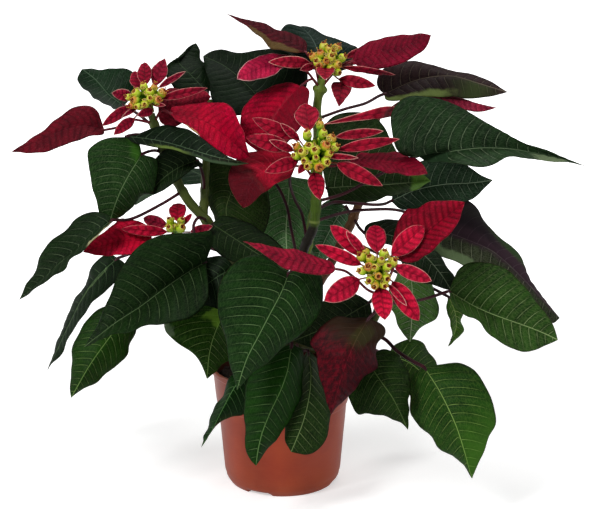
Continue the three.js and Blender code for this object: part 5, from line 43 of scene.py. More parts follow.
# leaves and large bracts, mm: kind, head, petiole radius, petiole from inside its stem to the blade, midrib, left and right margins
BLADES = {
 "bract_left_outer": ("bract", None, 1.2,
  [(-104.9,0.6,309.9),(-124,-4,313.5),(-133.8,-5,307.8),(-144.8,-6,305.5)],
  [(-144.84,-6,305.53),(-148.21,-7.18,306.92),(-151.6,-8.41,308.18),(-156.18,-10.15,309.72),(-161.51,-12.37,310.82),(-167.57,-15.31,310.37),(-173.46,-18.57,309.16),(-179.67,-22.67,307.5),(-185.64,-27.04,305.55),(-191.33,-31.69,303.41),(-197.02,-36.31,301.23),(-202.44,-40.02,299.47),(-207.29,-43.13,297.97),(-211.45,-45.8,296.69),(-214.92,-48,295.62)],
  [(-144.84,-6,305.53),(-144.91,-11.93,303.13),(-147.8,-17.26,303.05),(-152.04,-22.55,303.48),(-157.02,-27.55,303.32),(-162.7,-32.18,302.4),(-168.4,-36.03,301.15),(-174.72,-39.72,299.17),(-180.78,-42.85,296.36),(-187.36,-45.63,294.9),(-194.23,-47.78,294.83),(-200.47,-48.76,294.96),(-206.02,-49,295.18),(-210.85,-48.58,295.44),(-214.92,-48,295.62)],
  [(-144.84,-6,305.53),(-146.35,-3.41,309.46),(-147.77,-1.42,313.51),(-149.6,-0.5,319.16),(-154.98,-0.64,323.43),(-162.69,-1.99,324.93),(-170.28,-4.33,323.61),(-177.78,-7.95,319.63),(-184.54,-12.53,315.14),(-190.18,-18.17,309.6),(-196.64,-24.6,305.39),(-202.76,-30.8,302.62),(-207.71,-36.8,299.85),(-211.68,-42.76,297.5),(-214.92,-48,295.62)]),
 "bract_left_inner": ("bract", None, 1.2,
  [(-104.9,0.6,309.9),(-97.7,-3,321.5),(-91.1,-5,319.4)],
  [(-91.1,-5,319.42),(-87.72,-6.09,319.06),(-84.34,-7,318.68),(-79.86,-7.52,318.17),(-74.68,-8.2,317.39),(-68.82,-9.87,316.08),(-63.15,-12.21,314.32),(-57.19,-15.44,311.49),(-51.41,-19.98,308.39),(-45.65,-27.17,305.59),(-39.99,-35.24,302.71),(-35.15,-42.62,300.01),(-31.04,-47.6,297.27),(-27.64,-47.75,294.14),(-24.85,-46.68,291.3)],
  [(-91.1,-5,319.42),(-90.19,-1.14,323.09),(-86.41,2,324.28),(-80.6,4.29,324.23),(-73.73,5.11,325.09),(-65.7,3.51,326.32),(-57.55,-0.22,327.68),(-48.36,-6.02,328.62),(-40.4,-15.66,326.09),(-35.12,-34.14,321.81),(-31.66,-52.9,316.91),(-29.01,-63.19,311.45),(-27.09,-65.93,305.47),(-25.84,-57.3,298.15),(-24.85,-46.68,291.3)],
  [(-91.1,-5,319.42),(-88.54,-11.02,317.68),(-85.9,-15.72,315.89),(-81.71,-17.53,314.01),(-77.02,-18.31,311.39),(-72.09,-20.76,307.88),(-67.22,-23.38,304.34),(-61.67,-25.82,300.42),(-56,-28.72,296.73),(-50.13,-33.09,293.54),(-43.95,-38.06,290.99),(-38.19,-43.03,289.39),(-32.88,-46.58,288.84),(-28.41,-47.04,289.96),(-24.85,-46.68,291.3)]),
 "bract_left_back": ("bract", "A", 1.2,
  [(-109.1,2,326.5),(-101.4,3,323.8)],
  [(-101.43,3,323.81),(-99.48,3.34,324.02),(-97.54,3.69,324.21),(-94.94,4.19,324.45),(-91.91,4.84,324.73),(-88.47,5.74,325.04),(-85.04,6.72,325.42),(-81.2,7.91,325.99),(-77.37,8.95,326.67),(-73.51,9.61,327.48),(-69.63,9.88,328.32),(-66.11,9.47,329),(-63.02,9.03,329.55),(-60.39,9.04,329.94),(-58.2,9.14,330.24)],
  [(-101.43,3,323.81),(-100.68,6.52,325.48),(-99.98,9.55,327.29),(-98.93,12.09,329.96),(-97.33,14.14,333.1),(-94.21,15.77,335.78),(-89.97,16.82,336.4),(-85.08,17.56,336.22),(-80.22,17.67,335.35),(-75.29,16.95,334.72),(-70.25,15.56,334.95),(-65.74,13.54,335.25),(-61.97,11.59,334.58),(-59.75,10.22,332.35),(-58.2,9.14,330.24)],
  [(-101.43,3,323.81),(-101.43,4.33,320.6),(-101.57,5.38,317.43),(-101.46,5.9,313.35),(-99.65,6.17,309.15),(-95.21,6.54,306.43),(-90.06,7.04,305.65),(-84.52,8.12,307.38),(-79.44,9.21,310.27),(-74.5,9.9,313.51),(-69.8,10.22,317.17),(-65.85,9.83,320.86),(-62.62,9.34,324.35),(-60.19,9.21,327.55),(-58.2,9.14,330.24)]),
 "bract_top_left": ("bract", None, 1.2,
  [(31.5,12.5,336.2),(23.2,14,347.7),(16.6,15,355),(12.5,14.2,360.9)],
  [(12.54,14.18,360.89),(10.21,13.68,360.58),(7.88,13.2,360.27),(4.77,12.7,359.84),(1.16,11.99,359.29),(-2.9,10.71,358.56),(-6.91,9.17,357.74),(-11.36,7.12,356.73),(-15.74,5,355.56),(-20.03,3.11,354.09),(-24.25,1.28,352.45),(-27.93,-0.36,350.86),(-31.13,-1.79,349.42),(-33.89,-3,348.21),(-36.19,-4,347.21)],
  [(12.54,14.18,360.89),(10.9,10.19,359.65),(9.19,6.68,358.43),(6.4,3.44,357.28),(2.87,0.57,356.36),(-0.71,-1.95,354.39),(-3.99,-3.85,351.89),(-8.24,-5.46,349.83),(-12.81,-6.49,348.41),(-17.54,-6.8,347.39),(-22.33,-6.64,346.53),(-26.62,-6.23,345.93),(-30.4,-5.61,346.01),(-33.56,-4.79,346.64),(-36.19,-4,347.21)],
  [(12.54,14.18,360.89),(10.18,17.41,361.76),(7.74,20.09,362.59),(4.24,22.12,363.23),(0.05,23.24,363.69),(-4.77,23.01,364.11),(-9.58,21.69,364.29),(-14.89,19.12,363.84),(-20,15.82,362.71),(-24.84,12.06,361.04),(-29.14,7.97,358.52),(-32.42,4.15,355.68),(-34.8,0.8,352.81),(-35.91,-1.85,349.85),(-36.19,-4,347.21)]),
 "bract_top_right": ("bract", None, 1.2,
  [(31.5,12.5,336.2),(47.7,8,355.2),(57.4,5,359.8)],
  [(57.42,4.99,359.76),(60.23,4.78,360.8),(63.03,4.55,361.83),(66.78,4.22,363.22),(71.16,3.79,364.82),(76.23,3.27,366.58),(81.32,2.6,368.34),(87.06,1.44,370.34),(92.79,0.23,372.38),(98.51,-0.74,374.51),(104.24,-1.63,376.67),(109.32,-2.37,378.61),(113.77,-3,380.32),(117.59,-3.55,381.77),(120.77,-4,382.98)],
  [(57.42,4.99,359.76),(58.37,8.21,362.54),(59.27,11.05,365.4),(61.39,13.82,368.96),(65.72,16.12,371.63),(71.13,17.59,374.07),(76.71,18.05,376.18),(83.13,17.35,378.12),(89.67,15.7,379.42),(96.2,13.16,380.49),(102.65,9.9,381.74),(108.32,6.41,382.89),(113.26,2.86,383.54),(117.39,-0.77,383.36),(120.77,-4,382.98)],
  [(57.42,4.99,359.76),(60.23,2.35,358.17),(63.09,-0.02,356.6),(67.39,-2.41,355.45),(72.69,-4.54,355.21),(78.8,-5.96,355.58),(84.83,-7.2,356.66),(91.38,-9.62,358.79),(97.75,-11.38,361.39),(103.91,-10.79,364.44),(109.91,-9.22,367.73),(114.93,-7.57,371.11),(118.09,-6,375.24),(119.82,-4.89,379.37),(120.77,-4,382.98)]),
 "bract_top_rear": ("bract", None, 1.2,
  [(31.5,12.5,336.2),(26.5,12,357.1),(19.9,14,366.7)],
  [(19.92,14,366.68),(17.11,15,368.18),(14.29,16,369.69),(10.54,17.33,371.7),(6.13,18.86,374.01),(1.01,20.57,376.5),(-4.17,22.22,378.92),(-10.04,24.08,381.53),(-15.98,25.76,384.1),(-22.02,27.07,386.65),(-28.13,28.13,389.16),(-33.62,28.76,391.36),(-38.44,29.21,393.26),(-42.57,29.64,394.89),(-46.01,30,396.26)],
  [(19.92,14,366.68),(16.51,10.58,366.75),(13.11,7.81,366.76),(8.57,6.01,367.15),(3.39,5.16,368.37),(-2.51,5.35,369.76),(-8.49,6.4,370.64),(-13.49,8.32,374.79),(-17.95,10.78,379.63),(-23.24,13.53,383.65),(-28.96,16.7,387.11),(-34.3,19.92,389.77),(-38.73,23.21,392.48),(-42.66,26.78,394.59),(-46.01,30,396.26)],
  [(19.92,14,366.68),(20.61,19.02,369.49),(20.65,23.54,372.42),(18.03,28.16,375.74),(13.36,32.46,378.2),(7.14,36.17,379.26),(0.95,38.85,380.72),(-5.93,40.77,382.74),(-12.68,41.62,385.25),(-19.37,41.31,387.98),(-26.34,39.99,389.85),(-32.6,37.88,391.13),(-37.93,35.36,392.83),(-42.35,32.56,394.68),(-46.01,30,396.26)]),
 "bract_top_drooping": ("bract", None, 1.2,
  [(31.5,12.5,336.2),(24.8,6,345.6),(15.8,4,340.2)],
  [(15.82,4,340.19),(13.57,3.43,338.27),(11.33,2.85,336.35),(8.28,2.11,333.82),(4.89,1.14,330.76),(1.46,-0.29,326.94),(-1.63,-1.96,322.91),(-4.6,-4.12,318.15),(-7.29,-6.5,313.32),(-9.89,-9.08,308.55),(-12.36,-11.8,303.78),(-14.45,-14.31,299.55),(-16.24,-16.55,295.84),(-17.8,-18.43,292.66),(-19.11,-20,290.02)],
  [(15.82,4,340.19),(19.58,-2.06,340.56),(22.19,-7.3,338.95),(22.58,-11.88,334.63),(22.08,-15.65,329.33),(20.75,-18.48,323.15),(18.52,-20.21,317.04),(14.86,-21.13,310.5),(10.38,-21.32,304.33),(5.43,-20.97,298.41),(0.34,-20.38,292.54),(-4.82,-19.89,288),(-10.45,-19.61,286.6),(-15.2,-19.76,288.36),(-19.11,-20,290.02)],
  [(15.82,4,340.19),(11.71,9.68,340.84),(7.53,14.31,341.52),(1.66,17.56,341.07),(-4.98,18.99,338.99),(-12.25,17.69,336.18),(-19.09,14.51,332.9),(-25.99,9.24,328.38),(-31.48,3.18,322.63),(-33.89,-2.78,315.25),(-33.62,-8.5,307.45),(-31.66,-12.78,300.65),(-27.66,-16.05,295.75),(-22.99,-18.31,292.64),(-19.11,-20,290.02)]),
 "bract_center_left": ("bract", None, 1.2,
  [(27.3,-51.2,271.1),(19,-52,283.5),(11.8,-50,284.7)],
  [(11.82,-50,284.67),(9.12,-50.45,284.62),(6.42,-50.79,284.53),(2.8,-51.09,284.43),(-1.38,-50.82,283.97),(-6.13,-48.41,282.43),(-10.7,-46.44,280.47),(-15.69,-47.11,278.32),(-20.04,-49.42,275.67),(-23.07,-53.6,272.04),(-25.35,-58.08,267.82),(-26.88,-60.62,263.64),(-28.03,-62.26,259.76),(-29.2,-63.23,256.41),(-30.19,-63.86,253.59)],
  [(11.82,-50,284.67),(10.75,-55.97,283.64),(9.77,-61.08,282.41),(8.23,-65.49,280.41),(5.45,-68.75,278.5),(1.45,-69.92,277),(-2.46,-70.16,275.07),(-6.68,-70.87,272.68),(-10.67,-71.47,269.88),(-14.41,-72.07,266.76),(-18.16,-72.07,263.49),(-21.54,-70.72,260.28),(-24.59,-68.73,257.35),(-27.52,-66.23,255.08),(-30.19,-63.86,253.59)],
  [(11.82,-50,284.67),(10.33,-45.7,288.13),(8.64,-42,291.66),(3.81,-38.98,294.48),(-3.22,-36.31,294.8),(-11.38,-32.67,294.19),(-19.5,-30.77,293.06),(-28.28,-33.28,291.28),(-36.21,-38.01,288.02),(-41.06,-43.92,281.61),(-42.17,-50.47,273.93),(-40.1,-56.29,267.27),(-36.78,-60.74,261.9),(-33.39,-62.73,257.27),(-30.19,-63.86,253.59)]),
 "bract_center_right": ("bract", "C", 1.2,
  [(26.5,-52,288.3),(40.4,-55,285.7),(53,-56,289.2)],
  [(53.02,-56,289.15),(55.87,-56.67,289.33),(58.73,-57.31,289.49),(62.54,-58.09,289.71),(67,-58.85,289.86),(72.09,-59.66,289.84),(77.2,-59.87,289.57),(83.07,-58.25,288.8),(88.91,-56.78,287.81),(94.63,-57.01,286.75),(100.21,-58.9,285.7),(104.85,-63.62,285.04),(108.86,-68.12,284.42),(112.42,-70.1,283.54),(115.41,-71.33,282.71)],
  [(53.02,-56,289.15),(55.76,-52.96,290.43),(58.6,-50.34,291.62),(62.48,-48.2,293.28),(67.32,-46.26,294.58),(73.13,-44.79,295.01),(79.07,-41.92,294.55),(86.1,-32.62,292.44),(93.14,-24.53,290.29),(99.75,-23.27,288.82),(105.62,-28.53,287.43),(109.59,-44.46,287.6),(112.27,-60.05,287.35),(114.03,-66.97,285.03),(115.41,-71.33,282.71)],
  [(53.02,-56,289.15),(55.44,-60.62,288.67),(57.92,-64.66,288.18),(61.49,-68.35,287.76),(65.79,-71.43,287.5),(70.77,-73.71,287.1),(75.76,-74.79,286.37),(81.44,-74.25,285.01),(87.16,-73.14,283.57),(92.92,-72.4,282.51),(98.71,-72.05,282.05),(103.79,-72.94,282.23),(108.23,-73.52,282.54),(112.13,-72.54,282.68),(115.41,-71.33,282.71)]),
 "bract_right_long": ("bract", None, 1.2,
  [(77.2,-96.6,191.5),(68.1,-100,196.3),(57.7,-105,207.4),(49.7,-113,215.2),(42.6,-120,218.7)],
  [(42.6,-120,218.71),(39.43,-121.38,219.76),(36.26,-122.76,220.81),(32.03,-124.59,222.23),(27.09,-126.73,223.85),(21.42,-129.21,225.57),(15.75,-131.65,227.33),(9.36,-134.31,229.42),(3.02,-136.79,231.81),(-3.18,-138.93,234.83),(-9.36,-140.83,238.08),(-14.94,-142.3,240.9),(-19.86,-143.45,243.36),(-24.11,-144.32,245.46),(-27.66,-145,247.2)],
  [(42.6,-120,218.71),(40.31,-124.84,217.09),(36.98,-129.23,216.88),(32.18,-133.73,217.73),(26.6,-138.03,219.03),(20.32,-141.98,220.87),(14.13,-145.09,222.87),(7.33,-147.72,225.42),(0.93,-149.49,228.86),(-5.06,-150.35,232.83),(-10.77,-150.42,237.01),(-15.66,-149.72,240.81),(-20.14,-148.49,243.7),(-24.22,-146.72,245.67),(-27.66,-145,247.2)],
  [(42.6,-120,218.71),(41.19,-117.72,221.34),(39.04,-115.95,223.58),(34.71,-115.04,224.9),(29.54,-115.04,226.44),(23.86,-116.19,229.21),(18.12,-118.13,231.99),(11.4,-121,234.25),(4.6,-124.32,235.96),(-2.11,-127.8,237.99),(-8.75,-131.56,240.29),(-14.61,-135.18,242.41),(-19.7,-138.64,244.29),(-24.05,-142.03,245.92),(-27.66,-145,247.2)]),
 "bract_right_large": ("bract", None, 1.2,
  [(77.1,-97,192.3),(84.1,-92,202.2),(88.4,-95,214.4),(89.6,-99.7,223.7)],
  [(89.62,-99.66,223.66),(92.11,-98.58,225.26),(94.61,-97.5,226.87),(97.94,-96.03,229.02),(101.79,-94.35,231.55),(106.08,-92.48,234.52),(110.34,-90.86,237.58),(115.12,-89.54,241.18),(119.9,-88.58,244.89),(124.72,-88.03,248.7),(129.55,-87.65,252.56),(133.85,-87.21,255.96),(137.62,-86.79,258.93),(140.85,-86.37,261.46),(143.54,-86,263.56)],
  [(89.62,-99.66,223.66),(88.29,-94.24,225.93),(87.16,-89.57,228.52),(87.36,-85.6,232.88),(88.94,-82.38,238.19),(91.5,-79.9,244.3),(94.37,-78.4,250.5),(99.4,-77.54,256),(107.11,-77.49,257.21),(113.93,-78.32,261.19),(121.55,-79.71,262.68),(128.38,-81.24,263.45),(134.33,-82.85,264.07),(139.38,-84.51,263.92),(143.54,-86,263.56)],
  [(89.62,-99.66,223.66),(92.15,-103.65,222.33),(94.87,-106.93,221.05),(99.29,-109.2,220.41),(104.37,-110.42,222.34),(109.55,-110.34,225.94),(115.21,-109.42,228.6),(120.61,-108.07,233.01),(125.67,-106.13,237.71),(130.53,-103.51,242.5),(135.29,-100.25,247.28),(138.61,-96.73,252.07),(140.53,-93.12,256.63),(142.19,-89.36,260.42),(143.54,-86,263.56)]),
 "bract_small_left": ("bract", "E", 1.2,
  [(-87.1,-18,222.6),(-94.9,-24,219),(-105.9,-30,218.8)],
  [(-105.9,-30,218.83),(-108.4,-30.92,219),(-110.9,-31.84,219.17),(-114.24,-33.03,219.43),(-118.13,-34.45,219.7),(-122.56,-36.13,219.93),(-126.95,-37.92,220.02),(-131.78,-40.17,219.9),(-136.55,-42.53,219.57),(-141.29,-44.91,219.01),(-146,-47.3,218.25),(-150.16,-49.37,217.31),(-153.78,-51.17,216.39),(-156.89,-52.71,215.62),(-159.48,-54,214.96)],
  [(-105.9,-30,218.83),(-106.21,-35.25,217.28),(-106.47,-39.9,215.57),(-107.55,-44.3,213.06),(-111.13,-48.25,212.18),(-115.87,-51.6,212.49),(-120.67,-54.11,212.62),(-126.15,-56.22,212.86),(-131.68,-57.63,213.06),(-137.28,-58.33,213.19),(-142.96,-58.37,213.19),(-148.06,-57.78,213.2),(-152.53,-56.76,213.64),(-156.31,-55.36,214.37),(-159.48,-54,214.96)],
  [(-105.9,-30,218.83),(-106.35,-27.44,221.79),(-106.76,-25.42,224.89),(-108.9,-24.33,228.8),(-113.6,-24.09,231.5),(-119.29,-24.79,234.01),(-125.16,-26.2,235.89),(-131.75,-28.41,236.55),(-136.68,-31.18,232.35),(-141.53,-34.47,228.26),(-147.13,-38.32,225.46),(-151.9,-42.37,222.94),(-155.5,-46.4,220.24),(-157.74,-50.43,217.36),(-159.48,-54,214.96)]),
 "bract_right_top": ("bract", None, 1.2,
  [(79.4,33,306.4),(100.9,42,321.3),(120.1,41,325.8)],
  [(120.12,41,325.76),(122.87,40.48,325.58),(125.62,39.97,325.41),(129.3,39.35,325.2),(133.59,38.59,324.94),(138.48,37.64,324.61),(143.31,36.52,324.2),(148.62,34.93,323.58),(153.85,33.08,322.87),(158.97,30.87,322.11),(164.05,28.53,321.34),(168.59,26.54,320.7),(172.55,24.8,320.14),(175.94,23.27,319.67),(178.76,22,319.27)],
  [(120.12,41,325.76),(122.98,42.76,326.11),(125.81,44.22,326.6),(129.56,45.29,327.25),(133.98,45.87,327.48),(138.97,45.83,326.85),(143.83,45.09,325.81),(149.14,43.41,324.52),(154.26,41.05,322.93),(159.29,38.02,321.42),(164.26,34.51,320.05),(168.68,31.11,319.02),(172.59,27.86,318.57),(175.96,24.73,318.88),(178.76,22,319.27)],
  [(120.12,41,325.76),(122.35,38.26,324.67),(124.68,35.87,323.65),(128.14,33.68,322.87),(132.38,31.82,322.48),(137.25,30.47,321.76),(142,29.58,320.31),(147.26,28.89,318.29),(152.54,28.3,316.32),(157.99,27.54,314.97),(163.55,26.63,314.62),(168.44,25.59,315.3),(172.57,24.46,316.55),(175.98,23.17,317.94),(178.76,22,319.27)]),
 "leaf_top_left": ("leaf", None, 1.5,
  [(-103.8,0.3,306),(-118.5,8,316.3),(-130.7,16,321.6)],
  [(-130.65,16,321.57),(-132.36,17.21,322.54),(-134.08,18.42,323.51),(-136.39,20.05,324.75),(-139.06,21.94,326.24),(-142.07,24.06,328.08),(-144.95,26.16,330.11),(-147.82,28.54,332.84),(-150.63,30.8,335.74),(-153.57,32.86,338.65),(-156.69,34.66,341.53),(-159.83,35.82,343.89),(-162.71,36.67,345.89),(-165.16,37.4,347.61),(-167.21,38,349.04)],
  [(-130.65,16,321.57),(-133.87,23.23,319.36),(-137.01,29.59,317.24),(-141.13,35.6,315.64),(-145.61,40.81,315.93),(-150.14,44.85,317.57),(-154.33,47.35,319.76),(-158.6,48.61,322.86),(-162.52,48.58,326.41),(-166.64,47.34,329.7),(-170.12,45.26,333.68),(-171.41,42.81,338.47),(-170.72,40.56,342.93),(-169.05,39.11,346.41),(-167.21,38,349.04)],
  [(-130.65,16,321.57),(-128.81,21,323.3),(-126.82,25.13,325.16),(-124.13,27.94,328.3),(-121.66,29.81,332.77),(-120.03,31,338.52),(-121.23,32.04,344.35),(-126.2,34.25,348.58),(-133.23,36.73,349.4),(-140.42,39.4,349.31),(-147.59,41.54,348.93),(-153.82,42.03,348.81),(-159.16,41.48,348.76),(-163.59,39.81,348.87),(-167.21,38,349.04)]),
 "leaf_top_curled": ("leaf", None, 1.5,
  [(-59.7,26.7,319.9),(-62.8,33,324.6),(-61.8,32,330.6)],
  [(-61.84,32,330.63),(-63.99,33.27,332.56),(-66.15,34.53,334.49),(-69.03,36.24,337.06),(-72.39,38.18,340.07),(-76.38,40.1,343.61),(-80.2,42.34,347),(-84.63,45.91,350.36),(-87.52,50.16,353.45),(-86.59,55.2,356.39),(-83.9,60.43,359.11),(-80.9,64.62,361.23),(-77.96,68.21,363),(-75.66,71.36,364.59),(-73.76,74,365.92)],
  [(-61.84,32,330.63),(-64.14,28.48,328.14),(-66.66,25.62,325.75),(-71.54,23.75,325.16),(-77.28,22.84,326.94),(-83.42,22.74,330.02),(-88.81,23.99,334.17),(-93.65,27.36,339.85),(-96.6,32.31,346.39),(-95.45,38.9,352.93),(-89.07,46.56,355.38),(-83.79,53.82,358.39),(-81.01,60.84,362.62),(-77.49,67.84,365.04),(-73.76,74,365.92)],
  [(-61.84,32,330.63),(-59.98,37.66,330.69),(-58.03,42.52,330.77),(-55.33,46.66,331.38),(-53.42,49.86,333.63),(-55.76,51.5,336.89),(-58.3,52.64,340.11),(-61.02,54.69,343.77),(-63.76,57.38,347.34),(-66.55,61.38,350.74),(-69.27,65.67,354.18),(-70.6,68.95,357.77),(-70.92,71.45,361.15),(-72.24,72.95,363.85),(-73.76,74,365.92)]),
 "leaf_top_middle": ("leaf", None, 1.5,
  [(-60.1,25.4,315.3),(-41.7,26,313.1),(-23.4,28,314.4),(-13.4,30,319.2)],
  [(-13.42,30,319.15),(-15.48,31.48,321.23),(-17.55,32.95,323.31),(-20.27,34.89,326.12),(-23.48,37.07,329.37),(-27.25,39.36,333.03),(-31.12,41.52,336.61),(-35.58,43.64,340.57),(-40.25,45.97,344.28),(-45.26,49.18,347.53),(-50.54,52.53,350.39),(-55.57,55.03,352.47),(-60.09,57.04,354.13),(-63.94,58.66,355.59),(-67.16,59.96,356.8)],
  [(-13.42,30,319.15),(-17.01,22.44,319.15),(-20.54,16.3,318.76),(-25.34,12.36,317.54),(-31.18,10.49,316.21),(-38.15,10.98,315.92),(-45.07,13.13,316.87),(-52.37,16.44,319.45),(-57.45,20.93,324.77),(-59.77,26.75,331.42),(-60.84,33.63,338.24),(-63.43,40.63,343.87),(-65.33,47.48,348.86),(-66.35,54.13,353.19),(-67.16,59.96,356.8)],
  [(-13.42,30,319.15),(-6.81,34.14,319.63),(-0.11,37.5,319.96),(8.79,39.45,321.35),(17.49,40.6,326.85),(21.6,41.36,338.07),(19.94,42.53,349.81),(11.08,45.89,359.31),(-1.46,49.97,363.91),(-15.13,54.3,363.82),(-28.8,58.18,361.47),(-41.02,60.26,360.84),(-51.65,61.14,361.95),(-60.56,60.72,360.54),(-67.16,59.96,356.8)]),
 "leaf_top_rear": ("leaf", None, 1.5,
  [(30.8,12.8,332.6),(31.5,20,342.6),(29.9,26.2,350)],
  [(29.92,26.25,349.98),(30,28.88,351.2),(30.09,31.51,352.41),(30.28,35.11,353.98),(30.43,39.12,355.87),(30.37,43.01,358.22),(30.03,46.71,360.72),(29.23,51.06,363.75),(28.02,55.36,366.85),(26.36,59.54,369.93),(24.19,63.56,372.9),(21.57,66.87,375.29),(19.02,69.66,377.29),(16.84,72.03,379),(15,74,380.42)],
  [(29.92,26.25,349.98),(26.76,35.51,348.78),(23.53,43.45,347.63),(19.18,50.22,346.91),(14.28,55.37,347.61),(9.35,57.96,350.47),(5.03,59.04,354.34),(0.85,59.88,359.38),(-2.36,60.71,365.07),(-3.6,62.37,371.31),(-1.89,64.57,377.39),(2.05,67.12,381.28),(7,69.66,382.29),(11.38,71.99,381.44),(15,74,380.42)],
  [(29.92,26.25,349.98),(34.45,33.06,348.25),(38.97,38.87,346.54),(45.07,43.54,345.42),(51.98,47.18,346.59),(59.15,49.63,350.01),(63.43,51.76,356.35),(63.48,55.43,364.9),(56.52,59.66,368.31),(47.67,64.7,368.79),(39.59,69.52,372.35),(32.38,72.63,375.74),(26.01,74.39,378.75),(20.11,74.43,380.32),(15,74,380.42)]),
 "leaf_left_folded": ("leaf", None, 1.5,
  [(-97.8,-1.1,288.1),(-106.1,-8,296.1),(-115.5,-11.6,302.6),(-126,-20,303.2)],
  [(-125.97,-19.96,303.21),(-121.42,-19.65,302.65),(-116.87,-19.46,302.08),(-110.79,-19.38,301.23),(-103.67,-19.93,300.17),(-95.5,-21.78,298.79),(-87.33,-24.99,297.4),(-78.12,-31.37,296.02),(-68.98,-37.95,294.58),(-60.07,-42.16,292.72),(-51.23,-45.61,290.91),(-43.29,-48.77,289.86),(-36.34,-51.27,289.06),(-30.4,-52.96,288.26),(-25.46,-54.23,287.57)],
  [(-125.97,-19.96,303.21),(-121.66,-14.24,302.96),(-117.21,-9.77,303.11),(-111.12,-7.54,304.89),(-103.89,-7.27,307.69),(-95.27,-8.67,310.25),(-86.29,-12.19,309.85),(-76.18,-20.01,309.31),(-67.58,-28.23,305.35),(-59.33,-33.33,300.68),(-51.23,-37.53,295.78),(-43.91,-41.16,291.63),(-37.13,-44.86,288.76),(-30.86,-49.71,287.69),(-25.46,-54.23,287.57)],
  [(-125.97,-19.96,303.21),(-122.5,-24.39,300.48),(-118.14,-28.23,298.93),(-111.76,-31.45,298.31),(-104.46,-34.44,297.23),(-96.07,-37.89,296.39),(-87.69,-41.36,295.69),(-78.3,-45.74,294.84),(-69.32,-50.01,292.78),(-60.77,-53.94,289.68),(-51.73,-56.95,288.03),(-43.62,-57.95,287.07),(-36.5,-57.65,286.92),(-30.46,-56.04,287.16),(-25.46,-54.23,287.57)]),
 "leaf_left_upper": ("leaf", None, 1.5,
  [(-96.2,-1.3,284.3),(-101.7,-3,287.5),(-107.6,-11,289),(-113.6,-17.1,287.8)],
  [(-113.61,-17.09,287.78),(-114.86,-19.94,286.01),(-116.14,-22.48,284.17),(-117.94,-24.81,281.51),(-120.04,-27.22,278.32),(-122.37,-30.41,274.7),(-124.64,-33.42,270.96),(-127.14,-36.24,266.5),(-129.54,-38.54,261.76),(-131.74,-40.42,256.7),(-133.89,-41.13,251.21),(-135.96,-38.97,245.53),(-137.68,-37.02,240.48),(-138.82,-37.69,236.66),(-139.67,-38.82,233.6)],
  [(-113.61,-17.09,287.78),(-110.16,-15.69,286.28),(-106.64,-14.52,284.93),(-102.57,-13.44,281.96),(-101.04,-12.98,276.12),(-101.17,-14.02,269.41),(-102.15,-15.84,262.94),(-105.71,-18.28,256.76),(-112.28,-21.07,253.74),(-117.8,-24.23,249.27),(-123.28,-27.27,244.73),(-128.44,-28.72,240.61),(-132.98,-30.6,237.3),(-136.68,-34.71,235.18),(-139.67,-38.82,233.6)],
  [(-113.61,-17.09,287.78),(-114.85,-15.21,292.84),(-116.38,-14.2,297.96),(-122.35,-15.36,301.52),(-130.53,-18.38,302.09),(-139.57,-23.87,302.15),(-148.18,-29.46,300.22),(-155.37,-33.84,293.84),(-154.9,-37.16,283.56),(-153.45,-39.72,273.18),(-151.99,-40.72,262.47),(-149.38,-38.19,252.6),(-147.4,-35.97,243.81),(-143.97,-37.11,237.64),(-139.67,-38.82,233.6)]),
 "leaf_left_inner": ("leaf", None, 1.5,
  [(-65,7.4,252.3),(-64.9,-5,266.9),(-68.6,-9,281.1)],
  [(-68.59,-9,281.14),(-70.7,-9.52,280.49),(-72.82,-10.01,279.83),(-75.65,-10.62,278.96),(-78.92,-11.17,277.81),(-82.58,-11.6,276.17),(-86.18,-11.48,274.2),(-90.23,-9.74,271.4),(-94.1,-8.26,268.4),(-97.56,-8.98,265.55),(-100.8,-10.47,262.66),(-103.55,-11.82,259.99),(-105.9,-13.03,257.6),(-107.97,-13.88,255.56),(-109.7,-14.54,253.85)],
  [(-68.59,-9,281.14),(-66.45,-10.59,279.7),(-64.31,-12.15,278.26),(-65.08,-14.25,276.36),(-69.12,-16.39,276.23),(-73.58,-18.22,275.24),(-77.14,-19.21,272.23),(-81.12,-18.64,268.28),(-85.7,-17.61,264.96),(-90.4,-17.22,262.02),(-95.12,-16.92,259.11),(-99.16,-16.65,256.27),(-102.97,-16.24,254.24),(-106.63,-15.39,253.82),(-109.7,-14.54,253.85)],
  [(-68.59,-9,281.14),(-70.59,-9.52,284.08),(-72.43,-10.01,287.13),(-75.16,-10.61,290.96),(-79.69,-11.15,293.71),(-85.78,-11.55,293.73),(-91.74,-11.39,292.05),(-97.92,-9.48,288.13),(-103.11,-7.91,282.88),(-107.18,-8.82,277.31),(-110.1,-10.58,271.25),(-112.31,-12.09,265.68),(-113.82,-13.34,260.66),(-112.46,-14.05,256.49),(-109.7,-14.54,253.85)]),
 "leaf_left_outer": ("leaf", None, 1.5,
  [(-82.6,-4.3,253.5),(-99.8,-18,245.4),(-122.4,-32,237),(-136,-49.1,240.3)],
  [(-135.98,-49.13,240.25),(-139.15,-51.58,238.36),(-142.36,-53.49,236.26),(-146.81,-53.94,232.78),(-151.92,-54.49,228.54),(-157.26,-57.71,223.94),(-162.6,-61.65,219.54),(-169.07,-66.05,215.13),(-175.61,-70.26,210.56),(-181.88,-73.79,205.1),(-188.2,-76.79,199.33),(-194.11,-78.8,194.27),(-199.41,-80.21,189.84),(-204,-81.23,186.06),(-207.86,-82,182.92)],
  [(-135.98,-49.13,240.25),(-137.56,-57.4,238.38),(-139.74,-64.66,236.71),(-143.37,-71.17,234.13),(-147.98,-77.12,231.01),(-152.68,-83.28,226.65),(-157.73,-88.26,222.3),(-164.43,-92.28,218.03),(-169.75,-94.77,211.68),(-177.1,-95.55,207.1),(-183.98,-94.79,200.92),(-190.66,-92.56,195.38),(-197.21,-89.46,190.96),(-202.97,-85.62,186.66),(-207.86,-82,182.92)],
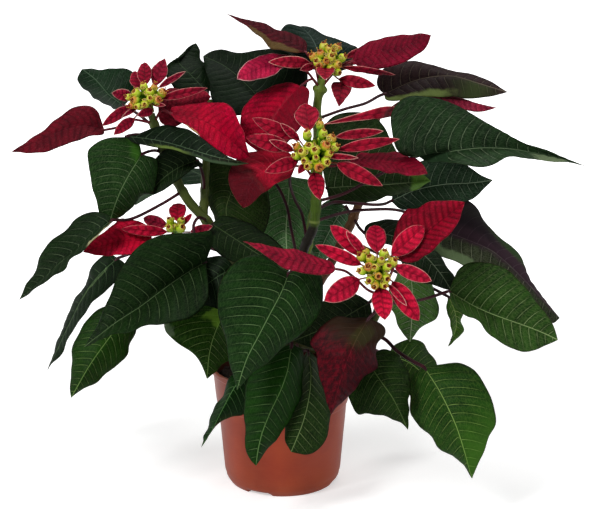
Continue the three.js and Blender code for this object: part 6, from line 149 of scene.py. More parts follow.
  [(-135.98,-49.13,240.25),(-139.45,-47.25,243.75),(-144.26,-45.17,245.35),(-151.52,-41.09,245.07),(-159.78,-37.55,242.49),(-167.56,-38.29,237.66),(-173.89,-41.14,231.74),(-180.87,-45.48,225.46),(-188.02,-50.7,219.75),(-193.62,-56.17,212.74),(-196.83,-62.01,204.47),(-200.21,-67.38,197.48),(-203.45,-72.47,191.7),(-205.9,-77.55,186.87),(-207.86,-82,182.92)]),
 "leaf_left_narrow": ("leaf", None, 1.5,
  [(-43.9,-11.9,202.4),(-77.1,4,206.8),(-111.3,10,201.8),(-138.9,14,192)],
  [(-138.87,14,191.98),(-143.14,15.07,188.25),(-147.3,16.22,184.43),(-152.62,17.94,179.16),(-158.47,20.07,172.72),(-164.5,22.7,164.86),(-169.99,25.2,156.59),(-175.44,27.63,146.73),(-180.53,29.63,136.57),(-185.57,31,126.3),(-190.55,31.8,115.93),(-194.99,31.88,106.7),(-198.88,31.51,98.63),(-202.26,30.77,91.77),(-205.09,30,86.07)],
  [(-138.87,14,191.98),(-134.26,12.31,189.11),(-131.11,10.72,185.11),(-134.9,8.71,179.23),(-140.66,6.9,173.11),(-147.88,5.93,166.31),(-155.04,5.98,159.02),(-163.8,7.49,150.93),(-170.98,9.95,140.85),(-177.55,13.15,129.89),(-184.01,16.88,118.53),(-189.04,20.45,107.84),(-194.73,23.87,99.12),(-200.83,27.15,92.49),(-205.09,30,86.07)],
  [(-138.87,14,191.98),(-144.42,20.34,192.98),(-150.44,26.13,191.79),(-157.41,32.27,185.78),(-164.38,38.16,177.68),(-168.86,43.51,166.48),(-174.31,47.39,156.13),(-180.86,49.84,145.26),(-186.55,50.65,134.4),(-191.22,49.78,123.6),(-194.99,47.4,112.97),(-198.37,43.83,104.08),(-201.32,39.55,96.75),(-203.45,34.58,90.84),(-205.09,30,86.07)]),
 "leaf_left_lower": ("leaf", None, 1.5,
  [(-7.4,-5.1,142.5),(-43.2,-20,158),(-83.4,-38,166.7),(-110.9,-52,167.4),(-127.3,-60,161.4)],
  [(-127.31,-60,161.38),(-129.15,-62.11,159.24),(-131.01,-64.2,157.09),(-133.48,-66.98,154.22),(-136.38,-70.14,150.8),(-139.75,-73.54,146.76),(-143.14,-76.77,142.6),(-146.97,-80.26,137.79),(-150.75,-83.39,132.75),(-154.44,-85.91,127.31),(-158.04,-87.97,121.62),(-161.12,-89.31,116.34),(-163.78,-90.3,111.64),(-166.07,-91.23,107.64),(-167.98,-92,104.31)],
  [(-127.31,-60,161.38),(-123.92,-57.09,158.37),(-120.46,-54.85,155.54),(-118.06,-53.84,150.28),(-119.86,-53.97,143.59),(-123.4,-55.35,136.95),(-126.08,-57.66,130.3),(-130.48,-61.18,124.4),(-136.59,-65.25,119.86),(-142.69,-69.48,115.4),(-149.43,-74.07,112.09),(-155.53,-78.48,109.59),(-160.81,-82.89,107.71),(-164.83,-87.68,105.91),(-167.98,-92,104.31)],
  [(-127.31,-60,161.38),(-130.36,-58.58,164.74),(-133.33,-57.65,168.27),(-138.73,-57.86,171.03),(-145.69,-58.94,169.39),(-152.82,-60.7,165.54),(-158.28,-62.93,159.72),(-162.31,-65.86,151.84),(-166.17,-69.12,143.99),(-169.12,-72.57,135.93),(-169.18,-76.38,127.33),(-169.01,-80.18,119.85),(-169.37,-84.03,113.52),(-168.95,-88.23,108.41),(-167.98,-92,104.31)]),
 "leaf_left_front": ("leaf", None, 1.5,
  [(-62.1,-9,230.6),(-68.3,-26,236.4),(-71.3,-38,232.6),(-69.7,-46,225.4),(-66.3,-52,216.1),(-60.5,-58.1,207.7)],
  [(-60.47,-58.07,207.73),(-64.71,-61.12,206.16),(-68.92,-64.13,204.48),(-74.5,-68.07,201.95),(-80.94,-72.55,198.71),(-88.2,-77.47,194.56),(-95.42,-82.23,190.15),(-103.48,-87.46,184.93),(-111.72,-92.36,179.71),(-120.5,-96.8,174.96),(-129.42,-100.53,169.97),(-137.15,-102.57,164.53),(-143.87,-103.9,159.45),(-149.62,-105.07,155.14),(-154.41,-106,151.52)],
  [(-60.47,-58.07,207.73),(-59.38,-68.53,204.05),(-58.12,-77.87,200.17),(-56.84,-87.03,194.17),(-57.28,-95.6,186.7),(-63.62,-103.61,180.18),(-72.74,-110.09,176.59),(-84.06,-116.1,174.65),(-95.72,-120.42,173.64),(-107.52,-122.75,172.77),(-119.01,-122.87,168.37),(-130.09,-120.07,166.3),(-139.19,-115.87,160.68),(-147.18,-110.8,155.18),(-154.41,-106,151.52)],
  [(-60.47,-58.07,207.73),(-57.48,-61.15,216.48),(-54.32,-64.18,225.09),(-54.71,-68.15,235.98),(-66.85,-72.56,235.74),(-80.78,-77.19,236.49),(-94.55,-81.28,235.63),(-108.86,-84.97,229.84),(-120.02,-88.04,218.96),(-127.75,-90.47,205.17),(-133.97,-92.75,190.46),(-140.08,-94.85,177.64),(-145.59,-97.5,166.78),(-150.13,-101.81,158.16),(-154.41,-106,151.52)]),
 "leaf_middle_lower": ("leaf", None, 1.5,
  [(-16.5,-7.8,158.9),(-24.3,-36,184.9),(-36.5,-57.2,202.5)],
  [(-36.46,-57.17,202.49),(-39.04,-58.49,201.82),(-41.6,-59.75,201.06),(-45.02,-61.36,199.9),(-48.95,-62.95,198.2),(-53.32,-63.89,195.42),(-57.58,-64.86,192.41),(-62.26,-66.91,189.29),(-66.85,-69.16,186.12),(-71.4,-71.21,182.75),(-75.92,-73,179.2),(-79.9,-74.05,175.78),(-83.37,-74.78,172.69),(-86.35,-75.45,170.07),(-88.83,-76,167.88)],
  [(-36.46,-57.17,202.49),(-36.67,-61.91,200.01),(-36.77,-66.03,197.37),(-36.93,-69.72,193.37),(-37.32,-72.73,188.37),(-38.61,-74.5,182.31),(-41.8,-75.85,176.9),(-47.61,-78.35,173.49),(-54.28,-80.77,176.49),(-61.19,-82.67,177.71),(-68.08,-83.65,175.85),(-74.49,-82.83,174.56),(-80.11,-81.07,172.73),(-84.86,-78.51,170.2),(-88.83,-76,167.88)],
  [(-36.46,-57.17,202.49),(-39.1,-58.56,205.62),(-41.66,-59.27,208.67),(-45.53,-57.95,211.69),(-51.28,-55.57,212.57),(-58.1,-52.61,210.64),(-64.3,-50.76,207.04),(-70.03,-52.09,202.18),(-74.86,-54.91,196.9),(-78.53,-58.13,190.92),(-81.77,-61.88,184.89),(-84.85,-65.44,179.72),(-87.21,-68.96,175.19),(-88.34,-72.68,171.21),(-88.83,-76,167.88)]),
 "leaf_middle_upper": ("leaf", None, 1.5,
  [(-51.3,-12.3,213.7),(-55.6,-22,225.3),(-57.1,-23.3,230.7)],
  [(-57.06,-23.31,230.65),(-54.3,-24.43,229.15),(-51.52,-25.96,227.75),(-47.74,-29.65,226.3),(-43.34,-33.92,224.58),(-38.43,-36.79,222.06),(-33.56,-39.06,219.36),(-28.12,-41.63,216.24),(-22.63,-44.16,213.14),(-17,-46.98,210.21),(-11.29,-49.58,207.3),(-6.19,-51.14,204.57),(-1.7,-52.25,202.14),(2.13,-53.22,200.04),(5.32,-54,198.29)],
  [(-57.06,-23.31,230.65),(-54.42,-20.91,233.26),(-51.65,-18.93,235.87),(-46.51,-17.45,236.93),(-40.32,-16.76,235.16),(-33.53,-17.27,232.34),(-26.82,-19,229.57),(-19.31,-22.53,226.69),(-12.16,-27.16,223.44),(-5.6,-32.76,219.62),(0.3,-38.76,215.2),(4.82,-43.83,210.61),(7.99,-48.09,206.05),(7.73,-51.37,201.53),(5.32,-54,198.29)],
  [(-57.06,-23.31,230.65),(-58.93,-28.59,228.09),(-60.82,-33.58,225.49),(-60.78,-39.69,221.35),(-56.78,-45.66,217.3),(-51.07,-50.03,213.17),(-44.94,-53.03,209.32),(-37.42,-55.18,205.82),(-29.59,-56.85,202.89),(-21.62,-59.38,200.53),(-13.53,-60.97,198.41),(-6.28,-59.46,196.16),(0.1,-57.21,194.03),(5.5,-55.49,193.9),(5.32,-54,198.29)]),
 "leaf_front_large": ("leaf", None, 1.8,
  [(16.6,-26.4,204.9),(21.4,-56,207.2),(15,-88,212.5),(5.7,-104,210.3)],
  [(5.68,-104,210.34),(4.72,-107.82,207.82),(3.6,-111.49,205.21),(1.66,-116.04,201.46),(-0.96,-120.93,196.84),(-4.49,-125.9,191.23),(-8.23,-130.28,185.28),(-12.41,-134.53,178.11),(-16.62,-138.05,170.59),(-21.01,-140.74,162.83),(-25.13,-142.65,154.72),(-27.98,-143.43,147.02),(-30.15,-143.72,140.09),(-31.89,-143.9,134.13),(-33.28,-144,129.14)],
  [(5.68,-104,210.34),(11.54,-102.7,213.28),(17.6,-102.01,215.94),(26.24,-103.08,214.94),(32.6,-105.21,207.57),(33.61,-107.89,196.09),(30.82,-110.76,184.96),(24.81,-113.84,173.49),(15.42,-117.12,164.66),(5.04,-120.77,157.06),(-5.48,-124.93,149.88),(-14.66,-129.23,143.55),(-22.2,-133.8,137.77),(-28.23,-139.12,132.93),(-33.28,-144,129.14)],
  [(5.68,-104,210.34),(0.3,-104.19,214.76),(-4.94,-105.14,219.54),(-12.54,-109,225.51),(-22.82,-114.25,227.66),(-33.9,-119.71,224.89),(-42.05,-124.24,217.21),(-47.42,-127,205.19),(-47.95,-128.66,191.72),(-45.66,-129.63,178.14),(-42.58,-130.71,164.71),(-39.75,-132.63,153.05),(-37.5,-135.41,143.13),(-35.2,-139.76,135.37),(-33.28,-144,129.14)]),
 "leaf_left_shaded": ("leaf", None, 1.5,
  [(-6.8,-4.9,141.3),(-28.2,-20,164.9),(-42.6,-34,167.3)],
  [(-42.56,-34,167.26),(-43.77,-36.09,165.3),(-44.98,-38.18,163.35),(-46.62,-41.03,160.82),(-48.51,-44.27,157.78),(-50.58,-47.81,154.06),(-52.54,-51.09,150.1),(-54.65,-54.39,145.26),(-56.51,-57.3,140.1),(-57.95,-59.77,134.6),(-59.04,-61.84,128.85),(-59.6,-63.22,123.54),(-59.94,-64.26,118.82),(-60.28,-65.21,114.8),(-60.57,-66,111.45)],
  [(-42.56,-34,167.26),(-41.13,-29.07,162.7),(-39.49,-25.22,158.52),(-37.26,-23.3,153.83),(-35.26,-23.14,148.62),(-34.5,-24.98,142.84),(-34.79,-28.07,137.39),(-35.97,-32.34,131.65),(-38.12,-37.16,126.4),(-41.97,-42.1,122.18),(-46.69,-47.3,118.88),(-50.9,-52.1,116.07),(-54.71,-56.75,113.99),(-57.91,-61.64,112.53),(-60.57,-66,111.45)],
  [(-42.56,-34,167.26),(-48.11,-31.71,167.71),(-53.6,-30.47,168.63),(-60.85,-32.07,170.17),(-69.23,-35.66,170.24),(-78.25,-41.05,168.5),(-86.57,-46.52,165.21),(-94.64,-51.33,159.21),(-94.67,-55.13,149.32),(-87.72,-57.42,141.49),(-78.18,-59.02,136.23),(-70.99,-60.23,129.75),(-65.94,-61.57,122.96),(-62.86,-63.82,116.69),(-60.57,-66,111.45)]),
 "leaf_pot_left": ("leaf", None, 1.5,
  [(6.6,-8,124.6),(-9.7,-40,129.5),(-19.1,-62,128.1),(-28.6,-72,119.5)],
  [(-28.63,-72,119.45),(-30.54,-73.64,117.4),(-32.44,-75.25,115.31),(-34.97,-77.38,112.51),(-37.79,-79.73,109.05),(-40.71,-82.04,104.65),(-43.46,-84.11,100.01),(-46.46,-86.21,94.64),(-49.39,-88.04,89.14),(-52.23,-89.6,83.51),(-55.14,-90.82,77.83),(-58,-91.41,72.86),(-60.59,-91.71,68.53),(-62.84,-91.89,64.83),(-64.72,-92,61.76)],
  [(-28.63,-72,119.45),(-27.17,-70.13,115.21),(-25.55,-68.76,111.19),(-23.5,-68.56,106.28),(-22.37,-69.08,100.42),(-24.1,-69.89,93.87),(-27.23,-70.98,87.95),(-32.75,-72.28,83.12),(-39.89,-73.93,81.2),(-47.04,-76.16,79.67),(-52.91,-78.93,75.85),(-56.92,-81.95,71.34),(-60.12,-85.16,67.42),(-62.64,-88.75,64.27),(-64.72,-92,61.76)],
  [(-28.63,-72,119.45),(-32.04,-68.62,117.29),(-35.48,-65.91,115.48),(-39.93,-64.29,113.49),(-43.93,-63.68,109.7),(-45.71,-64.07,103.65),(-47.96,-65.37,98.07),(-51.26,-67.72,92.54),(-54.97,-70.75,87.53),(-57.9,-74.27,82.27),(-59.81,-78.17,76.75),(-61.27,-81.77,71.83),(-62.64,-85.25,67.71),(-63.79,-88.83,64.41),(-64.72,-92,61.76)]),
 "leaf_pot_front": ("leaf", None, 1.8,
  [(6.6,-8,124.6),(2.7,-46,146),(4.6,-76,152.8),(8.7,-90,148.9)],
  [(8.65,-90,148.9),(7.93,-92.87,145.27),(7.2,-95.74,141.63),(6.35,-99.66,136.82),(5.06,-103.97,131.12),(2.74,-108.18,124.35),(-0.13,-111.75,117.43),(-4.09,-114.83,109.54),(-8.16,-117.25,101.45),(-11.84,-119.16,93.03),(-15.05,-120.52,84.35),(-17.04,-121.09,76.33),(-18.35,-121.24,69.16),(-19.18,-121.16,62.98),(-19.74,-121,57.8)],
  [(8.65,-90,148.9),(13.18,-86.49,145.32),(17.39,-83.85,141.48),(19.09,-82.93,134.39),(18.15,-83.47,126.22),(16.96,-85.45,117.34),(15.71,-88.35,108.78),(13.47,-92.2,99.54),(9.47,-96.5,91.09),(4.2,-101.05,83.44),(-2.11,-105.77,76.68),(-8.48,-109.9,71.43),(-12.81,-113.75,65.87),(-16.55,-117.61,61.39),(-19.74,-121,57.8)],
  [(8.65,-90,148.9),(3.52,-87.91,146.55),(-1.65,-86.67,144.56),(-8.21,-87.68,141.91),(-14.96,-90.07,137.57),(-21.63,-93.18,131.49),(-26.15,-96.37,123.83),(-27.95,-99.28,113.72),(-28.91,-102.16,103.46),(-29.4,-105.34,93.28),(-29.28,-108.78,83.2),(-28.54,-112.19,74.41),(-27.15,-115.4,66.92),(-23.74,-118.41,61.49),(-19.74,-121,57.8)]),
 "leaf_pot_right": ("leaf", None, 1.5,
  [(12.5,-14.1,124.5),(13.4,-46,130.6),(16.6,-68,136),(21.4,-76,139.4)],
  [(21.42,-76,139.39),(21.97,-77.43,135.89),(22.49,-78.87,132.39),(23.2,-80.78,127.71),(23.75,-83.07,122.27),(23.65,-85.92,116.12),(23.08,-88.76,109.98),(21.95,-91.82,103.08),(20.39,-94.62,96.15),(18.39,-96.97,89.17),(16.04,-98.85,82.15),(13.65,-99.81,75.89),(11.41,-100.35,70.4),(9.45,-100.73,65.72),(7.8,-101,61.82)],
  [(21.42,-76,139.39),(25.45,-71.63,134.86),(28.38,-68.2,129.5),(30.92,-66.26,122.35),(33.28,-66.09,114.45),(35.81,-68.5,106.24),(38.31,-72.49,98.6),(40.12,-78.3,90.26),(39.59,-84.5,81.96),(37.16,-90.19,73.81),(33.05,-95.13,66.04),(26.89,-98.02,60.55),(19.62,-99.74,58.68),(13.13,-100.56,60.18),(7.8,-101,61.82)],
  [(21.42,-76,139.39),(19.26,-71.51,134.55),(17.26,-67.88,129.86),(15.72,-65.5,123.85),(14.91,-64.58,117.18),(14.03,-65.65,110.24),(12.16,-68.19,104.02),(9.14,-72.37,97.83),(6.42,-77.37,91.84),(4.11,-82.82,85.91),(3.02,-88.33,79.77),(2.97,-92.73,74.07),(3.65,-96.28,69.04),(5.69,-98.92,65.02),(7.8,-101,61.82)]),
 "leaf_maroon": ("leaf", None, 1.5,
  [(77.2,-93.5,184.5),(73.6,-105,179.9),(68.8,-108,175.9)],
  [(68.79,-108,175.87),(66.86,-110.05,173.38),(64.94,-112.07,170.85),(62.4,-114.74,167.44),(59.57,-117.66,163.26),(56.67,-120.53,157.96),(54.01,-123.03,152.36),(51.28,-125.45,145.78),(48.79,-127.44,138.98),(46.6,-128.94,131.94),(44.58,-129.95,124.76),(42.85,-130.24,118.32),(41.37,-130.21,112.66),(40.14,-130.12,107.8),(39.11,-130,103.75)],
  [(68.79,-108,175.87),(73.04,-104.08,172.69),(77.27,-100.94,169.74),(81.15,-99.11,164.5),(81.3,-98.43,157.02),(76.27,-98.87,150.8),(75.44,-100.28,143.32),(75.77,-102.75,135.01),(69.09,-105.89,129.61),(62.96,-109.49,123.77),(56.79,-113.55,118.15),(51.17,-117.48,113.44),(46.13,-121.49,109.68),(42.22,-125.96,106.44),(39.11,-130,103.75)],
  [(68.79,-108,175.87),(63.65,-104.51,175.22),(58.44,-102.04,174.82),(51.36,-101.88,174.98),(43.11,-103.3,174.92),(34.81,-105.85,171.12),(28.08,-108.74,165.13),(22.32,-111.52,156.77),(28.34,-114.12,150.12),(28.34,-116.48,140.68),(29.95,-118.9,130.54),(32.79,-121.34,121.94),(35.79,-123.95,114.76),(37.7,-127.1,108.72),(39.11,-130,103.75)]),
 "leaf_behind_maroon": ("leaf", None, 1.5,
  [(77.1,-92.3,182),(74.7,-77,184),(70.8,-75.8,179.4)],
  [(70.8,-75.76,179.45),(67.78,-81.24,179.27),(64.84,-85.06,178.62),(61.11,-84.88,176.2),(56.88,-82.19,172.69),(52.12,-78.09,168.51),(47.4,-73.65,164.34),(42.13,-69.45,159.99),(36.79,-65.88,155.98),(31.27,-63.41,152.5),(25.66,-61.43,149.31),(20.64,-59.68,146.59),(16.22,-58.23,144.29),(12.45,-57,142.29),(9.3,-56,140.63)],
  [(70.8,-75.76,179.45),(71.29,-84.58,177.98),(71.83,-90.61,175.71),(71.56,-89.63,169.96),(69.79,-84.88,162.43),(66.45,-79.68,154.44),(61.69,-74.47,147.51),(55.1,-69.8,141.48),(47.61,-65.99,137.46),(39.64,-63.43,135.46),(31.55,-61.44,134.86),(24.42,-59.68,135.5),(18.4,-58.23,137.07),(13.44,-57,139.01),(9.3,-56,140.63)],
  [(70.8,-75.76,179.45),(67.49,-76.12,181.46),(64.28,-76.29,183.56),(59.93,-76.02,186.06),(54.41,-75.15,187.59),(47.92,-73.11,185.99),(41.76,-70.69,182.79),(34.99,-67.94,178.69),(28.54,-65.32,173.91),(22.61,-63.24,168.42),(17.29,-61.35,162.22),(12.95,-59.67,156.29),(9.52,-58.23,150.79),(8.45,-57.01,145.3),(9.3,-56,140.63)]),
 "leaf_right_lower": ("leaf", None, 1.5,
  [(52.5,-55.6,137.6),(57.8,-70,135.8),(62.3,-80,136.5),(66.1,-84,136.9)],
  [(66.12,-84,136.94),(67.8,-85.39,134.68),(69.49,-86.77,132.42),(71.72,-88.66,129.42),(74.35,-90.8,125.91),(77.4,-93.1,121.84),(80.53,-95.22,117.73),(84.24,-97.41,113.14),(87.83,-99.22,108.34),(90.94,-100.37,103.04),(93.77,-101.1,97.48),(96.05,-101.43,92.4),(97.96,-101.6,87.9),(99.65,-101.82,84.08),(101.06,-102,80.89)],
  [(66.12,-84,136.94),(70.23,-79.88,136.89),(74.25,-76.64,137.35),(79.58,-74.97,138.61),(85.99,-74.56,138.86),(92.53,-75.27,135.57),(97.77,-76.73,130.59),(101.82,-78.74,123.67),(103.47,-81.11,115.92),(102.37,-83.61,108.09),(101.85,-86.59,100.41),(102.9,-90,93.91),(102.9,-93.73,88.45),(101.95,-98.04,84.23),(101.06,-102,80.89)],
  [(66.12,-84,136.94),(62.96,-80.12,132.63),(59.64,-77.28,128.76),(55.82,-76.57,123.86),(53.92,-77.66,117.29),(53.69,-80.79,110.05),(54.41,-84.52,103.06),(57.07,-88.2,95.47),(62.23,-91.18,89.36),(70.93,-92.46,90.72),(79.69,-93.26,90.61),(87.27,-94.2,88.91),(93.3,-95.75,86.1),(97.85,-98.87,83.5),(101.06,-102,80.89)]),
 "leaf_right_bottom": ("leaf", None, 1.8,
  [(10.6,-12.1,124.5),(52.1,-36,143.8),(82.7,-52,141.9),(93,-60,134.2),(103.3,-66,128.5),(115.3,-70,123)],
  [(115.27,-70,123.04),(117.39,-73.15,120.5),(119.51,-76.25,117.9),(122.33,-80.32,114.35),(125.56,-84.81,109.91),(129.12,-89.35,104.2),(132.56,-93.47,98.1),(136.3,-97.69,90.9),(139.75,-101.37,83.31),(142.67,-104.42,75.22),(145.29,-106.76,66.8),(147.47,-107.87,59.09),(149.34,-108.29,52.24),(151.04,-108.22,46.4),(152.48,-108,41.53)],
  [(115.27,-70,123.04),(121.56,-67.87,123.5),(127.8,-66.83,124.23),(135.87,-68.77,126.02),(145.12,-72.81,127.07),(154.18,-78.73,123.28),(161.11,-84.9,116.79),(166.58,-90.93,107.42),(170.13,-96.02,96.82),(171.03,-99.46,85.2),(166.2,-101.94,74.11),(161.85,-103.41,64.02),(157.82,-104.63,55.26),(154.82,-106.38,47.78),(152.48,-108,41.53)],
  [(115.27,-70,123.04),(111.12,-66.91,119.07),(107.13,-64.71,115.05),(104.43,-64.52,108.34),(103.75,-65.84,100.2),(103.87,-68.44,91.24),(106.29,-71.79,82.93),(111.35,-75.96,74.8),(118.98,-80.47,69.11),(125.54,-85.13,62.41),(132.96,-90.05,56.87),(140.29,-94.6,53.07),(146.04,-99.05,49.11),(149.87,-103.78,45.13),(152.48,-108,41.53)]),
 "leaf_right_round": ("leaf", None, 1.5,
  [(7.8,5.7,133.1),(40.7,14,124.7),(72,24,110.8),(91.5,32,99.1)],
  [(91.48,32,99.12),(94.32,33.88,97.8),(97.15,35.75,96.47),(100.96,38.29,94.8),(105.31,41.16,92.58),(110.03,44.18,89.35),(114.51,46.97,85.61),(119.23,49.83,80.83),(123.59,52.36,75.57),(127.53,54.47,69.83),(131.12,56.23,63.73),(133.91,57.46,58.02),(136.22,58.4,52.92),(138.27,59.27,48.6),(139.98,60,45)],
  [(91.48,32,99.12),(93.58,38.82,101.02),(95.8,44.88,103.12),(100.4,50.71,105.18),(107.06,55.97,105.84),(115.06,60.44,105.14),(122.71,63.75,101.88),(128.72,66.51,94.03),(133.72,68.2,85.68),(137.74,68.71,77.16),(140.81,68.15,68.57),(142.58,66.51,61.06),(142.57,64.4,54.56),(141.2,62.11,49.29),(139.98,60,45)],
  [(91.48,32,99.12),(92.8,39.57,93.31),(93.99,46.17,87.76),(95.47,52.21,81.23),(97.46,57.17,74.38),(100.51,60.41,67.75),(104.21,62.02,62.12),(108.67,62.36,56.59),(113.13,61.82,51.4),(117.76,60.89,46.53),(123.09,59.84,42.58),(128.51,59.23,40.14),(133.65,59.02,39.9),(137.24,59.45,42.51),(139.98,60,45)]),
 "leaf_right_hanging": ("leaf", None, 1.5,
  [(52.6,28.7,206.1),(82.4,10,196.5),(96.2,-14,198.5),(103.5,-30,200.2)],
  [(103.52,-30,200.23),(103.94,-32.06,197.97),(104.36,-34.13,195.7),(104.95,-36.96,192.75),(105.57,-40.11,189.18),(106.07,-43.28,184.72),(106.36,-46.04,179.99),(106.38,-48.57,174.35),(106.24,-50.55,168.49),(106.05,-51.86,162.46),(105.8,-52.59,156.33),(105.51,-52.55,150.86),(105.23,-52.28,146.05),(105,-52.13,141.94),(104.8,-52,138.51)],
  [(103.52,-30,200.23),(106.95,-27.03,197.16),(110.39,-24.95,194.41),(114.63,-24.84,191.19),(118.69,-26.42,187.02),(122.24,-30.03,181.97),(125.04,-34.32,176.73),(127.46,-39.05,170.52),(129.11,-43.21,163.92),(126.83,-45.81,157.39),(120.04,-47.53,153.98),(114.74,-48.22,149.7),(110.63,-48.86,145.36),(107.36,-50.43,141.66),(104.8,-52,138.51)],
  [(103.52,-30,200.23),(101.45,-27.19,196.89),(99.25,-25.19,193.82),(96.29,-25,190.25),(93.38,-26.18,185.99),(90.57,-28.65,181.07),(88.35,-31.64,176.04),(87.29,-34.99,170.04),(88.85,-38.24,164.16),(91.55,-41.06,158.54),(94.31,-43.65,152.89),(97.14,-45.69,147.99),(99.82,-47.63,143.88),(102.44,-49.92,140.83),(104.8,-52,138.51)]),
 "leaf_right_middle": ("leaf", None, 1.5,
  [(77.2,-93.1,183.7),(94.7,-76,178.7),(114.7,-64,178.5),(134.7,-62.7,184.8)],
  [(134.74,-62.69,184.84),(138.33,-63.55,182.71),(141.95,-64.23,180.55),(146.87,-64.39,177.44),(152.67,-64.87,174.1),(159.31,-67.22,171.33),(166.04,-70.04,169),(173.82,-72.93,166.62),(181.72,-75.67,164.38),(189.72,-78.12,162.15),(197.76,-80.27,159.77),(204.87,-81.81,157.27),(211.05,-82.89,154.84),(216.26,-83.55,152.43),(220.57,-84,150.33)],
  [(134.74,-62.69,184.84),(136.69,-62.28,190.51),(138.84,-62.04,196.13),(142.59,-62.06,203.25),(150.02,-62.86,208.34),(160.14,-65.8,209.71),(170.14,-69.05,208.76),(180.68,-71.59,204.63),(189.04,-73.73,196.66),(197.23,-75.58,188.38),(204.21,-77.37,178.98),(210.81,-79.21,171.04),(215.82,-80.95,163.59),(218.73,-82.59,156.46),(220.57,-84,150.33)],
  [(134.74,-62.69,184.84),(135.08,-69.8,181.79),(136.13,-76.2,178.77),(139.78,-82.75,175.42),(145.23,-88.72,172.15),(152.62,-93.55,169.57),(159.09,-96.47,164.79),(166.15,-97.22,157.91),(174.45,-96.31,151.77),(183.31,-94.11,145.88),(193.31,-91.21,142.62),(202.18,-88.57,143.33),(209.43,-86.37,145.8),(215.55,-85,148.17),(220.57,-84,150.33)]),
 "leaf_right_purple": ("leaf", None, 1.5,
  [(27,-42.2,237.6),(53.2,-31,242.6),(73.8,-24,243),(94.8,-14,240.2),(118,-2,229.7),(130.4,4.4,220.5)],
  [(130.36,4.44,220.45),(135.69,3.12,218.41),(141.04,1.86,216.4),(148.31,0.61,213.84),(156.72,-1.2,210.88),(166.13,-5.08,207.8),(175.09,-8.85,203.89),(184.25,-11.27,197.05),(192.88,-12.82,189.14),(201.17,-13.7,180.89),(209.26,-14.11,172.34),(216.42,-14.18,164.73),(222.66,-14.11,158.02),(228,-14.06,152.28),(232.44,-14,147.49)],
  [(130.36,4.44,220.45),(132.76,4.21,227.69),(135.24,3.99,234.87),(141.86,3.86,242),(152.86,3.5,244.69),(163.59,2.16,237.6),(170.24,0.91,226.13),(180.29,0.72,214.78),(191.9,0.57,204.87),(201.98,-0.35,193.7),(207.07,-1.97,179.52),(213.55,-4.37,168.2),(220.94,-7.25,159.79),(227.2,-10.75,152.97),(232.44,-14,147.49)],
  [(130.36,4.44,220.45),(127.92,2.54,214.6),(125.39,0.51,208.82),(126.7,-2.59,201.2),(135.48,-6.61,197.36),(146.01,-12.38,194.74),(155.55,-17.52,189.83),(165.89,-20.83,182.63),(176.63,-22.41,175.28),(187.68,-22.04,167.47),(199.2,-20.49,159.74),(209.94,-18.5,153.36),(218.45,-16.54,146.13),(226.55,-15.13,143.27),(232.44,-14,147.49)]),
 "leaf_right_upper": ("leaf", None, 1.5,
  [(27.8,-49.6,255.5),(49.5,-44,260.5),(62.5,-40,266.2),(84.4,-32,276.8),(101.4,-16,282.6),(111,-18,286.3)],
  [(111.02,-18.05,286.31),(116.9,-19.7,287.51),(122.76,-21.76,288.78),(130.35,-26.78,290.95),(139.37,-31.14,293.11),(150.41,-28.78,294.12),(161.7,-25,294.34),(174.4,-23.4,293.99),(187.05,-22.84,292.96),(199.45,-23.44,291.08),(211.72,-24.48,288.65),(222.53,-25.13,286.09),(231.95,-25.61,283.63),(240.01,-25.85,281.49),(246.72,-26,279.67)],
  [(111.02,-18.05,286.31),(99.7,-35.06,289.69),(91.33,-47.11,298.34),(87.91,-46.69,311.23),(87.71,-40.67,325.94),(98.91,-37.75,337.77),(116.69,-34.68,337.91),(136.5,-29.31,331.04),(155.66,-24.82,322.02),(173.34,-24.21,311.11),(190.8,-24.94,300.18),(208.18,-25.27,294.65),(223.07,-25.61,288.65),(235.93,-25.83,283.66),(246.72,-26,279.67)],
  [(111.02,-18.05,286.31),(115.83,-23.97,283.89),(121.36,-29.89,283.37),(128.93,-38.64,285.64),(137.77,-46.88,286.12),(148.33,-49.83,284.78),(159.23,-50.21,284.8),(171.4,-50.06,286.41),(182.83,-48.92,290.77),(195.31,-47.26,290.09),(208.02,-44.55,288.41),(219.58,-40.64,286.44),(229.9,-36.09,284.21),(239.01,-30.84,281.8),(246.72,-26,279.67)]),
 "leaf_right_dark": ("leaf", None, 1.5,
  [(27.7,-47.3,248.5),(43.2,-39,252.7),(57,-38,251.7),(72.5,-35,249.7),(84,-14,245.3),(90.7,4,243.7)],
  [(90.74,4,243.7),(94.22,5.37,245.06),(97.71,6.71,246.41),(102.36,8.59,248.25),(107.91,10.29,250.27),(114.61,10.86,252.28),(121.45,10.57,254.06),(129.1,9.23,255.83),(136.81,7.57,257.23),(144.64,6.33,257.93),(152.49,5.2,258.48),(159.44,4.32,259.27),(165.49,3.53,260.14),(170.62,2.69,261.12),(174.89,1.95,262.01)],
  [(90.74,4,243.7),(92.11,8.58,247.51),(93.43,12.37,251.52),(96.02,15.26,257.03),(100.39,16.81,263.07),(106.56,16.01,269.33),(113.7,14.02,274.45),(122.66,11.29,278.13),(132.14,8.59,279.25),(141.65,6.87,278.51),(150.67,5.53,275.38),(157.92,4.48,270.8),(164.09,3.61,266.51),(169.88,2.72,263.8),(174.89,1.95,262.01)],
  [(90.74,4,243.7),(93.64,2.08,240.97),(96.78,0.56,238.4),(102.16,-0.12,236.8),(108.79,-0.43,236.8),(116.17,-1.01,238.38),(123.23,-1.57,241.17),(131.48,-2.38,243.03),(139.99,-2.75,243.23),(148.53,-1.88,243.96),(156.91,-0.48,245.68),(163.14,1.04,249.75),(167.74,2.16,254.41),(171.68,2.19,258.51),(174.89,1.95,262.01)]),
 "leaf_top_right": ("leaf", None, 1.5,
